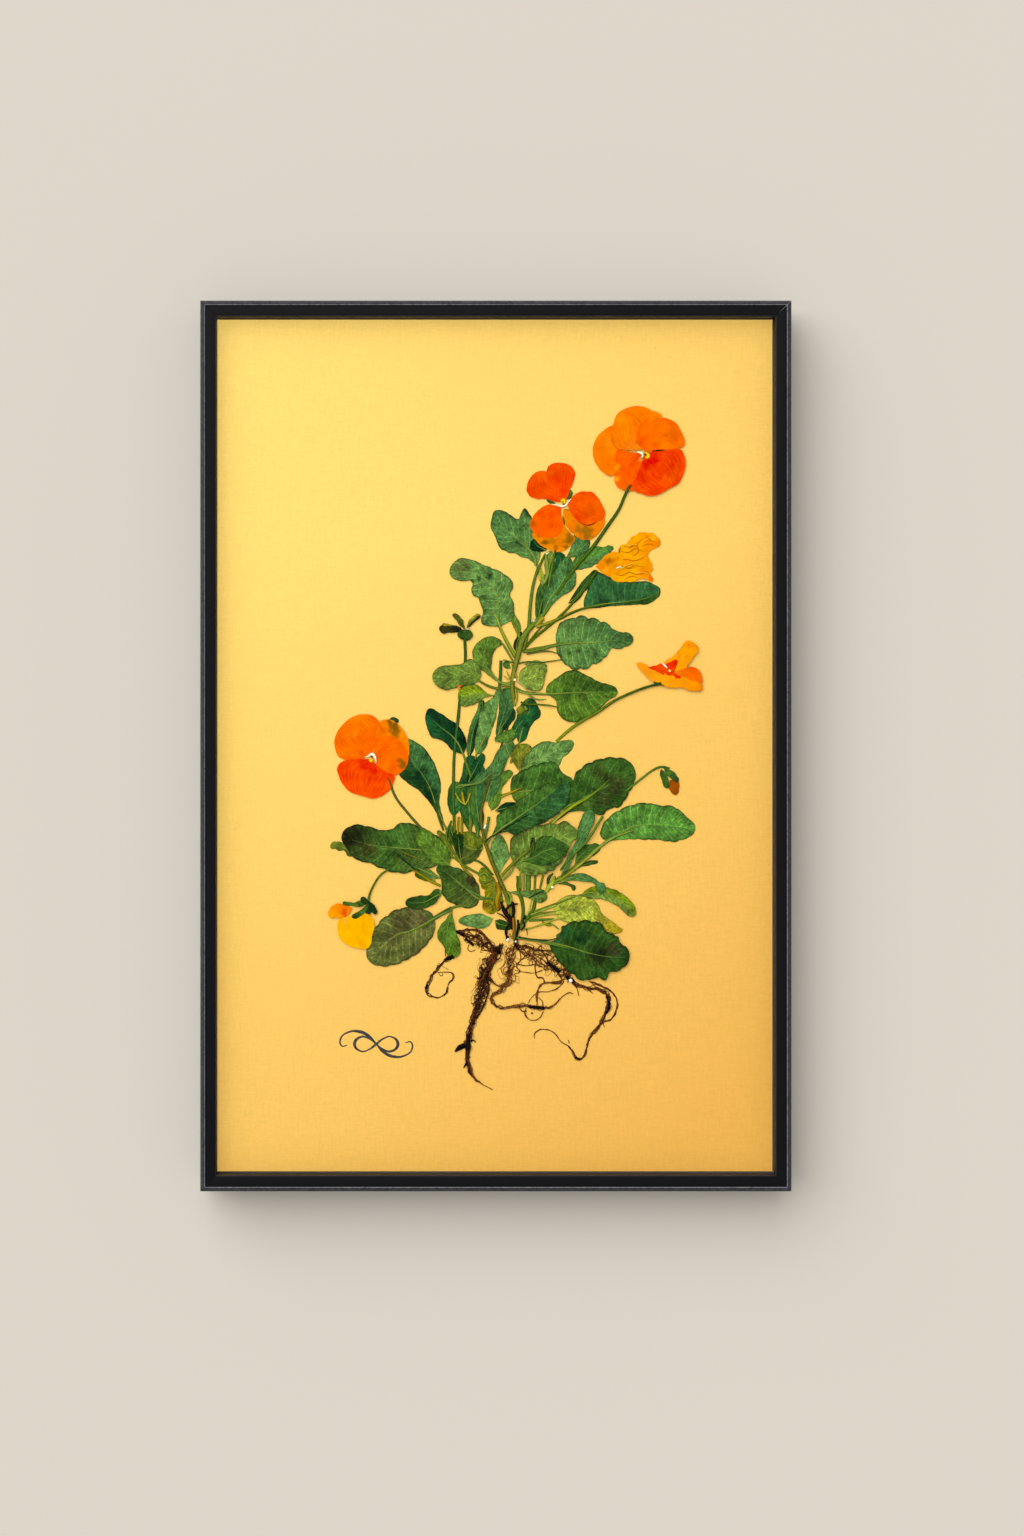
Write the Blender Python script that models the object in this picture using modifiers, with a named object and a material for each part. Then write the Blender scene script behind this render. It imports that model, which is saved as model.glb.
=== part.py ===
"""A pansy plant, pressed flat and mounted on a golden sheet in a slim black frame that hangs on a wall.

The sizes below are in millimetres, and MM turns them into Blender's metres.
A place in the frame is (x, y, z): x to the right and z up from the centre of the picture, and y from the
plane of the rails' backs, so that y is negative towards the viewer. The empty "picture_centre" carries
everything, and stands so that the world's origin is the point where the hanger rests on its nail.
"""

import math

import bmesh
import bpy
from mathutils import Matrix, Vector

MM = 0.001
GAP = 0.3  # play between neighbouring pieces

# Moulding
FRAME_WIDTH = 296.0
FRAME_HEIGHT = 446.0
FRAME_DEPTH = 25.0
RAIL_FACE = 8.0  # width of a rail, seen from the front
RAIL_WALL = 5.0  # thickness of the rail behind its lip
LIP_DEPTH = 4.8
EDGE_RADIUS = 1.6  # rounded outer lip
EDGE_STEPS = 5
STEP_START = 2.25  # the narrow step between the outer lip and the flat face
STEP_END = 2.7
STEP_DEPTH = 0.8
ARRIS = 0.3
MITRE_GAP = 0.15  # kept by each rail to the plane of its mitre

# The stack behind the rails' lips
STACK_CLEARANCE = 0.4
GLASS_THICKNESS = 2.0
SPACER_DEPTH = 4.0
SPACER_WIDTH = 2.3
SHEET_THICKNESS = 1.2
BACKING_THICKNESS = 3.0
STACK_WIDTH = FRAME_WIDTH - 2 * (RAIL_WALL + STACK_CLEARANCE)
STACK_HEIGHT = FRAME_HEIGHT - 2 * (RAIL_WALL + STACK_CLEARANCE)
GLASS_FRONT = -FRAME_DEPTH + LIP_DEPTH + GAP
SPACER_FRONT = GLASS_FRONT + GLASS_THICKNESS + GAP
SHEET_FRONT = SPACER_FRONT + SPACER_DEPTH + GAP
BACKING_FRONT = SHEET_FRONT + SHEET_THICKNESS + GAP
BACKING_BACK = BACKING_FRONT + BACKING_THICKNESS

# Glazier's points
POINT_THICKNESS = 0.5
POINT_LENGTH = 11.0
POINT_BITE = 2.2  # how far a point goes into its slot
POINT_WIDTH = 7.0
POINT_NOSE = 2.4  # width of its blunt nose
POINT_HEIGHTS = (-120.0, 120.0)

# Sawtooth hanger
HANGER_WIDTH = 44.0
HANGER_HEIGHT = 9.0
HANGER_SHEET = 0.6
HANGER_RISE = 2.4  # the gap that takes the nail's head
HANGER_TAB = 7.5
HANGER_SLOPE = 2.0
HANGER_BOTTOM = 198.0
TOOTH_PITCH = 3.0
TOOTH_DEPTH = 2.0
TOOTH_COUNT = 7
HANGER_LEVEL = HANGER_BOTTOM + HANGER_HEIGHT / 2
SCREW_HEAD_RADIUS = 2.6
SCREW_HEAD_HEIGHT = 1.2
SCREW_CROWN_RADIUS = 1.6
SCREW_SHANK_RADIUS = 1.1
SCREW_LENGTH = 3.3
SCREW_PLACE = HANGER_WIDTH / 2 - HANGER_TAB / 2
NAIL_Y = BACKING_BACK + GAP + HANGER_RISE / 2
NAIL_Z = HANGER_BOTTOM + TOOTH_DEPTH
CUTTER_DEPTH = 12.0  # longer than any hole is deep

# The pressed plant lies in thin layers, layer 0 next to the sheet
LAYER_PITCH = 0.45
PRESSED = 0.15  # thickness of a dried leaf or petal
LAYER_START = SHEET_FRONT - GAP - PRESSED / 2
OUTLINE_STEPS = 3  # pieces of outline between two points of a leaf or a flower
STRAND_STEPS = 2  # and of a stem or a root
STALK_WIDTH = 1.3  # of a leaf's own stalk
END_SHARE = 0.15  # how far along a strand's first and last stretch its width is held
TURNED_STEPS = 12  # sides of a screw and of its hole
WELD = 0.01

# Each leaf grows from its stalk, whose last point is the leaf's base. Its left and right margins run
# from the base to the tip, as seen by someone who looks along the leaf from its base.
LEAVES = {
    "leaf_crown_left": {
        "layer": 0,
        "green": "mid",
        "stalk": [(20.6, 86), (21.5, 91)],
        "left": [(19, 93), (15, 95), (10, 97), (4, 99), (1.5, 102), (0.5, 105), (-2, 110)],
        "tip": (-1.8, 114),
        "right": [(23, 96), (23, 104), (20, 111), (18, 116), (15, 119.7), (13.5, 118), (12.3, 114.8),
                  (8, 116.6), (5, 118.4), (0.5, 119)],
    },
    "leaf_folded": {
        "layer": 1,
        "green": "mid",
        "stalk": [(10, 44.5), (7, 50), (3.8, 56.5), (2.4, 60)],
        "left": [(-1, 60.3), (-4.5, 60.6), (-6.8, 61.7), (-6.2, 68), (-8.5, 74), (-11.7, 77), (-12, 83),
                 (-17, 83.2), (-21, 84.5)],
        "tip": (-23, 88),
        "right": [(5, 61.6), (9, 64), (9.8, 68.5), (9.3, 72.5), (7.7, 76), (9.2, 81), (7.5, 84.5),
                  (-5, 91), (-17, 94.8), (-19, 94)],
    },
    "leaf_crown_right": {
        "layer": 0,
        "green": "teal",
        "stalk": [(33, 80), (38, 89)],
        "left": [(40, 94), (44, 98), (50, 100.4), (55, 100.6), (58, 101.2)],
        "tip": (60, 100.3),
        "right": [(42, 88.8), (47, 90), (52, 92), (57.3, 97)],
    },
    "leaf_long_right": {
        "layer": 0,
        "green": "mid",
        "stalk": [(27, 61.5), (33, 64), (40, 67.5), (45, 69.4)],
        "left": [(45, 73), (47, 79), (49.5, 85.5), (51, 88), (54, 87), (60, 84.5), (68, 82.6), (76, 83),
                 (80, 81.8)],
        "tip": (83.8, 78.5),
        "right": [(52, 69.6), (60, 70.6), (72, 71.3), (79, 72.2)],
    },
    "leaf_scalloped_right": {
        "layer": 1,
        "green": "mid",
        "stalk": [(14, 47.5), (20, 49), (26, 50), (31, 51)],
        "left": [(30.8, 55), (32, 60), (34.5, 63.3), (37, 63.8), (42, 65.3), (46, 65), (52, 63.6),
                 (57.5, 61), (62, 57.5), (66, 57.4)],
        "tip": (70, 54),
        "right": [(31.3, 47), (34, 43), (38.5, 39.2), (45, 38.8), (51, 41.5), (56, 44.8), (58.5, 48.3),
                  (66, 49.8)],
    },
    "leaf_pointed_right": {
        "layer": 1,
        "green": "mid",
        "stalk": [(10, 29.5), (14, 27.3), (20, 26.3), (26, 26)],
        "left": [(26, 29.5), (29, 32.5), (33, 35.5), (40, 38.2), (45, 36.3), (52, 32.5)],
        "tip": (62, 27.3),
        "right": [(30.5, 23), (31.8, 17), (34, 13.6), (38, 12), (44, 12.8), (49, 15.5), (57, 22.5)],
    },
    "leaf_top_left": {
        "layer": 1,
        "green": "olive",
        "stalk": [(9, 32), (4.5, 31.6)],
        "left": [(0, 33), (-5, 37), (-9, 40), (-11.3, 45), (-10.8, 49), (-7.5, 53)],
        "tip": (-3, 55.2),
        "right": [(1, 33.5), (-1.4, 37), (-1.7, 41.5), (0.5, 49), (3.6, 51.8), (1, 54.5)],
    },
    "leaf_left_rounded": {
        "layer": 2,
        "green": "olive",
        "stalk": [(2, 28.6), (-3, 30), (-8, 32.8)],
        "left": [(-12, 30.8), (-17, 30), (-21, 29), (-25, 28.2), (-29, 30)],
        "tip": (-31.6, 33.6),
        "right": [(-7, 36.5), (-12, 43.5), (-17, 41.3), (-22, 40.7), (-28, 39.8), (-31, 37)],
    },
    "leaf_dark_left": {
        "layer": 1,
        "green": "dark",
        "stalk": [(-12, -16), (-14.5, -9), (-16, -4.5)],
        "left": [(-21.5, -2.5), (-25, 1.5), (-28.5, 3.2), (-32, 4.3), (-34.2, 9)],
        "tip": (-35, 16),
        "right": [(-14.3, 1), (-15.8, 5.8), (-18.5, 10), (-22.5, 13), (-28, 16.5), (-33, 18.8)],
    },
    "leaf_centre_long": {
        "layer": 0,
        "green": "teal",
        "stalk": [(-10, -24), (-10.5, -14), (-9.5, -5)],
        "left": [(-10.2, 0), (-8.6, 10), (-6.4, 20), (-1.5, 24)],
        "tip": (2.5, 28.6),
        "right": [(-6, -3), (-2.5, 5), (0, 12), (1.6, 20)],
    },
    "leaf_centre_right": {
        "layer": 0,
        "green": "teal",
        "stalk": [(8, -9), (10, -3), (12, 1)],
        "left": [(10.5, 6), (11, 14), (13.8, 21.5)],
        "tip": (18.3, 24),
        "right": [(15.5, 3), (17, 7), (19.3, 11.5), (23, 15.4), (22, 19.5)],
    },
    "leaf_big_upper": {
        "layer": 0,
        "green": "bright",
        "stalk": [(-1, -27), (3, -25.5), (8, -24)],
        "left": [(7.9, -20), (8.6, -16.8), (12, -13.6), (20, -10), (31, -8.8), (33.6, -13), (36, -15)],
        "tip": (39.2, -17),
        "right": [(10, -28), (17, -33), (26, -34), (34, -31), (38.4, -26)],
    },
    "leaf_big_lower": {
        "layer": 3,
        "green": "mid",
        "stalk": [(-5, -51), (-2, -46.5)],
        "left": [(0.6, -40), (0.8, -36.5), (2.5, -34), (8, -30.5), (16, -25), (24, -20.5)],
        "tip": (36, -17.5),
        "right": [(4, -43), (10, -45), (16, -42.6), (25, -38.6), (33, -33.5), (37.6, -26)],
    },
    "leaf_right_brown": {
        "layer": 1,
        "green": "brown",
        "stalk": [(20, -45), (28, -39.3), (35, -33.7), (41, -29.4)],
        "left": [(39.3, -20), (40.5, -14.8), (46.5, -9.4), (52, -7.2), (60.5, -6), (67, -7.4)],
        "tip": (71, -13),
        "right": [(46, -31.6), (50, -34.4), (55, -34.8), (58, -31.8), (62.5, -31.2), (67, -25.5),
                  (70.6, -18)],
    },
    "leaf_right_large": {
        "layer": 0,
        "green": "bright",
        "stalk": [(28, -70), (36, -64.3), (45, -57.5), (53, -51), (57, -48.6)],
        "left": [(53.6, -46), (54.6, -40), (60, -34.5), (67, -30.8), (76, -29), (83, -30.2), (90, -30.8),
                 (97, -36)],
        "tip": (101.4, -42),
        "right": [(63, -47.7), (80, -47.6), (94, -48)],
    },
    "leaf_scalloped_low": {
        "layer": 4,
        "green": "grey",
        "stalk": [(12.8, -72), (13, -64)],
        "left": [(8.6, -58), (7.5, -52), (9, -46), (15, -43.4), (20, -41), (25, -39.6), (31, -39.4),
                 (36, -38.5), (39.5, -41)],
        "tip": (42.3, -45),
        "right": [(17, -65.6), (22, -65.5), (28, -63.5), (33, -59.4), (36.5, -54), (38.8, -48.8)],
    },
    "leaf_left_upright": {
        "layer": 0,
        "green": "teal",
        "stalk": [(-17, -60), (-20, -52), (-23.3, -45)],
        "left": [(-31.5, -31), (-38, -23.2), (-44, -19), (-48.4, -14.5), (-50, -6)],
        "tip": (-47.5, 3),
        "right": [(-26.5, -36), (-28, -29), (-27.4, -20), (-29, -13), (-33, -5), (-38, 0.6)],
    },
    "leaf_left_large": {
        "layer": 1,
        "green": "brown",
        "stalk": [(-8, -65), (-15, -61), (-22, -56)],
        "left": [(-28, -60), (-40, -63.4), (-48, -64.5), (-55, -63), (-63, -59.6), (-71, -57), (-75.5, -51)],
        "tip": (-77.6, -46),
        "right": [(-27.5, -47), (-33, -43.4), (-40, -40.2), (-46, -38.9), (-54, -42.7), (-59, -42.4),
                  (-66, -40.3), (-73, -40.6)],
    },
    "leaf_left_low": {
        "layer": 1,
        "green": "brown",
        "stalk": [(-14, -81), (-20, -81.5), (-25, -84.2), (-30.2, -87.6)],
        "left": [(-30.6, -94), (-35, -101), (-42, -107), (-50, -110.5), (-57, -111.6)],
        "tip": (-63.6, -109),
        "right": [(-33, -84), (-38, -82.6), (-46, -82), (-54, -85.4), (-59, -90), (-63.4, -98),
                  (-65, -105)],
    },
    "leaf_left_front": {
        "layer": 0,
        "green": "brown",
        "stalk": [(4, -77), (-2, -77), (-7.6, -77.6)],
        "left": [(-9.4, -81), (-14, -82.3), (-19, -81), (-24, -78.3), (-26.6, -75), (-27, -69)],
        "tip": (-29, -60.8),
        "right": [(-7.6, -73), (-9, -69), (-12, -65.6), (-16, -63), (-23, -61)],
    },
    "leaf_dark_low": {
        "layer": 3,
        "green": "dark",
        "stalk": [(11, -97.2), (20, -98.4), (27, -99.6)],
        "left": [(31, -97.6), (31, -95.4), (33.4, -94), (33.6, -91.8), (38, -89.6), (44, -88.4),
                 (54, -90.5), (57, -94.5), (62, -96.2), (63, -99.4), (66, -101.4)],
        "tip": (68, -107),
        "right": [(29.4, -105), (34, -111), (40, -116.3), (46, -119), (50, -117.4), (56, -118),
                  (58, -114.9), (64, -113)],
    },
    "leaf_yellow_green": {
        "layer": 0,
        "green": "pale",
        "stalk": [(15, -88), (22, -85.2), (29.5, -84)],
        "left": [(31, -79.6), (35, -76.6), (41, -75.5), (46, -76.6), (50.5, -78.6)],
        "tip": (53.4, -85),
        "right": [(32, -87.2), (36, -89.4), (43, -90), (50, -89.8)],
    },
    "leaf_arc_right": {
        "layer": 1,
        "green": "bright",
        "stalk": [(20, -84), (31, -80), (43.4, -75.4)],
        "left": [(47, -72.4), (51, -71), (57, -71.8), (63, -74), (68, -78), (71, -82)],
        "tip": (70.4, -86.4),
        "right": [(48, -77.2), (55, -78), (62, -81.3)],
    },
}

# Flowers and buds, each as the outline of all its petals together
FLOWERS = {
    "flower_top": {
        "layer": 2,
        "colour": "orange",
        "outline": [(60, 161.5), (60.3, 165), (62, 168), (66, 170.3), (72, 171.6), (78, 170), (83, 166.4),
                    (88, 165), (92, 162.5), (95.7, 154), (93.6, 150.2), (96.2, 145), (95.6, 138),
                    (92.6, 132.8), (88, 130.8), (83, 127.2), (77, 126.4), (70, 128.8), (65, 129.2),
                    (61.5, 131.5), (60.3, 135.8), (55, 138), (50.3, 143.5), (49.5, 150), (52.5, 157),
                    (56, 160.2)],
    },
    "flower_red": {
        "layer": 1,
        "colour": "red",
        "outline": [(26, 124.5), (20, 125), (16.6, 128), (17, 133.5), (20.6, 137.2), (24, 138.2),
                    (26.6, 140.8), (31, 143), (37, 142.6), (40.6, 137), (38.5, 129), (40, 126.5),
                    (45, 128.8), (50, 128), (55, 121), (56, 115), (54, 109), (48, 104.2), (40.5, 105),
                    (37, 99.6), (33, 98), (26, 99.6), (20, 104.5), (17.8, 111.5), (20, 118), (26, 121.8)],
    },
    "flower_wilted": {
        "layer": 1,
        "colour": "yellow",
        "outline": [(51, 90.5), (54, 94), (58, 97), (62.5, 97.5), (68, 104), (73, 107), (79, 107),
                    (83.4, 102.5), (78, 97), (79.4, 91.5), (78.5, 87), (79.6, 83.6), (65, 82.5),
                    (60, 82.2), (54.5, 87)],
    },
    "flower_side": {
        "layer": 3,
        "colour": "yellow",
        "outline": [(71.6, 41.6), (76, 40.6), (80, 41), (86, 42.3), (91.5, 46.5), (96.4, 52.8),
                    (99, 52.4), (102.8, 49), (100, 44), (98, 40.6), (103, 37.8), (104.7, 33),
                    (104.5, 28.4), (100, 27.7), (90, 29.4), (83, 31), (77, 35)],
    },
    "flower_left": {
        "layer": 1,
        "colour": "orange",
        "outline": [(-58.5, 12), (-62.5, 15), (-68, 15.8), (-75, 12.3), (-80, 6), (-81, -1), (-78, -7),
                    (-79.6, -12.5), (-77.4, -19), (-72, -23.4), (-66, -25.3), (-61, -26.5),
                    (-54.5, -23.2), (-51.2, -17), (-45.6, -11.5), (-43.4, -3), (-44.6, 6),
                    (-49.5, 12), (-54, 13.3)],
    },
    "flower_hanging": {
        "layer": 2,
        "colour": "yellow",
        "outline": [(-84, -84.5), (-82, -81.2), (-76, -80), (-70, -77), (-64, -76), (-60.5, -79),
                    (-59.6, -86), (-60.2, -92), (-61.6, -99), (-65, -102.4), (-72, -101.8),
                    (-77.5, -98.5), (-79, -93), (-78.4, -88.6)],
    },
    "bud_right": {
        "layer": 0,
        "colour": "rust",
        "outline": [(83.2, -11), (86, -10.4), (91, -13.8), (92.8, -17.5), (93.2, -22), (91.4, -24.8),
                    (88, -22.6), (85.6, -20), (84.2, -15.5)],
    },
    "calyx_left": {
        "layer": 1,
        "colour": "husk",
        "outline": [(-15, 53), (-18.2, 55.3), (-21, 57), (-26, 57.4), (-27.6, 59.6), (-23, 60.2),
                    (-18.6, 59.8), (-21.6, 64.5), (-20.2, 66.8), (-17.8, 64.5), (-15.2, 60.4),
                    (-12.4, 62.8), (-8, 66.6), (-8.6, 64), (-12.2, 59.4), (-11.6, 55.2)],
    },
}

# Stems and roots, each as a middle line with its width at every point
STRANDS = {
    "stem_upper": {
        "layer": 0,
        "colour": "stem",
        "line": [(10, 20), (9, 27), (9, 34), (10.5, 41), (12, 47), (14.5, 55), (20, 62), (26, 68),
                 (30, 74)],
        "width": [2.2, 2.6, 3, 3, 3.2, 3.4, 3.2, 2.4, 1.2],
    },
    "stem_lower": {
        "layer": 2,
        "colour": "stem",
        "line": [(8, 14), (2, -4), (-3, -18), (-7, -33), (-6, -44), (-2.5, -56), (2, -67), (5.5, -75),
                 (8, -83), (9.6, -92), (10, -99)],
        "width": [1.8, 1.8, 1.8, 2, 2.6, 2.6, 2.8, 3.4, 4.6, 4.4, 2.4],
    },
    "stalk_top": {
        "layer": 1,
        "colour": "stalk",
        "line": [(68, 131), (65.5, 126), (63, 120), (57, 111), (50, 101), (44, 94), (38, 86.5), (31, 76)],
        "width": [1.6, 1.6, 1.6, 1.7, 1.8, 1.8, 1.7, 1.6],
    },
    "stalk_side": {
        "layer": 2,
        "colour": "stalk",
        "line": [(84, 31.6), (75, 29), (66, 25.4), (60, 22.4), (52, 17), (45, 13), (39, 9), (31, 2)],
        "width": [1.5, 1.5, 1.6, 1.6, 1.6, 1.6, 1.7, 1.7],
    },
    "stalk_left": {
        "layer": 0,
        "colour": "stalk",
        "line": [(-53.5, -17), (-50.5, -25.5), (-45, -33), (-38, -41), (-30, -49), (-22, -57)],
        "width": [1.5, 1.5, 1.6, 1.6, 1.6, 1.6],
    },
    "stalk_calyx": {
        "layer": 0,
        "colour": "stalk",
        "line": [(-15.3, 54), (-15, 43), (-17, 30), (-18.6, 14), (-20.5, -4), (-21, -20), (-20.5, -44)],
        "width": [1.6, 1.6, 1.6, 1.6, 1.6, 1.5, 1.5],
    },
    "root_tap": {
        "layer": 1,
        "colour": "root",
        "line": [(2, -102), (-1.4, -107), (-5, -114), (-6.6, -122), (-8.6, -131), (-11.4, -139.5),
                 (-13.6, -150), (-13.6, -159), (-12.3, -165.5), (-7.6, -170.4), (-1.4, -173.8)],
        "width": [3.6, 7, 8, 7.6, 6, 4.2, 4, 3.6, 2.4, 1, 0.7],
    },
    "root_wing": {
        "layer": 0,
        "colour": "root",
        "line": [(0, -104.5), (-5, -101), (-10, -97.6), (-15, -95.6), (-19, -94)],
        "width": [3.4, 7, 7.6, 4.4, 1.2],
    },
    "root_left": {
        "layer": 0,
        "colour": "root",
        "line": [(-20, -106.5), (-25, -108.4), (-29.5, -113.5), (-33, -119.5), (-34.6, -124.4),
                 (-29.5, -127.4), (-24.6, -124), (-21, -117.6), (-23, -114.6), (-27.5, -115)],
        "width": [2.8, 2.4, 2, 2.2, 1.6, 1, 1.2, 0.9, 0.8, 0.6],
    },
    "root_middle": {
        "layer": 1,
        "colour": "root",
        "line": [(10, -98), (10.4, -103), (7.4, -108), (7, -114), (7, -120), (1.4, -124.4), (-1.4, -129),
                 (3, -132.8), (12, -131.8), (22, -132.4), (30, -130.6), (38, -125.2)],
        "width": [2, 2.4, 3.4, 4.4, 2.6, 1.8, 1.4, 1.4, 1.4, 1.8, 0.8, 0.7],
    },
    "root_right": {
        "layer": 0,
        "colour": "root",
        "line": [(12, -101), (17, -104), (24, -107.6), (31, -112), (38, -118), (47, -122), (54, -123.6),
                 (58, -129), (56, -136.6), (50, -145.4), (46.8, -151), (44.4, -158), (41, -157.6),
                 (36.6, -151.6), (29, -145.2), (21, -144.6)],
        "width": [4, 6, 7, 7, 4.6, 2.8, 2.4, 2.2, 2.4, 1.7, 1.5, 1.2, 1.4, 1.1, 0.9, 0.8],
    },
}

GREENS = {
    "mid": (0.06, 0.19, 0.08),
    "teal": (0.03, 0.14, 0.09),
    "dark": (0.01, 0.07, 0.03),
    "olive": (0.13, 0.22, 0.04),
    "bright": (0.08, 0.26, 0.07),
    "brown": (0.06, 0.10, 0.03),
    "grey": (0.14, 0.24, 0.09),
    "pale": (0.32, 0.44, 0.12),
}
PETALS = {
    "orange": (1.0, 0.22, 0.0),
    "red": (0.9, 0.10, 0.0),
    "yellow": (1.0, 0.48, 0.0),
    "rust": (0.45, 0.12, 0.02),
    "husk": (0.04, 0.09, 0.02),
}
STRAND_COLOURS = {
    "stem": (0.22, 0.34, 0.02),
    "stalk": (0.08, 0.21, 0.01),
    "root": (0.05, 0.02, 0.01),
}


def new_material(name, rgb, roughness, metallic=0.0, transmission=0.0):
    made = bpy.data.materials.new(name)
    made.use_nodes = True
    shader = made.node_tree.nodes["Principled BSDF"]
    shader.inputs["Base Color"].default_value = (*rgb, 1.0)
    shader.inputs["Roughness"].default_value = roughness
    shader.inputs["Metallic"].default_value = metallic
    shader.inputs["Transmission Weight"].default_value = transmission
    made.diffuse_color = (*rgb, 1.0)
    return made


def place(obj, carrier, x=0.0, y=0.0, z=0.0):
    """Hangs an object on its carrier at a place in millimetres."""
    obj.parent = carrier
    obj.location = Vector((x, y, z)) * MM
    return obj


def flat_curve(name, points, thickness, steps=0):
    """A closed flat outline in XY, thickened along Z about its own plane; smooth where it has steps."""
    curve = bpy.data.curves.new(name, "CURVE")
    curve.dimensions = "2D"
    curve.fill_mode = "BOTH"
    curve.extrude = thickness * MM / 2
    if steps:
        curve.resolution_u = steps
        spline = curve.splines.new("BEZIER")
        spline.bezier_points.add(len(points) - 1)
        for knot, (x, y) in zip(spline.bezier_points, points):
            knot.co = (x * MM, y * MM, 0)
            knot.handle_left_type = "AUTO"
            knot.handle_right_type = "AUTO"
    else:
        spline = curve.splines.new("POLY")
        spline.points.add(len(points) - 1)
        for knot, (x, y) in zip(spline.points, points):
            knot.co = (x * MM, y * MM, 0, 1)
    spline.use_cyclic_u = True
    obj = bpy.data.objects.new(name, curve)
    pieces.objects.link(obj)
    return obj


def welded_mesh(obj, turn):
    """Turns a curve object into a mesh object with welded caps, and turns the mesh itself."""
    graph = bpy.context.evaluated_depsgraph_get()
    mesh = bpy.data.meshes.new_from_object(obj.evaluated_get(graph))
    mesh.transform(turn)
    shape = bmesh.new()
    shape.from_mesh(mesh)
    bmesh.ops.remove_doubles(shape, verts=shape.verts, dist=WELD * MM)
    bmesh.ops.recalc_face_normals(shape, faces=shape.faces)
    shape.to_mesh(mesh)
    shape.free()
    name = obj.name
    bpy.data.objects.remove(obj)
    made = bpy.data.objects.new(name, mesh)
    pieces.objects.link(made)
    return made


def box(name, width, depth, height, collection):
    """A block centred on its origin."""
    shape = bmesh.new()
    bmesh.ops.create_cube(shape, size=1.0)
    bmesh.ops.scale(shape, vec=Vector((width, depth, height)) * MM, verts=shape.verts)
    mesh = bpy.data.meshes.new(name)
    shape.to_mesh(mesh)
    shape.free()
    obj = bpy.data.objects.new(name, mesh)
    collection.objects.link(obj)
    return obj


def cut(obj, cutter):
    """Cuts one piece with a helper that isn't part of the object."""
    cutter.hide_render = True
    cutter.display_type = "WIRE"
    boolean = obj.modifiers.new(cutter.name, "BOOLEAN")
    boolean.operation = "DIFFERENCE"
    boolean.object = cutter


def moulding_profile():
    """The rail's section: distance from its outer edge, and y."""
    front = -FRAME_DEPTH
    outline = [(0, 0)]
    for step in range(EDGE_STEPS + 1):
        turn = math.radians(90) * step / EDGE_STEPS
        outline.append((EDGE_RADIUS * (1 - math.cos(turn)), front + EDGE_RADIUS * (1 - math.sin(turn))))
    outline += [
        (STEP_START, front),
        (STEP_END, front + STEP_DEPTH),
        (RAIL_FACE - ARRIS, front + STEP_DEPTH),
        (RAIL_FACE, front + STEP_DEPTH + ARRIS),
        (RAIL_FACE, front + LIP_DEPTH),
        (RAIL_WALL, front + LIP_DEPTH),
        (RAIL_WALL, 0),
    ]
    return outline


def make_rail(name, length, turn, x, z):
    """One length of moulding, mitred at both ends: it lies along X with its outer edge on top, then turns."""
    bar = flat_curve(name, moulding_profile(), length)
    inwards_down = Matrix(((0, 0, 1, 0), (0, 1, 0, 0), (-1, 0, 0, 0), (0, 0, 0, 1)))
    rail = welded_mesh(bar, inwards_down)
    for vertex in rail.data.vertices:
        mitre = -vertex.co.z + MITRE_GAP * MM
        vertex.co.x -= math.copysign(mitre, vertex.co.x)
    rail.rotation_euler = (0, math.radians(turn), 0)
    rail.data.materials.append(finishes["moulding"])
    return place(rail, picture_centre, x, 0, z)


def make_moulding():
    top = FRAME_HEIGHT / 2
    side = FRAME_WIDTH / 2
    make_rail("rail_top", FRAME_WIDTH, 0, 0, top)
    make_rail("rail_bottom", FRAME_WIDTH, 180, 0, -top)
    rails = {
        -1: make_rail("rail_left", FRAME_HEIGHT, -90, -side, 0),
        1: make_rail("rail_right", FRAME_HEIGHT, 90, side, 0),
    }
    slot_width = 2 * (POINT_BITE + GAP)
    for way, rail in rails.items():
        for number, height in enumerate(POINT_HEIGHTS):
            slot = box(f"slot_{rail.name}_{number}", slot_width, POINT_THICKNESS + 2 * GAP,
                       POINT_WIDTH + 2 * GAP, cutters)
            place(slot, picture_centre, way * (side - RAIL_WALL), BACKING_BACK + GAP + POINT_THICKNESS / 2,
                  height)
            cut(rail, slot)


def make_stack():
    """The pane, the strips that space it, the golden sheet and the backing board."""
    pane = box("glazing", STACK_WIDTH, GLASS_THICKNESS, STACK_HEIGHT, pieces)
    pane.data.materials.append(finishes["glass"])
    place(pane, picture_centre, 0, GLASS_FRONT + GLASS_THICKNESS / 2)

    across = STACK_WIDTH / 2 - SPACER_WIDTH / 2
    up = STACK_HEIGHT / 2 - SPACER_WIDTH / 2
    side_height = STACK_HEIGHT - 2 * (SPACER_WIDTH + GAP)
    strips = {
        "spacer_top": (STACK_WIDTH, SPACER_WIDTH, 0, up),
        "spacer_bottom": (STACK_WIDTH, SPACER_WIDTH, 0, -up),
        "spacer_left": (SPACER_WIDTH, side_height, -across, 0),
        "spacer_right": (SPACER_WIDTH, side_height, across, 0),
    }
    for name, (width, height, x, z) in strips.items():
        strip = box(name, width, SPACER_DEPTH, height, pieces)
        strip.data.materials.append(finishes["spacer"])
        place(strip, picture_centre, x, SPACER_FRONT + SPACER_DEPTH / 2, z)

    sheet = box("mount_sheet", STACK_WIDTH, SHEET_THICKNESS, STACK_HEIGHT, pieces)
    sheet.data.materials.append(finishes["sheet"])
    place(sheet, picture_centre, 0, SHEET_FRONT + SHEET_THICKNESS / 2)

    board = box("backing_board", STACK_WIDTH, BACKING_THICKNESS, STACK_HEIGHT, pieces)
    board.data.materials.append(finishes["board"])
    place(board, picture_centre, 0, BACKING_FRONT + BACKING_THICKNESS / 2)
    for way in (-1, 1):
        cut(board, screw_hole(f"board_hole_{way}", way))


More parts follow.
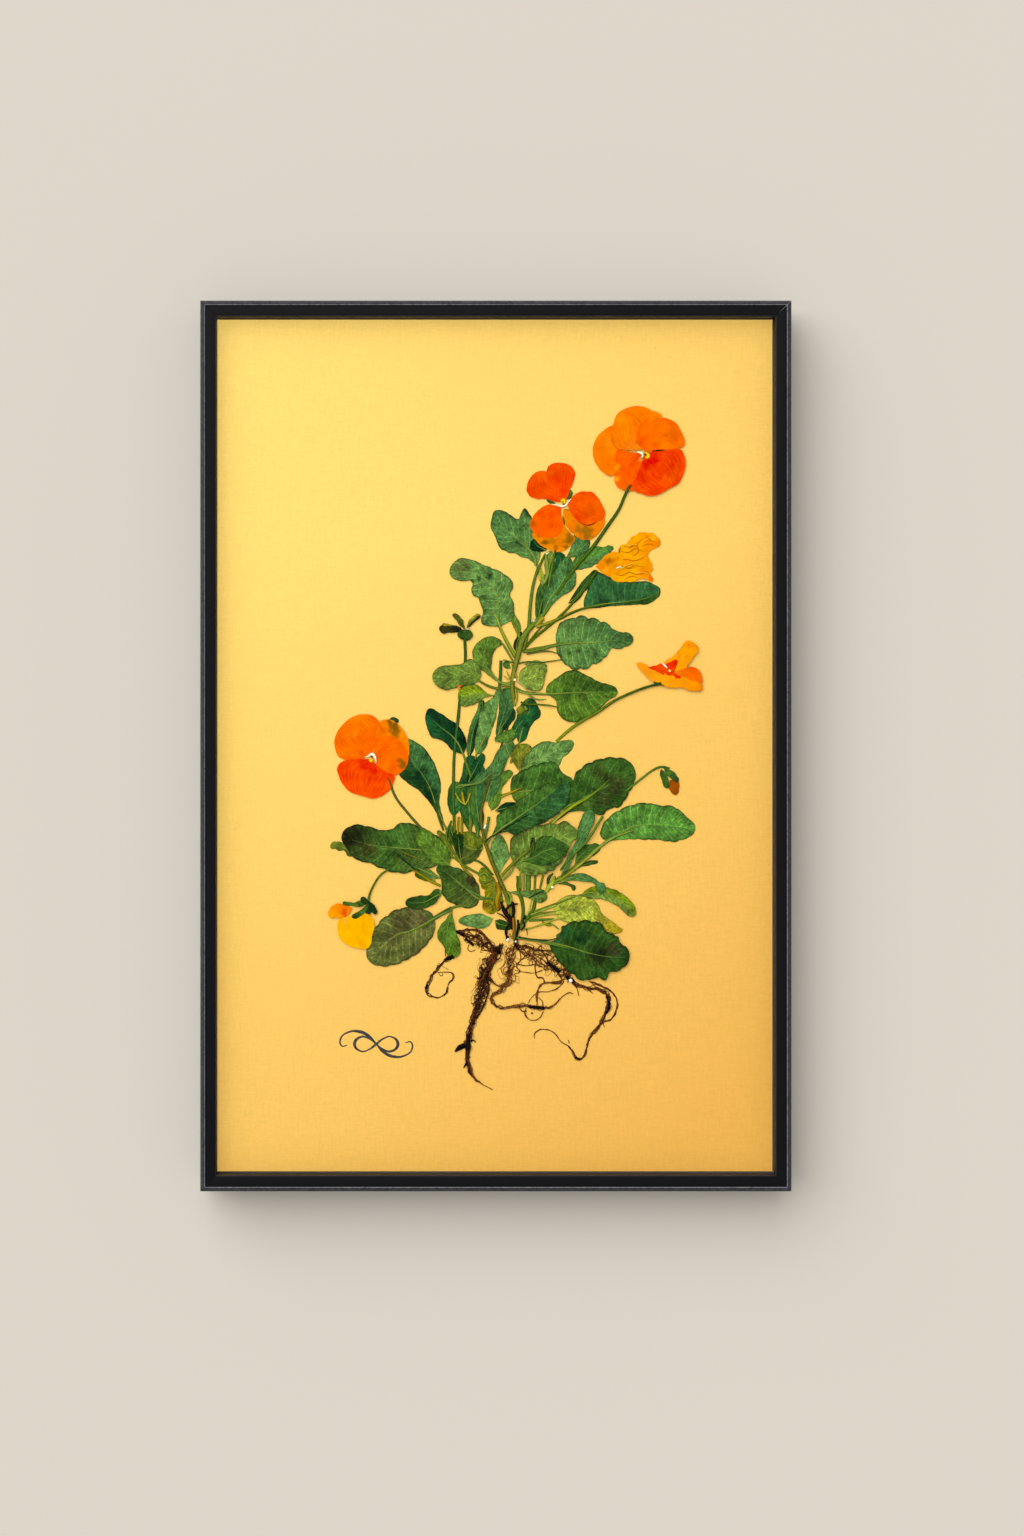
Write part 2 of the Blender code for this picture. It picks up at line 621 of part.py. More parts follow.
def make_points():
    """Flat steel arrowheads whose noses sit in the side rails' slots."""
    half = POINT_WIDTH / 2
    nose = POINT_NOSE / 2
    outline = [(0, -nose), (POINT_BITE, -half), (POINT_LENGTH, -half), (POINT_LENGTH, half),
               (POINT_BITE, half), (0, nose)]
    number = 0
    for way in (-1, 1):
        for height in POINT_HEIGHTS:
            number += 1
            point = flat_curve(f"point_{number}", outline, POINT_THICKNESS)
            point.data.materials.append(finishes["steel"])
            point.rotation_euler = (math.radians(90), 0, math.radians(180) if way > 0 else 0)
            place(point, picture_centre, way * (FRAME_WIDTH / 2 - RAIL_WALL + POINT_BITE),
                  BACKING_BACK + GAP + POINT_THICKNESS / 2, height)


def screw_hole(name, way):
    """A cutter for one screw's shank, through the hanger's tab or the board."""
    shape = bmesh.new()
    radius = (SCREW_SHANK_RADIUS + GAP) * MM
    bmesh.ops.create_cone(shape, cap_ends=True, segments=TURNED_STEPS, radius1=radius, radius2=radius,
                          depth=CUTTER_DEPTH * MM)
    bmesh.ops.rotate(shape, verts=shape.verts, matrix=Matrix.Rotation(math.radians(90), 3, "X"))
    mesh = bpy.data.meshes.new(name)
    shape.to_mesh(mesh)
    shape.free()
    hole = bpy.data.objects.new(name, mesh)
    cutters.objects.link(hole)
    return place(hole, picture_centre, way * SCREW_PLACE, BACKING_BACK, HANGER_LEVEL)


def make_hanger():
    """A sawtooth hanger: a strip with a raised middle, toothed along its lower edge, on two screws."""
    half = HANGER_WIDTH / 2
    foot = half - HANGER_TAB
    bridge = foot - HANGER_SLOPE
    board_side = [(half, 0), (foot, 0), (bridge, HANGER_RISE)]
    wall_side = [(half, HANGER_SHEET), (foot + GAP, HANGER_SHEET), (bridge + GAP, HANGER_RISE + HANGER_SHEET)]
    outline = board_side + [(-x, y) for x, y in reversed(board_side)]
    outline += [(-x, y) for x, y in wall_side] + list(reversed(wall_side))
    strip = flat_curve("hanger", outline, HANGER_HEIGHT)
    hanger = welded_mesh(strip, Matrix.Identity(4))
    hanger.data.materials.append(finishes["steel"])
    place(hanger, picture_centre, 0, BACKING_BACK + GAP, HANGER_LEVEL)

    reach = TOOTH_COUNT * TOOTH_PITCH / 2
    teeth = [(-reach, -TOOTH_DEPTH)]
    for tooth in range(TOOTH_COUNT):
        start = -reach + tooth * TOOTH_PITCH
        teeth += [(start, 0), (start + TOOTH_PITCH / 2, TOOTH_DEPTH)]
    teeth += [(reach, 0), (reach, -TOOTH_DEPTH)]
    comb = welded_mesh(flat_curve("tooth_cutter", teeth, CUTTER_DEPTH),
                       Matrix.Rotation(math.radians(90), 4, "X"))
    pieces.objects.unlink(comb)
    cutters.objects.link(comb)
    place(comb, picture_centre, 0, BACKING_BACK + HANGER_RISE, HANGER_BOTTOM)
    cut(hanger, comb)
    for way in (-1, 1):
        cut(hanger, screw_hole(f"tab_hole_{way}", way))


def make_screws():
    """Two pan-headed screws, turned about Y with the shank towards the sheet."""
    head = SCREW_HEAD_RADIUS
    profile = [(0, SCREW_HEAD_HEIGHT), (SCREW_CROWN_RADIUS, SCREW_HEAD_HEIGHT),
               (head, SCREW_HEAD_HEIGHT / 2), (head, 0), (SCREW_SHANK_RADIUS, 0),
               (SCREW_SHANK_RADIUS, -SCREW_LENGTH), (0, -SCREW_LENGTH)]
    edges = [(first, first + 1) for first in range(len(profile) - 1)]
    for name, way in (("hanger_screw_left", -1), ("hanger_screw_right", 1)):
        mesh = bpy.data.meshes.new(name)
        mesh.from_pydata([(radius * MM, 0, along * MM) for radius, along in profile], edges, [])
        screw = bpy.data.objects.new(name, mesh)
        pieces.objects.link(screw)
        turned = screw.modifiers.new("turned", "SCREW")
        turned.steps = TURNED_STEPS
        turned.render_steps = TURNED_STEPS
        turned.use_merge_vertices = True
        turned.merge_threshold = WELD * MM
        screw.data.materials.append(finishes["steel"])
        screw.rotation_euler = (math.radians(-90), 0, 0)
        place(screw, picture_centre, way * SCREW_PLACE, BACKING_BACK + 2 * GAP + HANGER_SHEET, HANGER_LEVEL)


def ribbon_sides(line, widths):
    """The two edges of a strip that follows a middle line, left and right of its direction."""
    left, right = [], []
    for number, (x, z) in enumerate(line):
        before = Vector(line[max(number - 1, 0)])
        after = Vector(line[min(number + 1, len(line) - 1)])
        along = (after - before).normalized()
        across = Vector((-along.y, along.x)) * widths[number] / 2
        left.append((x + across.x, z + across.y))
        right.append((x - across.x, z - across.y))
    return left, right


def ease_ends(line, widths):
    """Adds a point close to each end, so that the smooth outline keeps its width there."""
    first = tuple(Vector(line[0]).lerp(Vector(line[1]), END_SHARE))
    last = tuple(Vector(line[-1]).lerp(Vector(line[-2]), END_SHARE))
    eased = [line[0], first] + line[1:-1] + [last, line[-1]]
    return eased, [widths[0]] * 2 + widths[1:-1] + [widths[-1]] * 2


def press(name, outline, layer, finish, steps=OUTLINE_STEPS):
    """Lays one flat piece of the plant in its layer over the sheet."""
    piece = flat_curve(name, outline, PRESSED, steps)
    piece.data.materials.append(finish)
    piece.rotation_euler = (math.radians(90), 0, 0)
    return place(piece, picture_centre, 0, LAYER_START - layer * LAYER_PITCH)


def leaf_outline(leaf):
    stalk = leaf["stalk"]
    left, right = ribbon_sides(stalk, [STALK_WIDTH] * len(stalk))
    return left + leaf["left"] + [leaf["tip"]] + list(reversed(right + leaf["right"]))


def strand_outline(strand):
    left, right = ribbon_sides(*ease_ends(strand["line"], strand["width"]))
    return left + list(reversed(right))


def make_plant():
    for colour, rgb in {**GREENS, **PETALS, **STRAND_COLOURS}.items():
        finishes[colour] = new_material(f"pressed_{colour}", rgb, 0.75)
    for name, leaf in LEAVES.items():
        press(name, leaf_outline(leaf), leaf["layer"], finishes[leaf["green"]])
    for name, flower in FLOWERS.items():
        press(name, flower["outline"], flower["layer"], finishes[flower["colour"]])
    for name, strand in STRANDS.items():
        press(name, strand_outline(strand), strand["layer"], finishes[strand["colour"]], STRAND_STEPS)


for old in list(bpy.data.objects):
    bpy.data.objects.remove(old)
pieces = bpy.data.collections.new("pressed_flower_frame")
cutters = bpy.data.collections.new("cutters")
bpy.context.scene.collection.children.link(pieces)
bpy.context.scene.collection.children.link(cutters)
picture_centre = bpy.data.objects.new("picture_centre", None)
picture_centre.location = Vector((0, -NAIL_Y, -NAIL_Z)) * MM
pieces.objects.link(picture_centre)
finishes = {
    "moulding": new_material("black_moulding", (0.012, 0.012, 0.014), 0.4),
    "glass": new_material("clear_glass", (1.0, 1.0, 1.0), 0.02, transmission=1.0),
    "spacer": new_material("spacer_card", (0.02, 0.02, 0.02), 0.8),
    "sheet": new_material("golden_paper", (0.98, 0.60, 0.13), 0.8),
    "board": new_material("backing_fibreboard", (0.28, 0.18, 0.10), 0.8),
    "steel": new_material("zinc_plated_steel", (0.60, 0.60, 0.58), 0.35, metallic=1.0),
}
make_moulding()
make_stack()
make_points()
make_hanger()
make_screws()
make_plant()
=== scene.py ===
import math

import bmesh
import bpy
import numpy as np
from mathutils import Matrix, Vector, noise


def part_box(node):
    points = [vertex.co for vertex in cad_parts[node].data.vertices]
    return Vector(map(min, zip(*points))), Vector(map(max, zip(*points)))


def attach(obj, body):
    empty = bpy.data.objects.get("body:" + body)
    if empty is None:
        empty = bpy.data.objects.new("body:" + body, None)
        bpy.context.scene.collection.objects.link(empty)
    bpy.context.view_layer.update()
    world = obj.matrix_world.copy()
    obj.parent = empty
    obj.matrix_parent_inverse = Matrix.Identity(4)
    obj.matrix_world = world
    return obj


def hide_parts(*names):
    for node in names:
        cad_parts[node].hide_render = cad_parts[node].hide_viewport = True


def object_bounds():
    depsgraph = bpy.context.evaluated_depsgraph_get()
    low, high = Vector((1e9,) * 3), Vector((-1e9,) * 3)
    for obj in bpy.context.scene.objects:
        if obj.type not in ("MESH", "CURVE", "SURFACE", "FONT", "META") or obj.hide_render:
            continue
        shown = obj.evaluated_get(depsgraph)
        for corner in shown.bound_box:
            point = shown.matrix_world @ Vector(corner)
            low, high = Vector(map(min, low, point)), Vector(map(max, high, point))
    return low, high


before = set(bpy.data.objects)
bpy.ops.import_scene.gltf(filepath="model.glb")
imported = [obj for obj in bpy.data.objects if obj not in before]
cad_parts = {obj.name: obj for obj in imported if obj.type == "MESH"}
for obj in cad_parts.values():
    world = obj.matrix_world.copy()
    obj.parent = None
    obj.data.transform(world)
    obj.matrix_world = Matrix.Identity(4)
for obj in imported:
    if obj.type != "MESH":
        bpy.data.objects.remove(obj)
cadBox = [list(corner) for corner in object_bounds()]
mm = 0.001

sheetLow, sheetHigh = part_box("mount_sheet")
pictureMiddle = (sheetLow + sheetHigh) / 2
paperFace = sheetLow.y  # the sheet's front, which faces -y
frameLow, frameHigh = (Vector(corner) for corner in cadBox)


def linearColour(hexColour):
    # an sRGB hex value as linear numbers
    parts = [int(hexColour[i:i + 2], 16) / 255 for i in (1, 3, 5)]
    return tuple(c / 12.92 if c <= 0.04045 else ((c + 0.055) / 1.055) ** 2.4 for c in parts)


def rgba(hexColour):
    return (*linearColour(hexColour), 1.0)


def addNode(tree, kind, inputs=None, **settings):
    # one node with its settings, its values and the links into it
    node = tree.nodes.new(kind)
    for key, value in settings.items():
        setattr(node, key, value)
    for key, value in (inputs or {}).items():
        socket = node.inputs[key]
        if isinstance(value, bpy.types.NodeSocket):
            tree.links.new(value, socket)
        else:
            socket.default_value = value
    return node


def maths(tree, operation, *values):
    # a Math node's result
    return addNode(tree, "ShaderNodeMath", dict(enumerate(values)), operation=operation).outputs["Value"]


def remap(tree, value, low, high, start, end, **settings):
    # the value with its range from low to high laid on the range from start to end
    values = {"Value": value, "From Min": low, "From Max": high, "To Min": start, "To Max": end}
    return addNode(tree, "ShaderNodeMapRange", values, **settings).outputs["Result"]


def cloudy(tree, place, scale, detail, **more):
    # soft noise at a place
    values = {"Vector": place, "Scale": scale, "Detail": detail, **more}
    return addNode(tree, "ShaderNodeTexNoise", values).outputs["Fac"]


def bumped(tree, shader, height, strength, depth):
    # gives a finish its relief, depth in mm
    values = {"Height": height, "Strength": strength, "Distance": depth * mm}
    normal = addNode(tree, "ShaderNodeBump", values).outputs["Normal"]
    tree.links.new(normal, shader.inputs["Normal"])


def newMaterial(name, **values):
    # a Principled material with plain values on its own sockets
    material = bpy.data.materials.new(name)
    material.use_nodes = True
    shader = material.node_tree.nodes["Principled BSDF"]
    for key, value in values.items():
        shader.inputs[key.replace("_", " ")].default_value = value
    return material, material.node_tree, shader


def seenPiece(name, mesh, materials, replaced=()):
    # a finished piece: it rides on the one body and may stand for CAD nodes
    obj = bpy.data.objects.new(name, mesh)
    bpy.context.scene.collection.objects.link(obj)
    for material in materials:
        mesh.materials.append(material)
    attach(obj, "root")
    if replaced:
        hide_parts(*replaced)
    return obj


# The wall, the floor, the light and the camera
stage = {
    "wallColour": "#cac3b7",
    "floorColour": "#d9d4cb",
    "wallGap": 3.0,  # from the rails' backs to the wall, mm
    "floorDrop": 420.0,  # from the frame's lower edge to the floor, mm
    "reach": 6000.0,
    "cameraAside": (-50.0, 22.0),  # of the picture's middle, mm
    "cameraDistance": 1000.0,  # from the rails' front, mm
    "viewHeight": 768.0,  # how much of that plane the picture's long side takes in, mm
    "viewMiddle": (8.0, -11.0),
    "sky": 0.45,
    "key": 3.32,
    "keyAngle": 72.0,  # degrees across: the wider, the softer the shadow
    "keyFrom": (-0.62, -1.0, 0.72),
    "backLight": 1.2,
    "backFrom": (0.5, 1.0, 0.8),
}


def stagePlane(name, colour, size):
    # a plane that shows only its front, so that other views see the object's back
    bpy.ops.mesh.primitive_plane_add(size=size * mm)
    plane = bpy.context.object
    plane.name = name
    material, tree, shader = newMaterial(name + "Paint", Base_Color=rgba(colour), Roughness=0.9)
    geometry = addNode(tree, "ShaderNodeNewGeometry")
    clear = addNode(tree, "ShaderNodeBsdfTransparent")
    oneSided = addNode(tree, "ShaderNodeMixShader", {0: geometry.outputs["Backfacing"],
        1: shader.outputs["BSDF"], 2: clear.outputs["BSDF"]})
    tree.links.new(oneSided.outputs["Shader"], tree.nodes["Material Output"].inputs["Surface"])
    plane.data.materials.append(material)
    plane.visible_diffuse = False
    plane.visible_glossy = False
    plane.visible_shadow = False
    return plane


wall = stagePlane("wall", stage["wallColour"], stage["reach"])
wall.rotation_euler = (math.radians(90), 0, 0)
wall.location = (pictureMiddle.x, frameHigh.y + stage["wallGap"] * mm, pictureMiddle.z)
floor = stagePlane("floor", stage["floorColour"], stage["reach"])
floor.location = (0, 0, frameLow.z - stage["floorDrop"] * mm)

world = bpy.data.worlds.new("softStudio")
bpy.context.scene.world = world
world.use_nodes = True
world.node_tree.nodes["Background"].inputs["Color"].default_value = (1, 1, 1, 1)
world.node_tree.nodes["Background"].inputs["Strength"].default_value = stage["sky"]


def addSun(name, strength, comesFrom):
    light = bpy.data.lights.new(name, "SUN")
    light.energy = strength
    light.angle = math.radians(stage["keyAngle"])
    lamp = bpy.data.objects.new(name, light)
    lamp.rotation_euler = (-Vector(comesFrom)).to_track_quat("-Z", "Y").to_euler()
    bpy.context.scene.collection.objects.link(lamp)
    return lamp


keyLight = addSun("keyLight", stage["key"], stage["keyFrom"])
sheetLight = addSun("sheetLight", stage["key"], stage["keyFrom"])
addSun("backLight", stage["backLight"], stage["backFrom"])

camera = bpy.data.cameras.new("camera")
viewer = bpy.data.objects.new("camera", camera)
bpy.context.scene.collection.objects.link(viewer)
bpy.context.scene.camera = viewer
asideX, asideZ = stage["cameraAside"]
camera.lens = camera.sensor_width * stage["cameraDistance"] / stage["viewHeight"]
camera.shift_x = (stage["viewMiddle"][0] - asideX) / stage["viewHeight"]
camera.shift_y = (stage["viewMiddle"][1] - asideZ) / stage["viewHeight"]
camera.clip_start = 0.05
camera.clip_end = 30.0
viewer.rotation_euler = (math.radians(90), 0, 0)
viewer.location = (pictureMiddle.x + asideX * mm, frameLow.y - stage["cameraDistance"] * mm,
                   pictureMiddle.z + asideZ * mm)
bpy.context.scene.view_settings.view_transform = "Standard"
print("stage ready")


# The moulding: four mitred lengths of black lacquered wood
moulding = {
    "edgeRadius": 1.6,
    "edgeSteps": 10,
    "beadStart": 1.95,  # the fine bead along the outer lip's inner edge
    "beadWidth": 0.5,
    "stepEnd": 2.8,
    "stepDepth": 0.8,
    "arris": 0.35,
    "lipDepth": 4.8,
    "wall": 5.0,
    "mitreGap": 0.06,
    "lacquer": "#0d0d0f",
    # the lighter grey of the painted highlight along the bead, the rounded outer edge and the inner arris
    "highlightGrey": "#6d6d70",
}


def mouldingProfile(face):
    # (distance from the outer edge, height over the back, how much painted highlight it takes), round the
    # section
    m = moulding
    front = (frameHigh.y - frameLow.y) / mm
    r = m["edgeRadius"]
    outline = [(0, 0, 0.0)]
    # the rounded outer edge takes a painted highlight, strongest on its outer side
    for step in range(m["edgeSteps"] + 1):
        turn = math.pi / 2 * step / m["edgeSteps"]
        outline.append((r - r * math.cos(turn), front - r + r * math.sin(turn),
            0.25 + 0.2 * math.cos(turn)))
    bead, width = m["beadStart"], m["beadWidth"]
    floorOfStep = front - m["stepDepth"]
    # the bead takes the full painted highlight, the inner arris a little of it
    outline += [
        (bead, front, 0.1),
        (bead + 0.1, front, 1.0),
        (bead + width, front - 0.12, 1.0),
        (bead + width + 0.1, front - 0.3, 0.0),
        (m["stepEnd"], floorOfStep, 0.0),
        (face - m["arris"], floorOfStep, 0.0),
        (face - m["arris"] * 0.3, floorOfStep - m["arris"] * 0.3, 0.35),
        (face, floorOfStep - m["arris"], 0.1),
        (face, front - m["lipDepth"], 0.0),
        (m["wall"], front - m["lipDepth"], 0.0),
        (m["wall"], 0, 0.0),
    ]
    return outline


def makeRail(name, side, material):
    # side says which way the rail's outer edge faces: (1, 0) is the right
    low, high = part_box(name)
    across = (high.x - low.x if side[0] else high.z - low.z) / mm
    outline = mouldingProfile(across)
    halfWide = (frameHigh.x - frameLow.x) / 2 / mm
    halfTall = (frameHigh.z - frameLow.z) / 2 / mm
    out, along = (halfWide, halfTall) if side[0] else (halfTall, halfWide)
    spots, polish = [], []
    for end in (-1, 1):
        for inwards, height, highlightShare in outline:
            reach = end * (along - inwards - moulding["mitreGap"])
            rim = out - inwards
            x, z = (side[0] * rim, reach) if side[0] else (reach, side[1] * rim)
            spots.append((pictureMiddle.x + x * mm, frameHigh.y - height * mm, pictureMiddle.z + z * mm))
            polish.append(highlightShare)
    count = len(outline)
    faces = [list(range(count)), list(range(2 * count - 1, count - 1, -1))]
    faces += [(i, count + i, count + (i + 1) % count, (i + 1) % count) for i in range(count)]
    mesh = bpy.data.meshes.new(name)
    mesh.from_pydata(spots, [], faces)
    mesh.attributes.new("polish", "FLOAT", "POINT").data.foreach_set("value", polish)
    outwards(mesh)
    mesh.shade_smooth()
    mesh.set_sharp_from_angle(angle=math.radians(35))
    seenPiece(name.replace("rail", "moulding"), mesh, [material], [name])


def outwards(mesh):
    # turns every face of a closed mesh outwards
    shape = bmesh.new()
    shape.from_mesh(mesh)
    bmesh.ops.recalc_face_normals(shape, faces=shape.faces)
    shape.to_mesh(mesh)
    shape.free()


def lacqueredWood():
    # black satin lacquer over ramin, sprayed and rubbed down to a soft sheen; its lighter grey along the
    # bead, the rounded outer edge and the inner arris is a painted highlight
    material, tree, shader = newMaterial("satinLacqueredWood", Specular_IOR_Level=0.08)
    place = addNode(tree, "ShaderNodeTexCoord").outputs["Object"]
    # how much painted highlight each point of the section takes, speckled below
    polish = addNode(tree, "ShaderNodeAttribute", attribute_name="polish").outputs["Fac"]
    speck = cloudy(tree, place, 700.0, 3.0)
    speckledHighlight = maths(tree, "MULTIPLY", polish, speck)
    highlightMix = remap(tree, speckledHighlight, 0.0, 0.62, 0.0, 1.0)
    tint = addNode(tree, "ShaderNodeMix", {"Factor": highlightMix, "A": rgba(moulding["lacquer"]),
        "B": rgba(moulding["highlightGrey"])}, data_type="RGBA")
    tree.links.new(tint.outputs["Result"], shader.inputs["Base Color"])
    dust = cloudy(tree, place, 90.0, 4.0)
    rough = remap(tree, dust, 0.0, 1.0, 0.32, 0.5)
    tree.links.new(rough, shader.inputs["Roughness"])
    bumped(tree, shader, speck, 0.15, 0.05)
    return material


lacquer = lacqueredWood()
for railName, railSide in (("rail_left", (-1, 0)), ("rail_right", (1, 0)),
                           ("rail_top", (0, 1)), ("rail_bottom", (0, -1))):
    makeRail(railName, railSide, lacquer)
print("moulding ready")


# The pane, the golden sheet and what closes the back keep their solids
paper = {
    "upper": "#fbd46e",  # at the upper left, lighter partly in its own tone and partly as painted light
    "lower": "#e0a849",  # at the lower right, deeper partly in its own tone and partly as painted shade
    "threadPitch": 0.5,  # of the linen finish, mm
    "threadLength": 9.0,  # in pitches
    "mottle": 0.07,
}


def goldenPaper():
    # linen-finished paper, rolled with a cloth grain, which gives a faint crossed weave
    material, tree, shader = newMaterial("linenFinishPaper", Roughness=0.85, Specular_IOR_Level=0.25)
    place = addNode(tree, "ShaderNodeTexCoord").outputs["Object"]
    spot = addNode(tree, "ShaderNodeSeparateXYZ", {"Vector": place})
    half = (sheetHigh - sheetLow) / 2
    # the tone runs from the upper left to the lower right: partly the paper's own tone, partly painted
    # light and shade
    across = remap(tree, spot.outputs["X"], sheetLow.x, sheetHigh.x, 0.0, 0.45)
    down = remap(tree, spot.outputs["Z"], sheetHigh.z - half.z * 0.5, sheetLow.z, 0.0, 0.65)
    toneAndLightFall = maths(tree, "ADD", across, down)
    base = addNode(tree, "ShaderNodeMix", {"Factor": toneAndLightFall, "A": rgba(paper["upper"]),
        "B": rgba(paper["lower"])}, data_type="RGBA")
    threads = []
    for lengths in ((1.0, 1.0, paper["threadLength"]), (paper["threadLength"], 1.0, 1.0)):
        run = addNode(tree, "ShaderNodeMapping", {"Vector": place,
            "Scale": [1 / length for length in lengths]})
        threads.append(cloudy(tree, run.outputs["Vector"], 0.6 / (paper["threadPitch"] * mm), 3.0,
            Roughness=0.6))
    cloth = maths(tree, "ADD", threads[0], threads[1])
    cloud = cloudy(tree, place, 650.0, 5.0, Roughness=0.7)
    grain = maths(tree, "MULTIPLY_ADD", cloth, 0.8, cloud)
    value = remap(tree, grain, 1.0, 1.6, 1 - paper["mottle"], 1 + paper["mottle"] * 0.6)
    shaded = addNode(tree, "ShaderNodeHueSaturation", {"Color": base.outputs["Result"], "Value": value})
    tree.links.new(shaded.outputs["Color"], shader.inputs["Base Color"])
    bumped(tree, shader, grain, 0.2, 0.08)
    return material


def speckled(name, light, dark, cells, **values):
    # a pressed or rolled surface: two tones of one colour in fine specks
    material, tree, shader = newMaterial(name, **values)
    place = addNode(tree, "ShaderNodeTexCoord").outputs["Object"]
    speck = cloudy(tree, place, cells, 6.0, Roughness=0.65)
    sharp = remap(tree, speck, 0.35, 0.65, 0.0, 1.0)
    tint = addNode(tree, "ShaderNodeMix", {"Factor": sharp, "A": rgba(dark), "B": rgba(light)},
        data_type="RGBA")
    tree.links.new(tint.outputs["Result"], shader.inputs["Base Color"])
    bumped(tree, shader, speck, 0.3, 0.1)
    return material


def clearGlass():
    # float glass with an anti-reflective coating: clear, with only a trace of the room in it
    return newMaterial("coatedPictureGlass", Transmission_Weight=1.0, Roughness=0.02, IOR=1.02,
                       Base_Color=(1, 1, 1, 1))[0]


def finishNode(node, material):
    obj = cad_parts[node]
    obj.data.materials.clear()
    obj.data.materials.append(material)
    return obj


# zinc plate: bright, bluish and slightly mottled; hardboard: brown pressed fibre; card: dyed black pulp
zinc = speckled("zincPlatedSteel", "#c9cbc8", "#a3a6a6", 500.0, Metallic=1.0, Roughness=0.34)
hardboard = speckled("temperedHardboard", "#8a623f", "#6a4728", 260.0, Roughness=0.75)
blackCard = speckled("dyedBlackCard", "#1c1b1a", "#121110", 600.0, Roughness=0.9)
finishNode("mount_sheet", goldenPaper())
finishNode("backing_board", hardboard)
for strip in ("spacer_top", "spacer_bottom", "spacer_left", "spacer_right"):
    finishNode(strip, blackCard)
for metalPiece in ("point_1", "point_2", "point_3", "point_4", "hanger", "hanger_screw_left",
                   "hanger_screw_right"):
    finishNode(metalPiece, zinc)
pane = finishNode("glazing", clearGlass())
pane.visible_shadow = False
pane.visible_diffuse = False  # light on the sheet comes straight from the lamps, as through clear glass
print("pane, sheet and back ready")


# Blades: leaves, petals and sepals are thin closed sheets; the leaves have a rib lying on them
blade = {
    "thickness": 0.12,
    "ribHeight": 0.14,
    "firstLayer": 0.16,  # the lowest layer's middle over the sheet, mm
    "layerStep": 0.3,
    "wave": 0.05,
    "edgeWander": 0.2,
    "rowStep": 0.6,
    "columnStep": 1.1,
    "cordStep": 0.8,
    "handle": 0.39,  # how far a curve's handles reach, in spans
    "trim": 0.004,  # left off at the base and at the tip, in lengths
    "laneSpread": 0.85,  # below 1 the lanes lie closer at the margins
    "creaseAngle": 50,
}
leafTones = {  # what green, yellow and brown leaves dry to
    "pine": "#042810", "soot": "#181c08", "fir": "#103418", "ivy": "#203c10", "peat": "#303010",
    "spruce": "#184c24", "laurel": "#305018", "bayLeaf": "#445c08", "bottle": "#2c582c", "grass": "#3c6020",
    "moss": "#4c5820", "bronze": "#646404", "meadow": "#507020", "olive": "#606c18", "sage": "#446c34",
    "ochre": "#807804", "lime": "#6c8010", "fern": "#60782c", "hay": "#787420", "willow": "#5c803c",
    "mustard": "#988004", "leek": "#788c34", "straw": "#908c24", "pear": "#9ca434", "umber": "#52462a",
    "darkUmber": "#322a16", "jade": "#50802e", "drab": "#5a602a",
}


def layerFace(layer):
    return paperFace - (blade["firstLayer"] + blade["layerStep"] * layer) * mm


def smoothLine(points, steps=10):
    # a smooth line through the points, each span a cubic with handles along its neighbours' direction
    spots = np.array(points, float)
    spans = np.diff(spots, axis=0)
    lengths = np.linalg.norm(spans, axis=1) + 1e-9
    units = spans / lengths[:, None]
    turns = np.vstack([units[:1], units[:-1] + units[1:], units[-1:]])
    turns /= np.linalg.norm(turns, axis=1)[:, None] + 1e-9
    share = (np.arange(steps) / steps)[:, None]
    runs = []
    for i, length in enumerate(lengths):
        a, d = spots[i], spots[i + 1]
        b = a + turns[i] * length * blade["handle"]
        c = d - turns[i + 1] * length * blade["handle"]
        runs.append((1 - share) ** 3 * a + 3 * (1 - share) ** 2 * share * b
                    + 3 * (1 - share) * share ** 2 * c + share ** 3 * d)
    return np.vstack(runs + [spots[-1:]])


def evenly(line, count, start=0.0, end=1.0):
    # the line taken again at even distances
    reach = np.concatenate([[0], np.cumsum(np.linalg.norm(np.diff(line, axis=0), axis=1))])
    wanted = np.linspace(start, end, count) * reach[-1]
    return np.stack([np.interp(wanted, reach, line[:, k]) for k in range(line.shape[1])], axis=1)


def grain(spots, size, seed):
    # smooth noise, about -1 to 1, one value for each (x, z) in mm
    return np.array([noise.noise(Vector((x / size, seed * 7.3, z / size))) for x, z in spots]) * 1.6


def toneOf(tone):
    # a leaf tone by its name, or a hex value as it is
    return np.array(linearColour(leafTones.get(tone, tone)))


def toneAlong(tones, share):
    stops = np.array([toneOf(tone) for tone in tones.split()])
    place = np.clip(share, 0, 1) * (len(stops) - 1)
    return np.stack([np.interp(place, np.arange(len(stops)), stops[:, k]) for k in range(3)], axis=1)


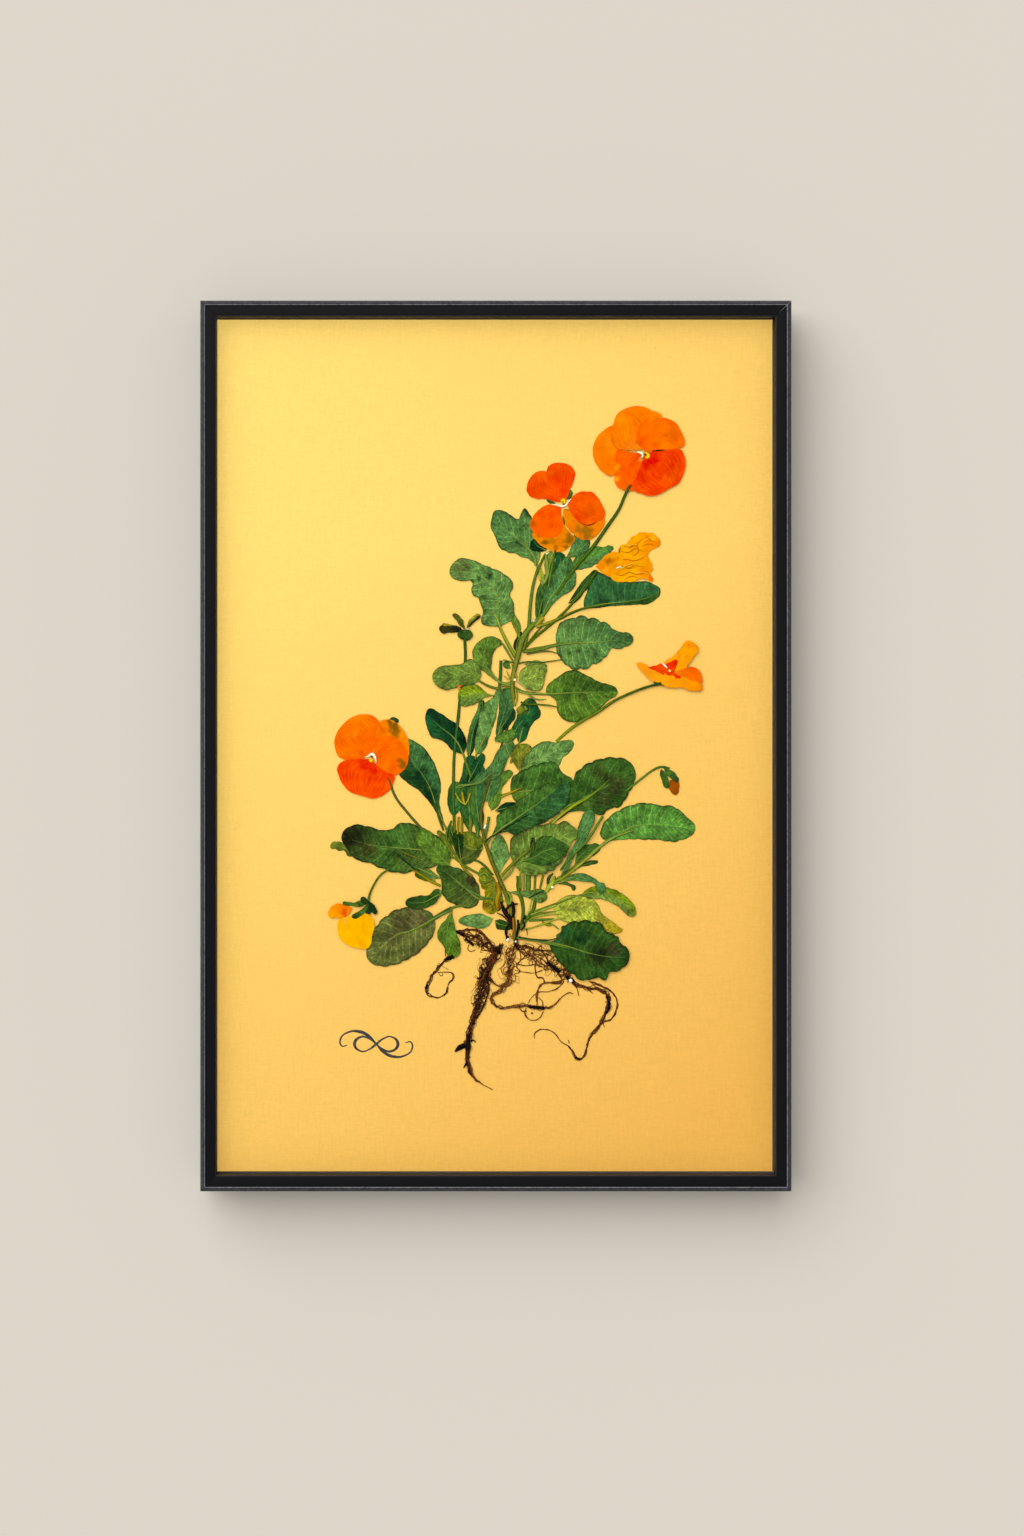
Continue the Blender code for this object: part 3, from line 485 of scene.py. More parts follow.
def bladeBody(shape, seed):
    # one sheet between its margins: places, faces, (along cm, side share) and tint
    ring = smoothLine([shape["base"], *shape["left"], shape["tip"], *reversed(shape["right"]),
        shape["base"]])
    turn = 10 * (len(shape["left"]) + 1)
    left, right = ring[:turn + 1], ring[turn:][::-1]
    length = np.linalg.norm(np.diff(left, axis=0), axis=1).sum()
    rows = int(np.clip(length / blade["rowStep"], 14, 90))
    trim = blade["trim"]
    left, right = (evenly(margin, rows, trim, 1 - trim) for margin in (left, right))
    width = np.linalg.norm(left - right, axis=1).max()
    columns = int(np.clip(width / blade["columnStep"], 6, 24)) // 2 * 2 + 1
    middle = (left + right) / 2
    if "rib" in shape:
        rib = evenly(smoothLine([shape["base"], *shape["rib"], shape["tip"]]), rows, trim, 1 - trim)
    else:
        rib = middle
    share = np.linspace(0, 1, rows)
    wander = shape.get("wander", blade["edgeWander"])
    teeth, depth = shape.get("teeth", (0, 0.0))
    for margin, side in ((left, -1), (right, 1)):
        out = margin - middle
        out /= np.linalg.norm(out, axis=1)[:, None] + 1e-6
        push = grain(margin, 2.6, seed + side) * wander + grain(margin, 0.9, seed - side) * wander * 0.5
        push *= np.sin(np.pi * share) ** 0.4
        if teeth:
            tooth = np.abs(np.sin(share * np.pi * teeth)) ** 0.6 - 0.7
            push += tooth * depth * np.sin(np.pi * share) ** 0.5
        margin += out * push[:, None]
    half = columns // 2
    lanes = []
    for j in range(columns):
        side = (j - half) / half
        lean = abs(side) ** blade["laneSpread"]
        edge = left if side < 0 else right
        lanes.append(rib * (1 - lean) + edge * lean)
    spots = np.stack(lanes, axis=1).reshape(-1, 2)
    lanesAcross = np.linspace(-1, 1, columns)
    sides = np.tile(np.sign(lanesAcross) * np.abs(lanesAcross) ** blade["laneSpread"], rows)
    alongs = np.repeat(share, columns)
    tint = toneAlong(shape["tones"], alongs)
    if "rightTones" in shape:
        other = toneAlong(shape["rightTones"], alongs)
        across = np.clip(sides / 0.12 + 0.5, 0, 1)[:, None]
        tint = tint * (1 - across) + other * across
    for x, z, radius, tone, amount in shape.get("blots", ()):
        away = np.hypot(spots[:, 0] - x, spots[:, 1] - z) / radius
        away += grain(spots, 2.0, seed + 11) * 0.3
        cover = (np.clip(1.6 - 1.4 * away, 0, 1) * amount)[:, None]
        tint = tint * (1 - cover) + toneOf(tone) * cover
    if "edge" in shape:
        cover = (np.clip((np.abs(sides) - 0.8) / 0.2, 0, 1) * 0.8)[:, None]
        tint = tint * (1 - cover) + toneOf(shape["edge"]) * cover
    swell = blade["wave"] * shape.get("wave", 1) * mm
    level = layerFace(shape["layer"]) - grain(spots, 7.0, seed + 3) * swell
    thick = blade["thickness"] / 2 * mm
    near = np.stack([pictureMiddle.x + spots[:, 0] * mm, level - thick, pictureMiddle.z + spots[:, 1] * mm],
        1)
    far = near.copy()
    far[:, 1] += thick * 2
    count = rows * columns
    faces = []
    for i in range(rows - 1):
        for j in range(columns - 1):
            a = i * columns + j
            faces.append((a, a + 1, a + 1 + columns, a + columns))
            faces.append((count + a, count + a + columns, count + a + 1 + columns, count + a + 1))
    rim = list(range(columns)) + [i * columns + columns - 1 for i in range(1, rows)]
    rim += [(rows - 1) * columns + j for j in range(columns - 2, -1, -1)]
    rim += [i * columns for i in range(rows - 2, 0, -1)]
    for a, b in zip(rim, rim[1:] + rim[:1]):
        faces.append((b, a, count + a, count + b))
    area = np.sum(left[:-1, 0] * left[1:, 1] - left[1:, 0] * left[:-1, 1])
    area -= np.sum(right[:-1, 0] * right[1:, 1] - right[1:, 0] * right[:-1, 1])
    if area > 0:
        faces = [face[::-1] for face in faces]
    chart = np.stack([alongs * length / 10, sides], 1)
    return {"spots": np.vstack([near, far]), "faces": faces, "chart": np.vstack([chart, chart]),
            "tint": np.vstack([tint, tint]), "kind": 0}


def cordBody(line, widths, level, height, tones, seed, kind=1, ring=8):
    # a flattened round strand along a line, tapering through its widths
    path = smoothLine(line)
    length = np.linalg.norm(np.diff(path, axis=0), axis=1).sum()
    rows = int(np.clip(length / blade["cordStep"], 6, 200))
    path = evenly(path, rows)
    share = np.linspace(0, 1, rows)
    thick = np.interp(share * (len(widths) - 1), np.arange(len(widths)), widths)
    thick *= 1 + grain(path, 3.0, seed) * 0.07
    lead = np.gradient(path, axis=0)
    lead /= np.linalg.norm(lead, axis=1)[:, None] + 1e-9
    sideways = np.stack([-lead[:, 1], lead[:, 0]], 1)
    turns = np.linspace(0, 2 * np.pi, ring, endpoint=False)
    levels = np.interp(share * (len(level) - 1), np.arange(len(level)), level)
    spots, chart = [], []
    for i in range(rows):
        tall = min(height, thick[i] / 2)
        for turn in turns:
            x, z = path[i] + sideways[i] * math.cos(turn) * thick[i] / 2
            spots.append((pictureMiddle.x + x * mm, levels[i] - math.sin(turn) * tall * mm,
                          pictureMiddle.z + z * mm))
            chart.append((share[i] * length / 10, math.cos(turn)))
    faces = []
    for i in range(rows - 1):
        for k in range(ring):
            a, b = i * ring + k, i * ring + (k + 1) % ring
            faces.append((a, a + ring, b + ring, b))
    faces += [tuple(range(ring)), tuple(range(rows * ring - 1, (rows - 1) * ring - 1, -1))]
    return {"spots": np.array(spots), "faces": faces, "chart": np.array(chart),
            "tint": np.repeat(toneAlong(tones, share), ring, axis=0), "kind": kind}


def joinBodies(name, bodies, materials, replaced=()):
    # several closed bodies as one piece, each with its own material slot
    spots = np.vstack([body["spots"] for body in bodies])
    faces, kinds, start = [], [], 0
    for body in bodies:
        faces += [tuple(start + corner for corner in face) for face in body["faces"]]
        kinds += [body["kind"]] * len(body["faces"])
        start += len(body["spots"])
    mesh = bpy.data.meshes.new(name)
    mesh.from_pydata(spots.tolist(), [], faces)
    mesh.polygons.foreach_set("material_index", kinds)
    tint = np.vstack([body["tint"] for body in bodies])
    rgbaTint = np.hstack([tint, np.ones((len(tint), 1))]).astype(np.float32)
    mesh.color_attributes.new("tint", "FLOAT_COLOR", "POINT").data.foreach_set("color", rgbaTint.ravel())
    chart = np.vstack([body["chart"] for body in bodies])
    corners = np.empty(len(mesh.loops), dtype=np.int32)
    mesh.loops.foreach_get("vertex_index", corners)
    mesh.uv_layers.new(name="bladeChart").data.foreach_set("uv", chart[corners].astype(np.float32).ravel())
    mesh.shade_smooth()
    mesh.set_sharp_from_angle(angle=math.radians(blade["creaseAngle"]))
    return seenPiece(name, mesh, materials, replaced)


def form(layer, base, left, tip, right, tones, **more):
    # a blade by its two margins, both from base to tip, as (x, z) in mm from the sheet's middle
    return dict(more, layer=layer, base=base, left=left, tip=tip, right=right, tones=tones)


# The large leaves. The tones run from base to tip, and a leaf whose right half differs has a second
# run of them. A blot is (x, z, radius, tone, strength). A stalk's points end before the leaf's base.
leaves = {
    "leaf_crown_left": form(0, (21.5, 91), [(19, 93), (15, 95), (10, 97), (4, 99), (1.5, 102), (0.5, 105),
        (-2, 110)], (-1.8, 114), [(23, 96), (23, 104), (20, 111), (18, 116), (15, 119.7), (13.5, 118),
        (12.3, 114.8), (8, 116.6), (5, 118.4), (0.5, 119)], "willow sage", stalk=[(20.6, 86)],
        rib=[(16, 101), (8, 107)], wander=0.3, teeth=(6, 0.7), blots=[(13, 103, 3, "fir", 0.85),
        (20, 101, 3.5, "fir", 0.8), (25, 99, 2.5, "fir", 0.85), (-3, 118, 4, "bottle", 0.5)]),
    "leaf_folded": form(1, (2.4, 60), [(-1, 60.3), (-4.5, 60.6), (-6.8, 61.7), (-6.2, 68), (-8.5, 74),
        (-11.7, 77), (-12, 83), (-17, 83.2), (-21, 84.5)], (-23, 88), [(5, 61.6), (9, 64), (9.8, 68.5),
        (9.3, 72.5), (7.7, 76), (9.2, 81), (7.5, 84.5), (-5, 91), (-17, 94.8), (-19, 94)], "willow",
        stalk=[(10, 44.5), (7, 50), (3.8, 56.5)], rib=[(2, 70), (0, 78), (-8, 86)], wander=0.3,
        blots=[(-17, 90, 6, "drab", 0.7), (-12, 83, 1.6, "ivy", 0.85), (-8, 84, 1.6, "ivy", 0.85),
        (-3, 85, 1.6, "ivy", 0.8), (-6, 89.5, 1.4, "ivy", 0.7), (-2, 86, 1.4, "ivy", 0.7),
        (2, 81.5, 1.4, "ivy", 0.7), (-6, 75, 1.5, "ivy", 0.7), (-5, 68, 1.5, "ivy", 0.7),
        (-4, 62, 1.3, "ivy", 0.6)]),
    "leaf_crown_right": form(0, (38, 89), [(40, 94), (44, 98), (50, 100.4), (55, 100.6), (58, 101.2)],
        (60, 100.3), [(42, 88.8), (47, 90), (52, 92), (57.3, 97)], "jade", stalk=[(33, 80)],
        rib=[(49, 94.5)], rightTones="sage", wander=0.3),
    "leaf_long_right": form(0, (45, 69.4), [(45, 73), (47, 79), (49.5, 85.5), (51, 88), (54, 87),
        (60, 84.5), (68, 82.6), (76, 83), (80, 81.8)], (83.8, 78.5), [(52, 69.6), (60, 70.6), (72, 71.3),
        (79, 72.2)], "bottle", stalk=[(27, 61.5), (33, 64), (40, 67.5)], rib=[(55, 71.5), (68, 73),
        (78, 75)], rightTones="fir grass", blots=[(50, 62, 4, "fir", 0.7), (40, 60, 3.5, "fir", 0.7),
        (60, 67, 3, "fir", 0.6)]),
    "leaf_scalloped_right": form(1, (31, 51), [(30.8, 55), (32, 60), (34.5, 63.3), (37, 63.8), (42, 65.3),
        (46, 65), (52, 63.6), (57.5, 61), (62, 57.5), (66, 57.4)], (70, 54), [(31.3, 47), (34, 43),
        (38.5, 39.2), (45, 38.8), (51, 41.5), (56, 44.8), (58.5, 48.3), (66, 49.8)], "willow sage",
        stalk=[(14, 47.5), (20, 49), (26, 50)], rib=[(50, 52)], teeth=(8, 1.5),
        blots=[(32, 45, 2, "ivy", 0.75), (37, 47, 1.8, "ivy", 0.75), (42, 48, 1.6, "ivy", 0.7),
        (30, 56, 4, "sage", 0.5), (50, 58, 4, "sage", 0.5)]),
    "leaf_pointed_right": form(1, (26, 26), [(26, 29.5), (29, 32.5), (33, 35.5), (40, 38.2), (45, 36.3),
        (52, 32.5)], (62, 27.3), [(30.5, 23), (31.8, 17), (34, 13.6), (38, 12), (44, 12.8), (49, 15.5),
        (57, 22.5)], "meadow laurel", stalk=[(10, 29.5), (14, 27.3), (20, 26.3)], rib=[(38, 26.5)],
        rightTones="meadow", wander=0.3, blots=[(36, 26, 4, "ivy", 0.7), (43, 31, 3, "laurel", 0.6),
        (28, 18, 3, "pear", 0.6), (24, 33, 4, "drab", 0.5), (50, 24, 3, "grass", 0.5)]),
    "leaf_top_left": form(1, (4.5, 31.6), [(0, 33), (-5, 37), (-9, 40), (-11.3, 45), (-10.8, 49),
        (-7.5, 53)], (-3, 55.2), [(1, 33.5), (-1.4, 37), (-1.7, 41.5), (0.5, 49), (3.6, 51.8), (1, 54.5)],
        "fern meadow", stalk=[(9, 32)], rib=[(-3, 38), (-5.5, 45)], wander=0.25),
    "leaf_left_rounded": form(2, (-8, 32.8), [(-12, 30.8), (-17, 30), (-21, 29), (-25, 28.2), (-29, 30)],
        (-31.6, 33.6), [(-7, 36.5), (-12, 43.5), (-17, 41.3), (-22, 40.7), (-28, 39.8), (-31, 37)], "fern",
        stalk=[(2, 28.6), (-3, 30)], wander=0.25),
    "leaf_dark_left": form(1, (-16, -4.5), [(-21.5, -2.5), (-25, 1.5), (-28.5, 3.2), (-32, 4.3),
        (-34.2, 9)], (-35, 16), [(-14.3, 1), (-15.8, 5.8), (-18.5, 10), (-22.5, 13), (-28, 16.5),
        (-33, 18.8)], "fir spruce", stalk=[(-12, -16), (-14.5, -9)], rib=[(-20, 3), (-27, 9)],
        rightTones="pine fir", blots=[(-30, 4, 3, "bottle", 0.5)]),
    "leaf_centre_long": form(0, (-9.5, -5), [(-10.2, 0), (-8.6, 10), (-6.4, 20), (-1.5, 24)], (2.5, 28.6),
        [(-6, -3), (-2.5, 5), (0, 12), (1.6, 20)], "willow", stalk=[(-10, -24), (-10.5, -14)], rib=[(-5, 4),
        (-0.5, 14)], rightTones="sage willow"),
    "leaf_centre_right": form(0, (12, 1), [(10.5, 6), (11, 14), (13.8, 21.5)], (18.3, 24), [(15.5, 3),
        (17, 7), (19.3, 11.5), (23, 15.4), (22, 19.5)], "spruce grass", stalk=[(8, -9), (10, -3)],
        rightTones="spruce", blots=[(18, 20, 4, "fir", 0.6), (22, 12, 4, "fir", 0.6)]),
    "leaf_big_upper": form(0, (8, -24), [(7.9, -20), (8.6, -16.8), (12, -13.6), (20, -10), (31, -8.8),
        (33.6, -13), (36, -15)], (39.2, -17), [(10, -28), (17, -33), (26, -34), (34, -31), (38.4, -26)],
        "grass", stalk=[(-1, -27), (3, -25.5)], rightTones="meadow laurel", teeth=(8, 0.7),
        blots=[(10, -12, 4, "laurel", 0.6), (22, -8, 4, "laurel", 0.6), (18, -20, 4, "laurel", 0.6),
        (30, -14, 4, "laurel", 0.5)]),
    # leaf_big_lower: its four fir blots along the rib are painted shade in the midrib's crease
    "leaf_big_lower": form(3, (-2, -46.5), [(0.6, -40), (0.8, -36.5), (2.5, -34), (8, -30.5), (16, -25),
        (24, -20.5)], (36, -17.5), [(4, -43), (10, -45), (16, -42.6), (25, -38.6), (33, -33.5),
        (37.6, -26)], "grass", stalk=[(-5, -51)], rib=[(12, -36), (22, -29)], rightTones="laurel bottle",
        teeth=(7, 0.5), blots=[(0, -45, 1.6, "fir", 0.8), (6, -40.5, 1.7, "fir", 0.8),
        (15, -35.5, 1.6, "fir", 0.75), (22, -29, 1.5, "fir", 0.7), (24, -14, 5, "bottle", 0.5)]),
    "leaf_right_brown": form(1, (41, -29.4), [(39.3, -20), (40.5, -14.8), (46.5, -9.4), (52, -7.2),
        (60.5, -6), (67, -7.4)], (71, -13), [(46, -31.6), (50, -34.4), (55, -34.8), (58, -31.8),
        (62.5, -31.2), (67, -25.5), (70.6, -18)], "laurel grass", stalk=[(20, -45), (28, -39.3),
        (35, -33.7)], rib=[(35, -33.5), (42, -28.5), (50, -24)], rightTones="laurel", teeth=(8, 0.9),
        blots=[(52, -13, 5, "peat", 0.6), (61, -20, 7, "darkUmber", 0.65), (45, -21, 4, "ivy", 0.6),
        (64, -11, 4, "laurel", 0.6), (55, -28, 5, "darkUmber", 0.6), (47, -30, 3, "moss", 0.4)]),
    "leaf_right_large": form(0, (57, -48.6), [(53.6, -46), (54.6, -40), (60, -34.5), (67, -30.8), (76, -29),
        (83, -30.2), (90, -30.8), (97, -36)], (101.4, -42), [(63, -47.7), (80, -47.6), (94, -48)], "jade",
        stalk=[(28, -70), (36, -64.3), (45, -57.5), (53, -51)], rib=[(65, -43.5), (72, -40.5)],
        teeth=(9, 0.6), blots=[(80, -50, 4, "bottle", 0.5), (60, -38, 5, "willow", 0.4)]),
    "leaf_scalloped_low": form(4, (13, -64), [(8.6, -58), (7.5, -52), (9, -46), (15, -43.4), (20, -41),
        (25, -39.6), (31, -39.4), (36, -38.5), (39.5, -41)], (42.3, -45), [(17, -65.6), (22, -65.5),
        (28, -63.5), (33, -59.4), (36.5, -54), (38.8, -48.8)], "fern", stalk=[(12.8, -72)], wander=0.35,
        teeth=(8, 0.9), blots=[(20, -53, 3, "ivy", 0.6), (30, -60, 4, "bottle", 0.5)]),
    "leaf_left_upright": form(0, (-23.3, -45), [(-31.5, -31), (-38, -23.2), (-44, -19), (-48.4, -14.5),
        (-50, -6)], (-47.5, 3), [(-26.5, -36), (-28, -29), (-27.4, -20), (-29, -13), (-33, -5), (-38, 0.6)],
        "laurel fir", stalk=[(-17, -60), (-20, -52)], rightTones="spruce sage",
        blots=[(-38, -16, 6, "pine", 0.85), (-33, -25, 5, "pine", 0.85), (-44, -6, 4, "sage", 0.4)]),
    "leaf_left_large": form(1, (-22, -56), [(-28, -60), (-40, -63.4), (-48, -64.5), (-55, -63),
        (-63, -59.6), (-71, -57), (-75.5, -51)], (-77.6, -46), [(-27.5, -47), (-33, -43.4), (-40, -40.2),
        (-46, -38.9), (-54, -42.7), (-59, -42.4), (-66, -40.3), (-73, -40.6)], "moss grass peat",
        stalk=[(-8, -65), (-15, -61)], teeth=(9, 0.7), blots=[(-71, -45, 8, "soot", 0.9),
        (-65, -52, 6, "peat", 0.8), (-75.5, -49, 5, "soot", 0.9), (-56, -47, 5, "laurel", 0.5),
        (-46, -57, 6, "peat", 0.6), (-36, -50, 4, "moss", 0.5), (-24, -58, 4, "drab", 0.6)]),
    "leaf_left_low": form(1, (-30.2, -87.6), [(-30.6, -94), (-35, -101), (-42, -107), (-50, -110.5),
        (-57, -111.6)], (-63.6, -109), [(-33, -84), (-38, -82.6), (-46, -82), (-54, -85.4), (-59, -90),
        (-63.4, -98), (-65, -105)], "drab", stalk=[(-14, -81), (-20, -81.5), (-25, -84.2)], rib=[(-40, -93),
        (-50, -96)], teeth=(8, 0.8), blots=[(-47, -90, 6, "darkUmber", 0.8), (-38, -88, 7, "umber", 0.6),
        (-55, -84, 4, "moss", 0.5), (-32, -84, 4, "willow", 0.5), (-52, -98, 4, "umber", 0.5)]),
    "leaf_left_front": form(0, (-7.6, -77.6), [(-9.4, -81), (-14, -82.3), (-19, -81), (-24, -78.3),
        (-26.6, -75), (-27, -69)], (-29, -60.8), [(-7.6, -73), (-9, -69), (-12, -65.6), (-16, -63),
        (-23, -61)], "moss laurel", stalk=[(4, -77), (-2, -77)], rib=[(-14, -73), (-21, -67)],
        teeth=(7, 0.4), blots=[(-12, -68, 3.5, "darkUmber", 0.9), (-20, -60, 4, "bottle", 0.5)]),
    "leaf_dark_low": form(3, (27, -99.6), [(31, -97.6), (31, -95.4), (33.4, -94), (33.6, -91.8),
        (38, -89.6), (44, -88.4), (54, -90.5), (57, -94.5), (62, -96.2), (63, -99.4), (66, -101.4)],
        (68, -107), [(29.4, -105), (34, -111), (40, -116.3), (46, -119), (50, -117.4), (56, -118),
        (58, -114.9), (64, -113)], "ivy laurel ivy", stalk=[(11, -97.2), (20, -98.4)], rib=[(35, -101),
        (48, -105), (60, -107)], teeth=(8, 1.6), blots=[(52, -106, 7, "soot", 0.8),
        (60, -103, 5, "darkUmber", 0.7), (44, -97, 5, "pine", 0.8), (36, -94, 4, "spruce", 0.6),
        (62, -112, 5, "ivy", 0.6), (30, -97, 4, "bottle", 0.6)]),
    "leaf_yellow_green": form(0, (29.5, -84), [(31, -79.6), (35, -76.6), (41, -75.5), (46, -76.6),
        (50.5, -78.6)], (53.4, -85), [(32, -87.2), (36, -89.4), (43, -90), (50, -89.8)], "pear",
        stalk=[(15, -88), (22, -85.2)], blots=[(33.5, -82, 1.2, "moss", 0.8), (40, -83, 1.1, "moss", 0.8),
        (42, -85, 1.1, "moss", 0.7)]),
    "leaf_arc_right": form(1, (43.4, -75.4), [(47, -72.4), (51, -71), (57, -71.8), (63, -74), (68, -78),
        (71, -82)], (70.4, -86.4), [(48, -77.2), (55, -78), (62, -81.3)], "lime", stalk=[(20, -84),
        (31, -80)], rightTones="fern leek", wander=0.25),
}


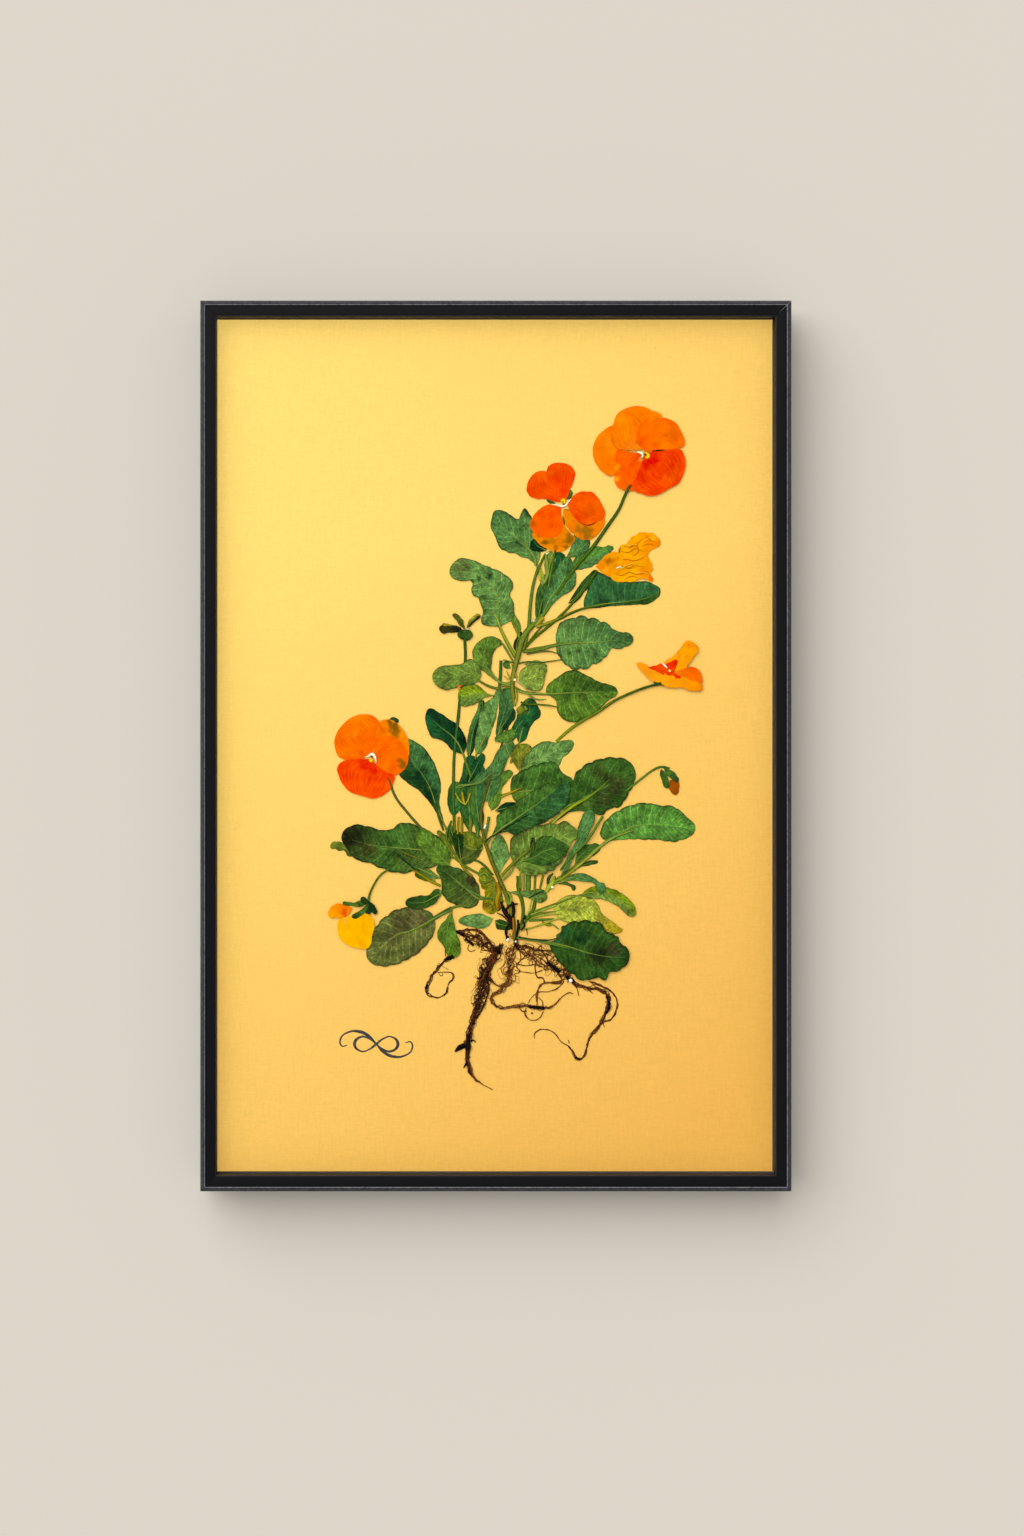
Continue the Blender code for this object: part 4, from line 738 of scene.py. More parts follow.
# The small leaves, stipules and leaf crowns between and beside them
smallLeaves = {
    "crown_light": form(1, (24, 66), [(25, 78), (30, 88), (34, 93.5)], (37, 95.5), [(28, 70), (33, 75),
        (40, 80), (41, 86), (40, 90)], "sage", stalk=[(21.5, 62)]),
    "crown_dark": form(0.5, (21.5, 62), [(20.5, 66), (20.3, 72), (21.5, 79), (25, 86)], (31, 93), [(24, 66),
        (27, 71), (30.5, 80), (32, 88)], "grass", rightTones="fir"),
    "crown_strip": form(0.6, (30, 83), [(30.5, 88), (30.6, 93)], (31, 97.5), [(32, 86), (34.5, 91),
        (35.5, 96)], "fir spruce"),
    "crown_pale": form(0.8, (26, 85), [(25, 91), (25.3, 95)], (28, 98.5), [(27.5, 88), (28.3, 92),
        (30, 96)], "lime leek"),
    "crown_fleck": form(0.75, (24, 81), [(22.3, 84), (22, 87)], (22.5, 90), [(25, 83), (24.5, 87)],
        "pear straw"),
    "crown_teal": form(0.5, (36, 95), [(37.5, 98), (39, 102), (39.5, 106)], (44, 107), [(41, 95.5),
        (45, 97), (48, 103.5)], "sage"),
    "crown_shadow": form(0.5, (26, 98.5), [(22, 98), (18, 99.5)], (19.5, 104.5), [(26, 101), (23, 104)],
        "pine", wander=0.5),
    "crown_narrow": form(0.6, (37, 72), [(42, 80), (47, 86)], (51.5, 88.5), [(40, 72), (45, 77), (50, 84)],
        "fir laurel"),
    "stipule_upper": form(0.7, (11, 47), [(9.3, 50), (10.5, 54)], (13.5, 57.5), [(12.5, 50), (13, 54)],
        "soot pine"),
    "stipule_fold": form(0.7, (12.5, 56), [(11, 60), (8.5, 64.5)], (8.5, 67), [(13.2, 60), (11.5, 64)],
        "fern meadow"),
    "stipule_middle": form(0.7, (8, 39), [(5.5, 39), (4, 40.5)], (6, 43), [(7.5, 41), (7.2, 42.5)],
        "grass"),
    "leaf_left_olive": form(1.5, (0, 25.3), [(-6, 24), (-8, 22), (-12, 20.5), (-17, 20)], (-18.7, 24.5),
        [(-4, 26.5), (-9, 30.7), (-14, 30.8), (-18, 28)], "fern", rightTones="lime"),
    "left_olive_under": form(1.2, (-6.5, 24), [(-9, 21.5), (-10, 21.3)], (-11.5, 21.8), [(-8, 23.5),
        (-10, 23)], "laurel"),
    "leaf_small_middle": form(1.5, (12, 33), [(13, 38), (17, 40.5), (22, 41)], (26, 39.6), [(15, 29.5),
        (20, 27.5), (23, 28), (24.5, 31), (25.4, 35)], "leek"),
    "leaf_small_fold": form(1.3, (15, 41), [(18, 42.7), (22, 42.8)], (26.3, 39.7), [(18, 39.5), (23, 39.3)],
        "fern"),
    "leaf_centre_strip": form(-0.5, (-13, -7), [(-14.3, -3), (-13.8, 4), (-11.8, 12), (-9.5, 17)],
        (-6.3, 23), [(-11, -3), (-8, 10), (-5.5, 18)], "sage", rightTones="fir"),
    "leaf_centre_second": form(0.45, (1, 2), [(0.5, 8), (1.8, 16), (2.6, 24)], (6, 29.5), [(4, 8), (7, 16),
        (9.5, 20), (9.2, 26)], "bottle sage"),
    "leaf_centre_third": form(0.5, (1.5, 5), [(1, 9), (3, 14), (6, 18)], (9, 19), [(4, 7), (8, 11),
        (10.5, 15)], "bottle", rightTones="fir"),
    "leaf_centre_bright": form(0.9, (0, 2), [(0, 4), (3, 5.8), (6, 7.6)], (9.5, 8), [(4, 1.5), (7, 1.5),
        (9.5, 3.5)], "grass meadow"),
    "leaf_centre_dark": form(0.55, (8, 1), [(8, 6), (9.5, 11), (12, 14)], (16, 15.5), [(10.5, 4), (14, 9),
        (17, 12)], "bottle spruce"),
    "leaf_centre_hook": form(1.2, (-19, -21.5), [(-16, -20.3), (-10, -20), (-3, -18.5), (2.5, -15.5),
        (6, -8)], (9, 2), [(-15, -19), (-10, -17.3), (-6, -13.5), (-2, -9), (2, -2)], "sage"),
    "leaf_centre_low": form(1, (-6, -28), [(-4, -28.3), (-1, -26), (2, -21.5), (3, -16)], (2.5, -13),
        [(-6, -22), (-6, -17), (-2, -14.5)], "sage"),
    "leaf_centre_olive": form(0.7, (-2, -33), [(1, -31), (3.2, -27), (3.5, -22), (6, -18.5)], (8.7, -13),
        [(-3.5, -28), (0, -23), (2.5, -18), (3, -14.5)], "meadow"),
    "leaf_centre_fern": form(0.7, (-9, -46), [(-5.5, -38), (-6, -30), (-5.5, -20)], (-7, -9), [(-11, -38),
        (-12.5, -30), (-13, -18), (-11, -10)], "bottle", rightTones="grass"),
    "leaf_centre_shade": form(0.4, (-13, -44), [(-8, -34), (-8, -20), (-8, -8)], (-13, -5), [(-17, -36),
        (-19, -22), (-16.5, -14), (-15.4, -8)], "laurel spruce"),
    "leaf_centre_tuft": form(0.9, (-14, -20), [(-11, -17), (-7, -12)], (-6, -4), [(-14, -16), (-12, -10),
        (-9, -6)], "pine spruce"),
    "leaf_yellow_small": form(0.6, (12.3, -13), [(14, -9.5), (15, -6), (18.6, -1.4), (17, 0.6)], (14, 1),
        [(9.5, -9), (8.2, -5), (10, 0)], "hay olive"),
    "leaf_right_middle": form(-0.5, (13, -13), [(20, -13), (32, -10.5), (34.5, -6.5), (39, -2)], (39.7, 2),
        [(14, -7), (18, -2), (24, 1.8), (27, 2.1), (30, 1.6), (35, 2.6)], "willow"),
    "leaf_left_tuft": form(0.5, (-21, -36), [(-18, -33), (-15, -27)], (-20, -18), [(-23, -33), (-24, -27),
        (-22.5, -20)], "spruce grass"),
    "leaf_small_dark": form(2.4, (0, -33), [(4, -34), (9, -33.8)], (12.5, -30.5), [(4, -29.5), (7, -28.5)],
        "spruce pine"),
    "leaf_stem_right": form(4.6, (33, -66), [(37, -62), (40, -56), (44, -50.5), (47.5, -44)], (49.5, -33),
        [(35, -60), (38, -53), (41, -48), (41.7, -42), (43.5, -37), (46, -33)], "sage"),
    "leaf_small_right": form(-0.45, (40, -61), [(45, -57.5), (50, -55.8)], (53.5, -52), [(41.5, -55),
        (43, -51.5), (48, -50), (52, -49.6)], "grass"),
    "leaf_thin_right": form(-0.4, (40, -63.5), [(44, -61.5), (49, -60.3)], (52.3, -58.7), [(43, -61),
        (47, -58.6), (50.5, -58)], "grass ivy"),
    "leaf_strap_right": form(1.6, (33, -69), [(38, -68.2), (44, -68.8), (50, -69.8), (51.5, -72.5)],
        (54, -75.4), [(37, -66.3), (41, -64.6), (46, -65), (50, -66.8), (52.5, -69), (55.5, -69.8)],
        "sage"),
    "leaf_curl": form(0.6, (29, -69.5), [(34, -70.3), (38, -71.3)], (39.8, -73.4), [(34, -69.2),
        (38, -69.7), (41, -71.5)], "laurel"),
    "leaf_yellow_tail": form(0.7, (52, -84), [(52.5, -89), (57, -93.5), (61, -95.2)], (64.6, -93),
        [(56, -86.5), (60, -89.5), (63, -91.8)], "straw mustard"),
    "leaf_yellow_side": form(0.5, (49, -79), [(50, -84), (51, -88)], (55, -87), [(51.5, -80), (53.5, -84)],
        "pear straw"),
    "leaf_on_low": form(4.6, (13, -58.5), [(19, -59.6), (24, -60.6), (29, -59.5), (34, -56)], (37, -51),
        [(17, -56), (20, -50), (22, -47), (27, -45.6), (32, -47.7)], "laurel grass"),
    "leaf_small_light": form(0.6, (2.3, -64.5), [(5, -60), (7.3, -56), (6.2, -51), (5, -47.5)], (2, -45),
        [(-0.5, -60), (-2, -55), (-2, -50), (0, -46.5)], "willow"),
    "leaf_left_inner": form(1.6, (-23, -60.7), [(-28, -60.5), (-33, -58), (-37, -53), (-40, -47)],
        (-36.5, -42.5), [(-22.5, -57), (-24.5, -51), (-30, -45.5)], "meadow"),
    "leaf_left_edge": form(0.5, (-21.5, -57.5), [(-24, -52), (-27.5, -47)], (-29, -43), [(-21, -52),
        (-23, -47), (-26, -44.5)], "olive"),
    "leaf_low_left": form(0.7, (-6, -52), [(-9, -57), (-14, -60), (-17, -59.5), (-18, -55)], (-20, -45),
        [(-6.5, -47), (-10, -44), (-16, -43.8)], "moss", rightTones="olive"),
    "leaf_low_band": form(0.9, (-17, -58.5), [(-19.5, -54), (-21, -49)], (-20.5, -44.3), [(-16.3, -54),
        (-16, -48), (-16.5, -44.5)], "ivy"),
    "leaf_low_dark": form(0.6, (-22, -40), [(-24.5, -43), (-24.5, -46)], (-20, -50), [(-20.5, -42),
        (-18, -45)], "laurel"),
    "leaf_left_dark_small": form(1.6, (-27.6, -75), [(-30, -79.5), (-35, -82), (-42, -82.3)],
        (-45.3, -79.4), [(-30, -72.6), (-33, -75.6), (-39, -76)], "laurel ivy"),
    "leaf_left_teal": form(0.5, (-27, -76), [(-30, -78), (-31, -76)], (-30.5, -73.5), [(-27, -74),
        (-28.5, -72.3)], "fern"),
    "leaf_bottom_green": form(1.6, (-22, -83.5), [(-20.8, -89), (-19, -96), (-17.5, -101), (-18, -105.5)],
        (-21, -107.3), [(-25, -88), (-28.2, -92), (-29, -97), (-26, -101.5), (-24, -106)],
        "meadow meadow bayLeaf"),
    "leaf_small_oval": form(0.6, (-1, -87.5), [(-7, -85.2), (-13, -85.6), (-17, -87)], (-18.5, -88.7),
        [(-3, -91), (-8, -92.6), (-13, -91.5), (-17, -90.3)], "willow"),
    "leaf_bottom_dark": form(-0.3, (0, -88.5), [(1.2, -92.5), (4, -93.3), (8, -93)], (9.5, -90), [(3, -88),
        (6, -88.8)], "ivy laurel"),
    "leaf_basal_grey": form(0.8, (7, -74), [(12, -76), (17, -77), (21, -79.3), (25, -79)], (26.5, -76),
        [(12, -73.5), (18, -73.2), (24, -72.8)], "sage fern"),
    "leaf_left_tip": form(-0.3, (-71, -55), [(-74, -51), (-76, -50), (-78, -48.6)], (-83.3, -51),
        [(-73, -56.5), (-77, -53), (-80, -53)], "moss olive", wander=0.5),
    "leaf_tip_lower": form(-0.2, (-66, -55), [(-70, -51), (-74, -49.8)], (-76.5, -51.5), [(-68, -58),
        (-71, -57.5), (-73, -54)], "hay", wander=0.5),
    "leaf_left_sliver": form(0.4, (-27.5, -67), [(-33, -67.8), (-36, -67)], (-39, -62.8), [(-30, -65),
        (-34, -62), (-37, -61)], "fern moss"),
    "leaf_left_edgelow": form(0.35, (-30, -68.5), [(-36, -68.3)], (-40.5, -64.8), [(-34, -66.5),
        (-38, -64)], "olive bayLeaf"),
    "crown_mass": form(0.3, (0, -70), [(3, -74), (4, -80), (0, -85)], (-4, -84.5), [(-4, -71), (-5, -76),
        (-6, -81)], "ochre bronze", wander=0.6),
    "crown_yellow": form(0.8, (-1, -80.5), [(-1, -83), (-2, -84.6)], (-5, -84), [(-3, -79.8), (-6, -80.5)],
        "peat mustard", wander=0.4),
    "crown_stipules": form(0.5, (1, -70), [(-3, -71.5), (-7, -70), (-8.3, -66)], (-7.5, -62.5), [(-1, -66),
        (-3, -63.5), (-5, -61.5)], "hay lime", wander=0.6),
    "crown_green": form(0.45, (2, -75), [(-2, -77), (-4, -74)], (-7, -71), [(0, -71), (-3, -70)],
        "olive bronze", wander=0.5),
}

# How the dried leaves and stems look, and their bodies
leafLook = {
    "veinsPerCm": 2.6,
    "veinLean": 0.75,  # how far a side vein runs on towards the tip
    "veinLift": 0.75,
    "mottle": 1.25,
    "fleck": 1.0,
    "relief": 0.2,  # mm
    "ribWidth": 0.55,  # mm
    "ribReach": 0.65,  # of the way from the rib's last point to the tip
}


def driedLeaf():
    # a pressed leaf: matt, mottled, with side veins, a fine net between them and a darker margin, partly
    # its own rim and partly painted contact shade where leaves overlap
    material, tree, shader = newMaterial("driedLeaf", Roughness=0.7, Specular_IOR_Level=0.03)
    tint = addNode(tree, "ShaderNodeAttribute", attribute_name="tint").outputs["Color"]
    place = addNode(tree, "ShaderNodeTexCoord").outputs["Object"]
    chart = addNode(tree, "ShaderNodeAttribute", attribute_name="bladeChart").outputs["Vector"]
    spot = addNode(tree, "ShaderNodeSeparateXYZ", {"Vector": chart})
    side = maths(tree, "ABSOLUTE", spot.outputs["Y"])
    cloud = cloudy(tree, place, 140.0, 5.0, Roughness=0.6)
    fleck = cloudy(tree, place, 750.0, 4.0, Roughness=0.7)
    bend = maths(tree, "MULTIPLY_ADD", side, -leafLook["veinLean"], spot.outputs["X"])
    sway = maths(tree, "MULTIPLY_ADD", cloud, 0.35, bend)
    phase = maths(tree, "MULTIPLY", sway, leafLook["veinsPerCm"])
    away = maths(tree, "PINGPONG", phase, 0.5)
    vein = remap(tree, away, 0.0, 0.13, 1.0, 0.0, interpolation_type="SMOOTHSTEP")
    net = addNode(tree, "ShaderNodeTexVoronoi", {"Vector": place, "Scale": 620.0},
        feature="DISTANCE_TO_EDGE").outputs["Distance"]
    mesh = remap(tree, net, 0.0, 0.12, 1.0, 0.0)
    ribs = remap(tree, side, 0.0, 0.07, 1.0, 0.0)
    lines = maths(tree, "MAXIMUM", vein, ribs)
    both = maths(tree, "MULTIPLY_ADD", mesh, 0.35, lines)
    patch = remap(tree, cloud, 0.3, 0.7, 1 - leafLook["mottle"] * 0.5, 1 + leafLook["mottle"] * 0.5)
    spark = remap(tree, fleck, 0.3, 0.7, 1 - leafLook["fleck"] * 0.5, 1 + leafLook["fleck"] * 0.5)
    # the darker margin: partly the leaf's own rim, partly painted contact shade where leaves lie on one
    # another
    margin = remap(tree, side, 0.88, 1.0, 1.0, 0.28)
    lit = maths(tree, "MULTIPLY_ADD", both, leafLook["veinLift"], 0.84)
    first = maths(tree, "MULTIPLY", patch, spark)
    second = maths(tree, "MULTIPLY", first, margin)
    value = maths(tree, "MULTIPLY", second, lit)
    hue = remap(tree, fleck, 0.0, 1.0, 0.515, 0.485)
    shaded = addNode(tree, "ShaderNodeHueSaturation", {"Color": tint, "Value": value, "Hue": hue})
    tree.links.new(shaded.outputs["Color"], shader.inputs["Base Color"])
    height = maths(tree, "MULTIPLY_ADD", fleck, 0.8, lines)
    bumped(tree, shader, height, 0.6, leafLook["relief"])
    return material


def driedStem(name, relief=0.1, streaks=0.5):
    # a stalk or rib dried in the press: shrunken, with lengthwise ridges, lighter along its middle as a
    # painted highlight and darker at its flanks as painted shade
    material, tree, shader = newMaterial(name, Roughness=0.65, Specular_IOR_Level=0.04)
    tint = addNode(tree, "ShaderNodeAttribute", attribute_name="tint").outputs["Color"]
    place = addNode(tree, "ShaderNodeTexCoord").outputs["Object"]
    chart = addNode(tree, "ShaderNodeAttribute", attribute_name="bladeChart").outputs["Vector"]
    drawn = addNode(tree, "ShaderNodeMapping", {"Vector": chart, "Scale": (1.5, 3.2, 1.0)})
    streak = cloudy(tree, drawn.outputs["Vector"], 1.6, 5.0, Roughness=0.6)
    fleck = cloudy(tree, place, 500.0, 4.0)
    grainy = maths(tree, "MULTIPLY_ADD", fleck, 0.5, streak)
    value = remap(tree, grainy, 0.45, 1.05, 1 - streaks, 1 + streaks)
    across = addNode(tree, "ShaderNodeSeparateXYZ", {"Vector": chart}).outputs["Y"]
    side = maths(tree, "ABSOLUTE", across)
    # painted highlight along the middle and painted shade at the flanks, for the strand's roundness
    paintedRoundShade = remap(tree, side, 0.35, 1.0, 1.12, 0.4)
    value = maths(tree, "MULTIPLY", value, paintedRoundShade)
    shaded = addNode(tree, "ShaderNodeHueSaturation", {"Color": tint, "Value": value})
    tree.links.new(shaded.outputs["Color"], shader.inputs["Base Color"])
    bumped(tree, shader, grainy, 0.7, relief)
    return material


leafSkin = driedLeaf()
stemSkin = driedStem("driedStem")
ribTones = {"leaf": "#7c8a30 #6a8236 #54763a", "stalk": "#5c6e1c"}


def leafBodies(shape, seed):
    # the sheet, and its rib running on from the stalk
    bodies = [bladeBody(shape, seed)]
    face = layerFace(shape["layer"])
    ribLine = [shape["base"], *shape.get("rib", ())]
    if "rib" not in shape:
        sides = [np.array(evenly(smoothLine([shape["base"], *shape[side], shape["tip"]]), 5)) for side in
                 ("left", "right")]
        ribLine = [tuple(p) for p in ((sides[0] + sides[1]) / 2)[:4]]
    reach = leafLook["ribReach"]
    end = np.array(ribLine[-1]) * (1 - reach) + np.array(shape["tip"]) * reach
    stalk = list(shape.get("stalk", ()))
    line = stalk + [tuple(p) for p in ribLine] + [tuple(end)]
    share = len(stalk)
    wide, tones = leafLook["ribWidth"], ribTones["leaf"]
    if share:
        along = [1.25] * share + [wide + 0.35] + list(np.linspace(wide, 0.12, len(line) - share - 1))
        tones = (ribTones["stalk"] + " ") * share + tones
    else:
        along = list(np.linspace(wide, 0.12, len(line)))
    bodies.append(cordBody(line, along, [face], 0.22 if share else blade["ribHeight"], tones, seed + 5))
    return bodies


for number, (leafName, leafShape) in enumerate(leaves.items()):
    joinBodies(leafName.replace("leaf_", "blade_"), leafBodies(leafShape, number), [leafSkin, stemSkin],
               [leafName])
for number, (leafName, leafShape) in enumerate(smallLeaves.items()):
    joinBodies(leafName.replace("leaf_", "small_"), leafBodies(leafShape, number + 40),
               [leafSkin, stemSkin])
print("leaves ready")


# The flowers: every petal is a blade of its own, grown from the flower's eye
flowers = {
    "flower_top": {"petals": [
        form(1.75, (67, 148), [(64, 143), (62, 138), (58, 136.4), (55, 138), (52, 141)], (49.5, 148),
            [(66, 156), (60.5, 161.6), (56, 160), (52.5, 157), (50.2, 153)], "#f06c00 #f27800",
            rightTones="#f07400 #f47c00", blots=[(61.5, 140, 1.6, "#f6a010", 0.8),
            (57, 154, 3, "#f8930c", 0.5)]),
        form(1.9, (74, 149.6), [(67, 149.4), (62, 150), (59.5, 154), (59, 158), (60, 163), (61.8, 167.5)],
            (66, 170.3), [(75, 156), (79, 161), (84.5, 166), (79, 169.6), (72.5, 171.6)],
            "#f07c10 #f47a00 #f47400", blots=[(72, 153.5, 1.6, "#a07a10", 0.5),
            (64, 165, 3.5, "#f88e08", 0.5)]),
        form(2, (75.5, 148.8), [(72, 153), (71.6, 158), (74, 163), (79, 166.5), (84, 165.8), (88, 165),
            (91.5, 163)], (94.2, 158.5), [(80, 148.4), (88, 149.3), (93.3, 150.5), (95.5, 151.6),
            (96, 153.6)], "#f26000 #f26a00 #f06600", blots=[(74, 153, 2.2, "#e44400", 0.6),
            (86, 151, 3, "#f07c00", 0.7), (90, 158, 5, "#dc6200", 0.6)]),
        form(2.1, (73.5, 147.6), [(74, 142), (71.5, 136), (70.3, 129.4), (66, 129)], (61.5, 131.3),
            [(67, 148.6), (62, 149.3), (60.8, 145), (61.5, 140), (60.4, 136)], "#e84a00 #f25c00 #f06400",
            blots=[(61.8, 141, 2, "#f68a00", 0.9), (61.5, 135, 1.5, "#f69a10", 0.8),
            (74, 144.5, 1.6, "#f6a040", 0.7)]),
        form(2.2, (76, 147.4), [(84, 149.4), (90, 149.8), (93.5, 150), (95.8, 146.5), (96.3, 141.5),
            (95, 136.5), (92, 132)], (88.6, 130.9), [(74, 143), (71.3, 136), (69.6, 130), (75, 127),
            (79.5, 126.3), (84.5, 127.8)], "#dc2400 #ea4200 #ee4600", edge="#f05000",
            blots=[(80.5, 144.5, 3.4, "#d80000", 1), (77.2, 141.5, 2.8, "#d00000", 0.9),
            (76, 134.5, 3.2, "#e03400", 0.7), (91, 142, 5.5, "#e04000", 0.8), (90, 137, 4, "#dc4a00", 0.7),
            (86, 133.5, 3.5, "#ee5a00", 0.7)]),
    ], "cords": [
        ([(76, 148.3), (77.4, 147.2), (77.4, 145.8), (75.8, 145.6)], [0.6, 1.9, 2.2, 0.8], 2.32, "#e8b800"),
        ([(71.8, 148.3), (73.5, 148), (74.8, 147.2), (74, 145.5)], [0.4, 1.5, 1.2, 0.5], 2.34, "#efe6c0"),
        ([(79.4, 148.8), (82, 149), (85.8, 149.4)], [0.5, 0.8, 0.3], 2.4, "soot"),
        ([(75, 147.4), (76.2, 147.2)], [0.6, 0.5], 2.5, "#4a3808"),
        ([(73.4, 148.4), (67, 149.5), (61.8, 150.3), (59.8, 153), (59, 156)], [0.4, 0.35, 0.3, 0.35, 0.15],
            2.16, "#f0b050 #d86a10 #b85000"),
        ([(67, 129.5), (68.3, 131), (69, 131.8)], [1.3, 1.6, 1.2], 2.3, "#6a4a0c #7a3e06"),
    ]},
    "flower_red": {"petals": [
        form(0.8, (34.5, 119.5), [(44, 120), (52, 118.5), (55.7, 114), (54.3, 110)], (50.5, 105.6),
            [(34.6, 116), (36.2, 111), (40, 106.6), (43.6, 104.4), (47.5, 104)], "#e88400 #ee7c00 #ee7a00",
            blots=[(46, 108.6, 4.2, "#9a5c08", 1), (42.5, 109, 3, "#a4640a", 0.9),
            (47, 106, 3, "#96600c", 0.9), (36.2, 120, 1.6, "#8a6a10", 0.8)]),
        form(0.85, (33.5, 116), [(35.5, 111), (38.6, 107), (40.5, 105), (38.6, 101.6)], (33, 98),
            [(25, 110), (19, 107), (21, 103.3), (25.5, 99.9), (29.5, 98.3)], "#dc7400 #e88000 #ee8400",
            blots=[(37.8, 104.5, 3.6, "#8c5a06", 1), (36.3, 100.4, 1.6, "#7e5606", 0.9),
            (25.3, 102.8, 2.2, "#704806", 0.9), (29, 103.6, 2.4, "#a86808", 0.8),
            (30.6, 100, 1.5, "#8a5a08", 0.8), (22.5, 106.4, 1.4, "#8a4a04", 0.7)]),
        form(1, (34, 123.2), [(30, 123.4), (26, 124.6), (20, 125.1), (16.6, 127.5), (16, 130.5),
            (18, 135.5), (20.5, 138)], (23.6, 138.9), [(34, 129), (31, 135), (27.5, 138.4), (25.6, 138.7)],
            "#ec4200 #ea4a00 #ee5c00", blots=[(22, 130, 4.5, "#dc3e00", 0.8),
            (27, 136, 3, "#e46200", 0.8)]),
        form(1.12, (34.6, 123.2), [(30.5, 125), (28.5, 131), (26, 138.2), (27.5, 141.6)], (33.5, 142.9),
            [(36.2, 124.6), (38, 129.6), (40.2, 135), (40.6, 138), (38.2, 141.4)],
            "#f04e00 #ec4600 #ea4c00", blots=[(33.5, 138, 4, "#d83e00", 0.7),
            (34.5, 127.5, 2.2, "#f43400", 0.7), (27.6, 137.5, 2.2, "#e66000", 0.8)]),
        form(1.15, (36.4, 122.4), [(38.6, 125.3), (42, 127.8), (46, 128.6), (50, 127.6), (54, 122),
            (55.8, 117.5)], (55, 115), [(38, 118.5), (40.6, 114.8), (43.6, 112.4), (47, 111.8),
            (51.2, 112.8)], "#ee5000 #ec5400 #ee6000", edge="#ee5200",
            blots=[(47.5, 118.5, 4.5, "#da5000", 0.8), (41, 123.6, 1.8, "#d83a00", 0.6)]),
        form(1.2, (33.3, 121.3), [(33.6, 116), (34.4, 111.8), (33, 107.6), (31, 105.7), (27.5, 105)],
            (22.6, 105.9), [(30, 121.6), (27, 121.9), (22.6, 119.4), (18.6, 114.6), (18, 110)],
            "#f05200 #f25a00 #f26000", blots=[(29, 116.5, 2, "#e23c00", 0.5),
            (19.2, 112, 1.7, "#a8580c", 0.9)]),
    ], "cords": [
        ([(33.4, 123.4), (34.6, 124.2), (35.4, 123.2), (34.6, 122)], [0.8, 2, 1.2, 0.6], 1.32, "#ecc400"),
        ([(28.5, 122), (31.5, 121.6), (34, 121), (35.6, 121.3), (36.6, 122.6), (38.5, 124.6)],
            [0.3, 0.9, 1.3, 1, 0.9, 0.4], 1.36, "#f0e2b0 #f4ecc8 #f0e8c0"),
        ([(34.2, 122.2), (35.4, 122)], [0.8, 0.7], 1.45, "#4a3206"),
        ([(41.5, 113.8), (44.4, 112), (48, 111.5), (50.6, 112.6), (51.6, 114)], [0.25, 0.4, 0.5, 0.6, 0.2],
            1.02, "#8e3606"),
        ([(34.2, 116), (35, 113), (35, 111.5)], [0.3, 1.2, 0.3], 1.05, "#7c5408"),
    ], "sepals": [
        form(0.75, (36.3, 124.4), [(37, 127)], (37.8, 129.4), [(38.9, 125.6)], "grass"),
        form(0.75, (31, 121.9), [(28.8, 123.6)], (26.2, 124.6), [(29.4, 122)], "grass"),
    ]},
    "flower_wilted": {"petals": [
        # on this petal and the next, the darker blots are painted shade in the creases, the bright yellow
        # ones painted highlights on the crumples
        form(0.7, (64, 92), [(76, 90), (79.5, 90.8), (77.2, 94.5), (79, 99)], (83.6, 101.8), [(62.6, 97),
            (63.2, 100.6), (67, 102.4), (70, 106), (76, 107.7), (80.6, 106.8)], "#f09400 #f09400 #ee8400",
            rightTones="#f29c00 #f4a000 #f08400", wander=0.5, wave=3, blots=[(71, 101, 1.7, "#e47400", 0.6),
            (78, 103.5, 3.6, "#ee8200", 0.8), (80, 105, 2, "#f8b010", 0.7), (67, 99, 2.2, "#f6a808", 0.7),
            (70, 96.5, 1, "#c86400", 0.6), (71, 94, 2.6, "#f4b400", 0.6), (73, 92.5, 1.2, "#dc7000", 0.6)]),
        form(0.9, (58, 88), [(59, 84.4), (64, 82.5), (70, 83), (75, 84.4)], (80, 83.4), [(66, 92.5),
            (72, 93), (79.8, 89.6), (78.6, 87)], "#ee9c00 #f0a600 #ea7c00", wander=0.5, wave=3,
            blots=[(62, 88, 1.8, "#d87800", 0.6), (75, 88.3, 2.4, "#e87400", 0.7),
            (79, 84.7, 1.5, "#dc5400", 0.7), (67, 86, 2, "#f6b010", 0.7), (61, 84.6, 1.5, "#ee8400", 0.6)]),
        form(1, (51, 90.4), [(54, 87.6), (58, 85.6), (62, 88.6)], (64.5, 92), [(53.5, 93.6), (56.4, 96.8),
            (60, 97.8), (63.4, 97)], "#ea7c00 #ee9400 #f0a400", wander=0.4, wave=3,
            blots=[(57.6, 93.4, 2.3, "#a05a08", 0.9), (60.5, 91, 1.6, "#d88400", 0.7),
            (60, 93.8, 1.4, "#c06c00", 0.7), (62.2, 94.4, 1.2, "#cc7000", 0.6),
            (56, 88.6, 1.6, "#f0a820", 0.7), (56, 95.5, 1.4, "#ee8a00", 0.7)]),
    ], "cords": [
        # darker cords: painted shade in the petals' creases
        ([(63.5, 98.5), (67, 97.6), (71, 99.5), (75, 98)], [0.1, 0.4, 0.3, 0.1], 1.4, "#cc7004"),
        ([(65, 101), (68.5, 100.4), (72, 103)], [0.1, 0.4, 0.3, 0.1], 1.4, "#d07808"),
        ([(70, 95.5), (72.5, 98.5), (72, 101.5), (74.5, 104.5)], [0.1, 0.4, 0.3, 0.1], 1.4, "#c46404"),
        ([(74, 100.5), (77.5, 102), (81, 101.2)], [0.1, 0.4, 0.3, 0.1], 1.4, "#cc6c04"),
        ([(76, 106.5), (78.5, 104), (82, 103)], [0.1, 0.4, 0.3, 0.1], 1.4, "#d47c08"),
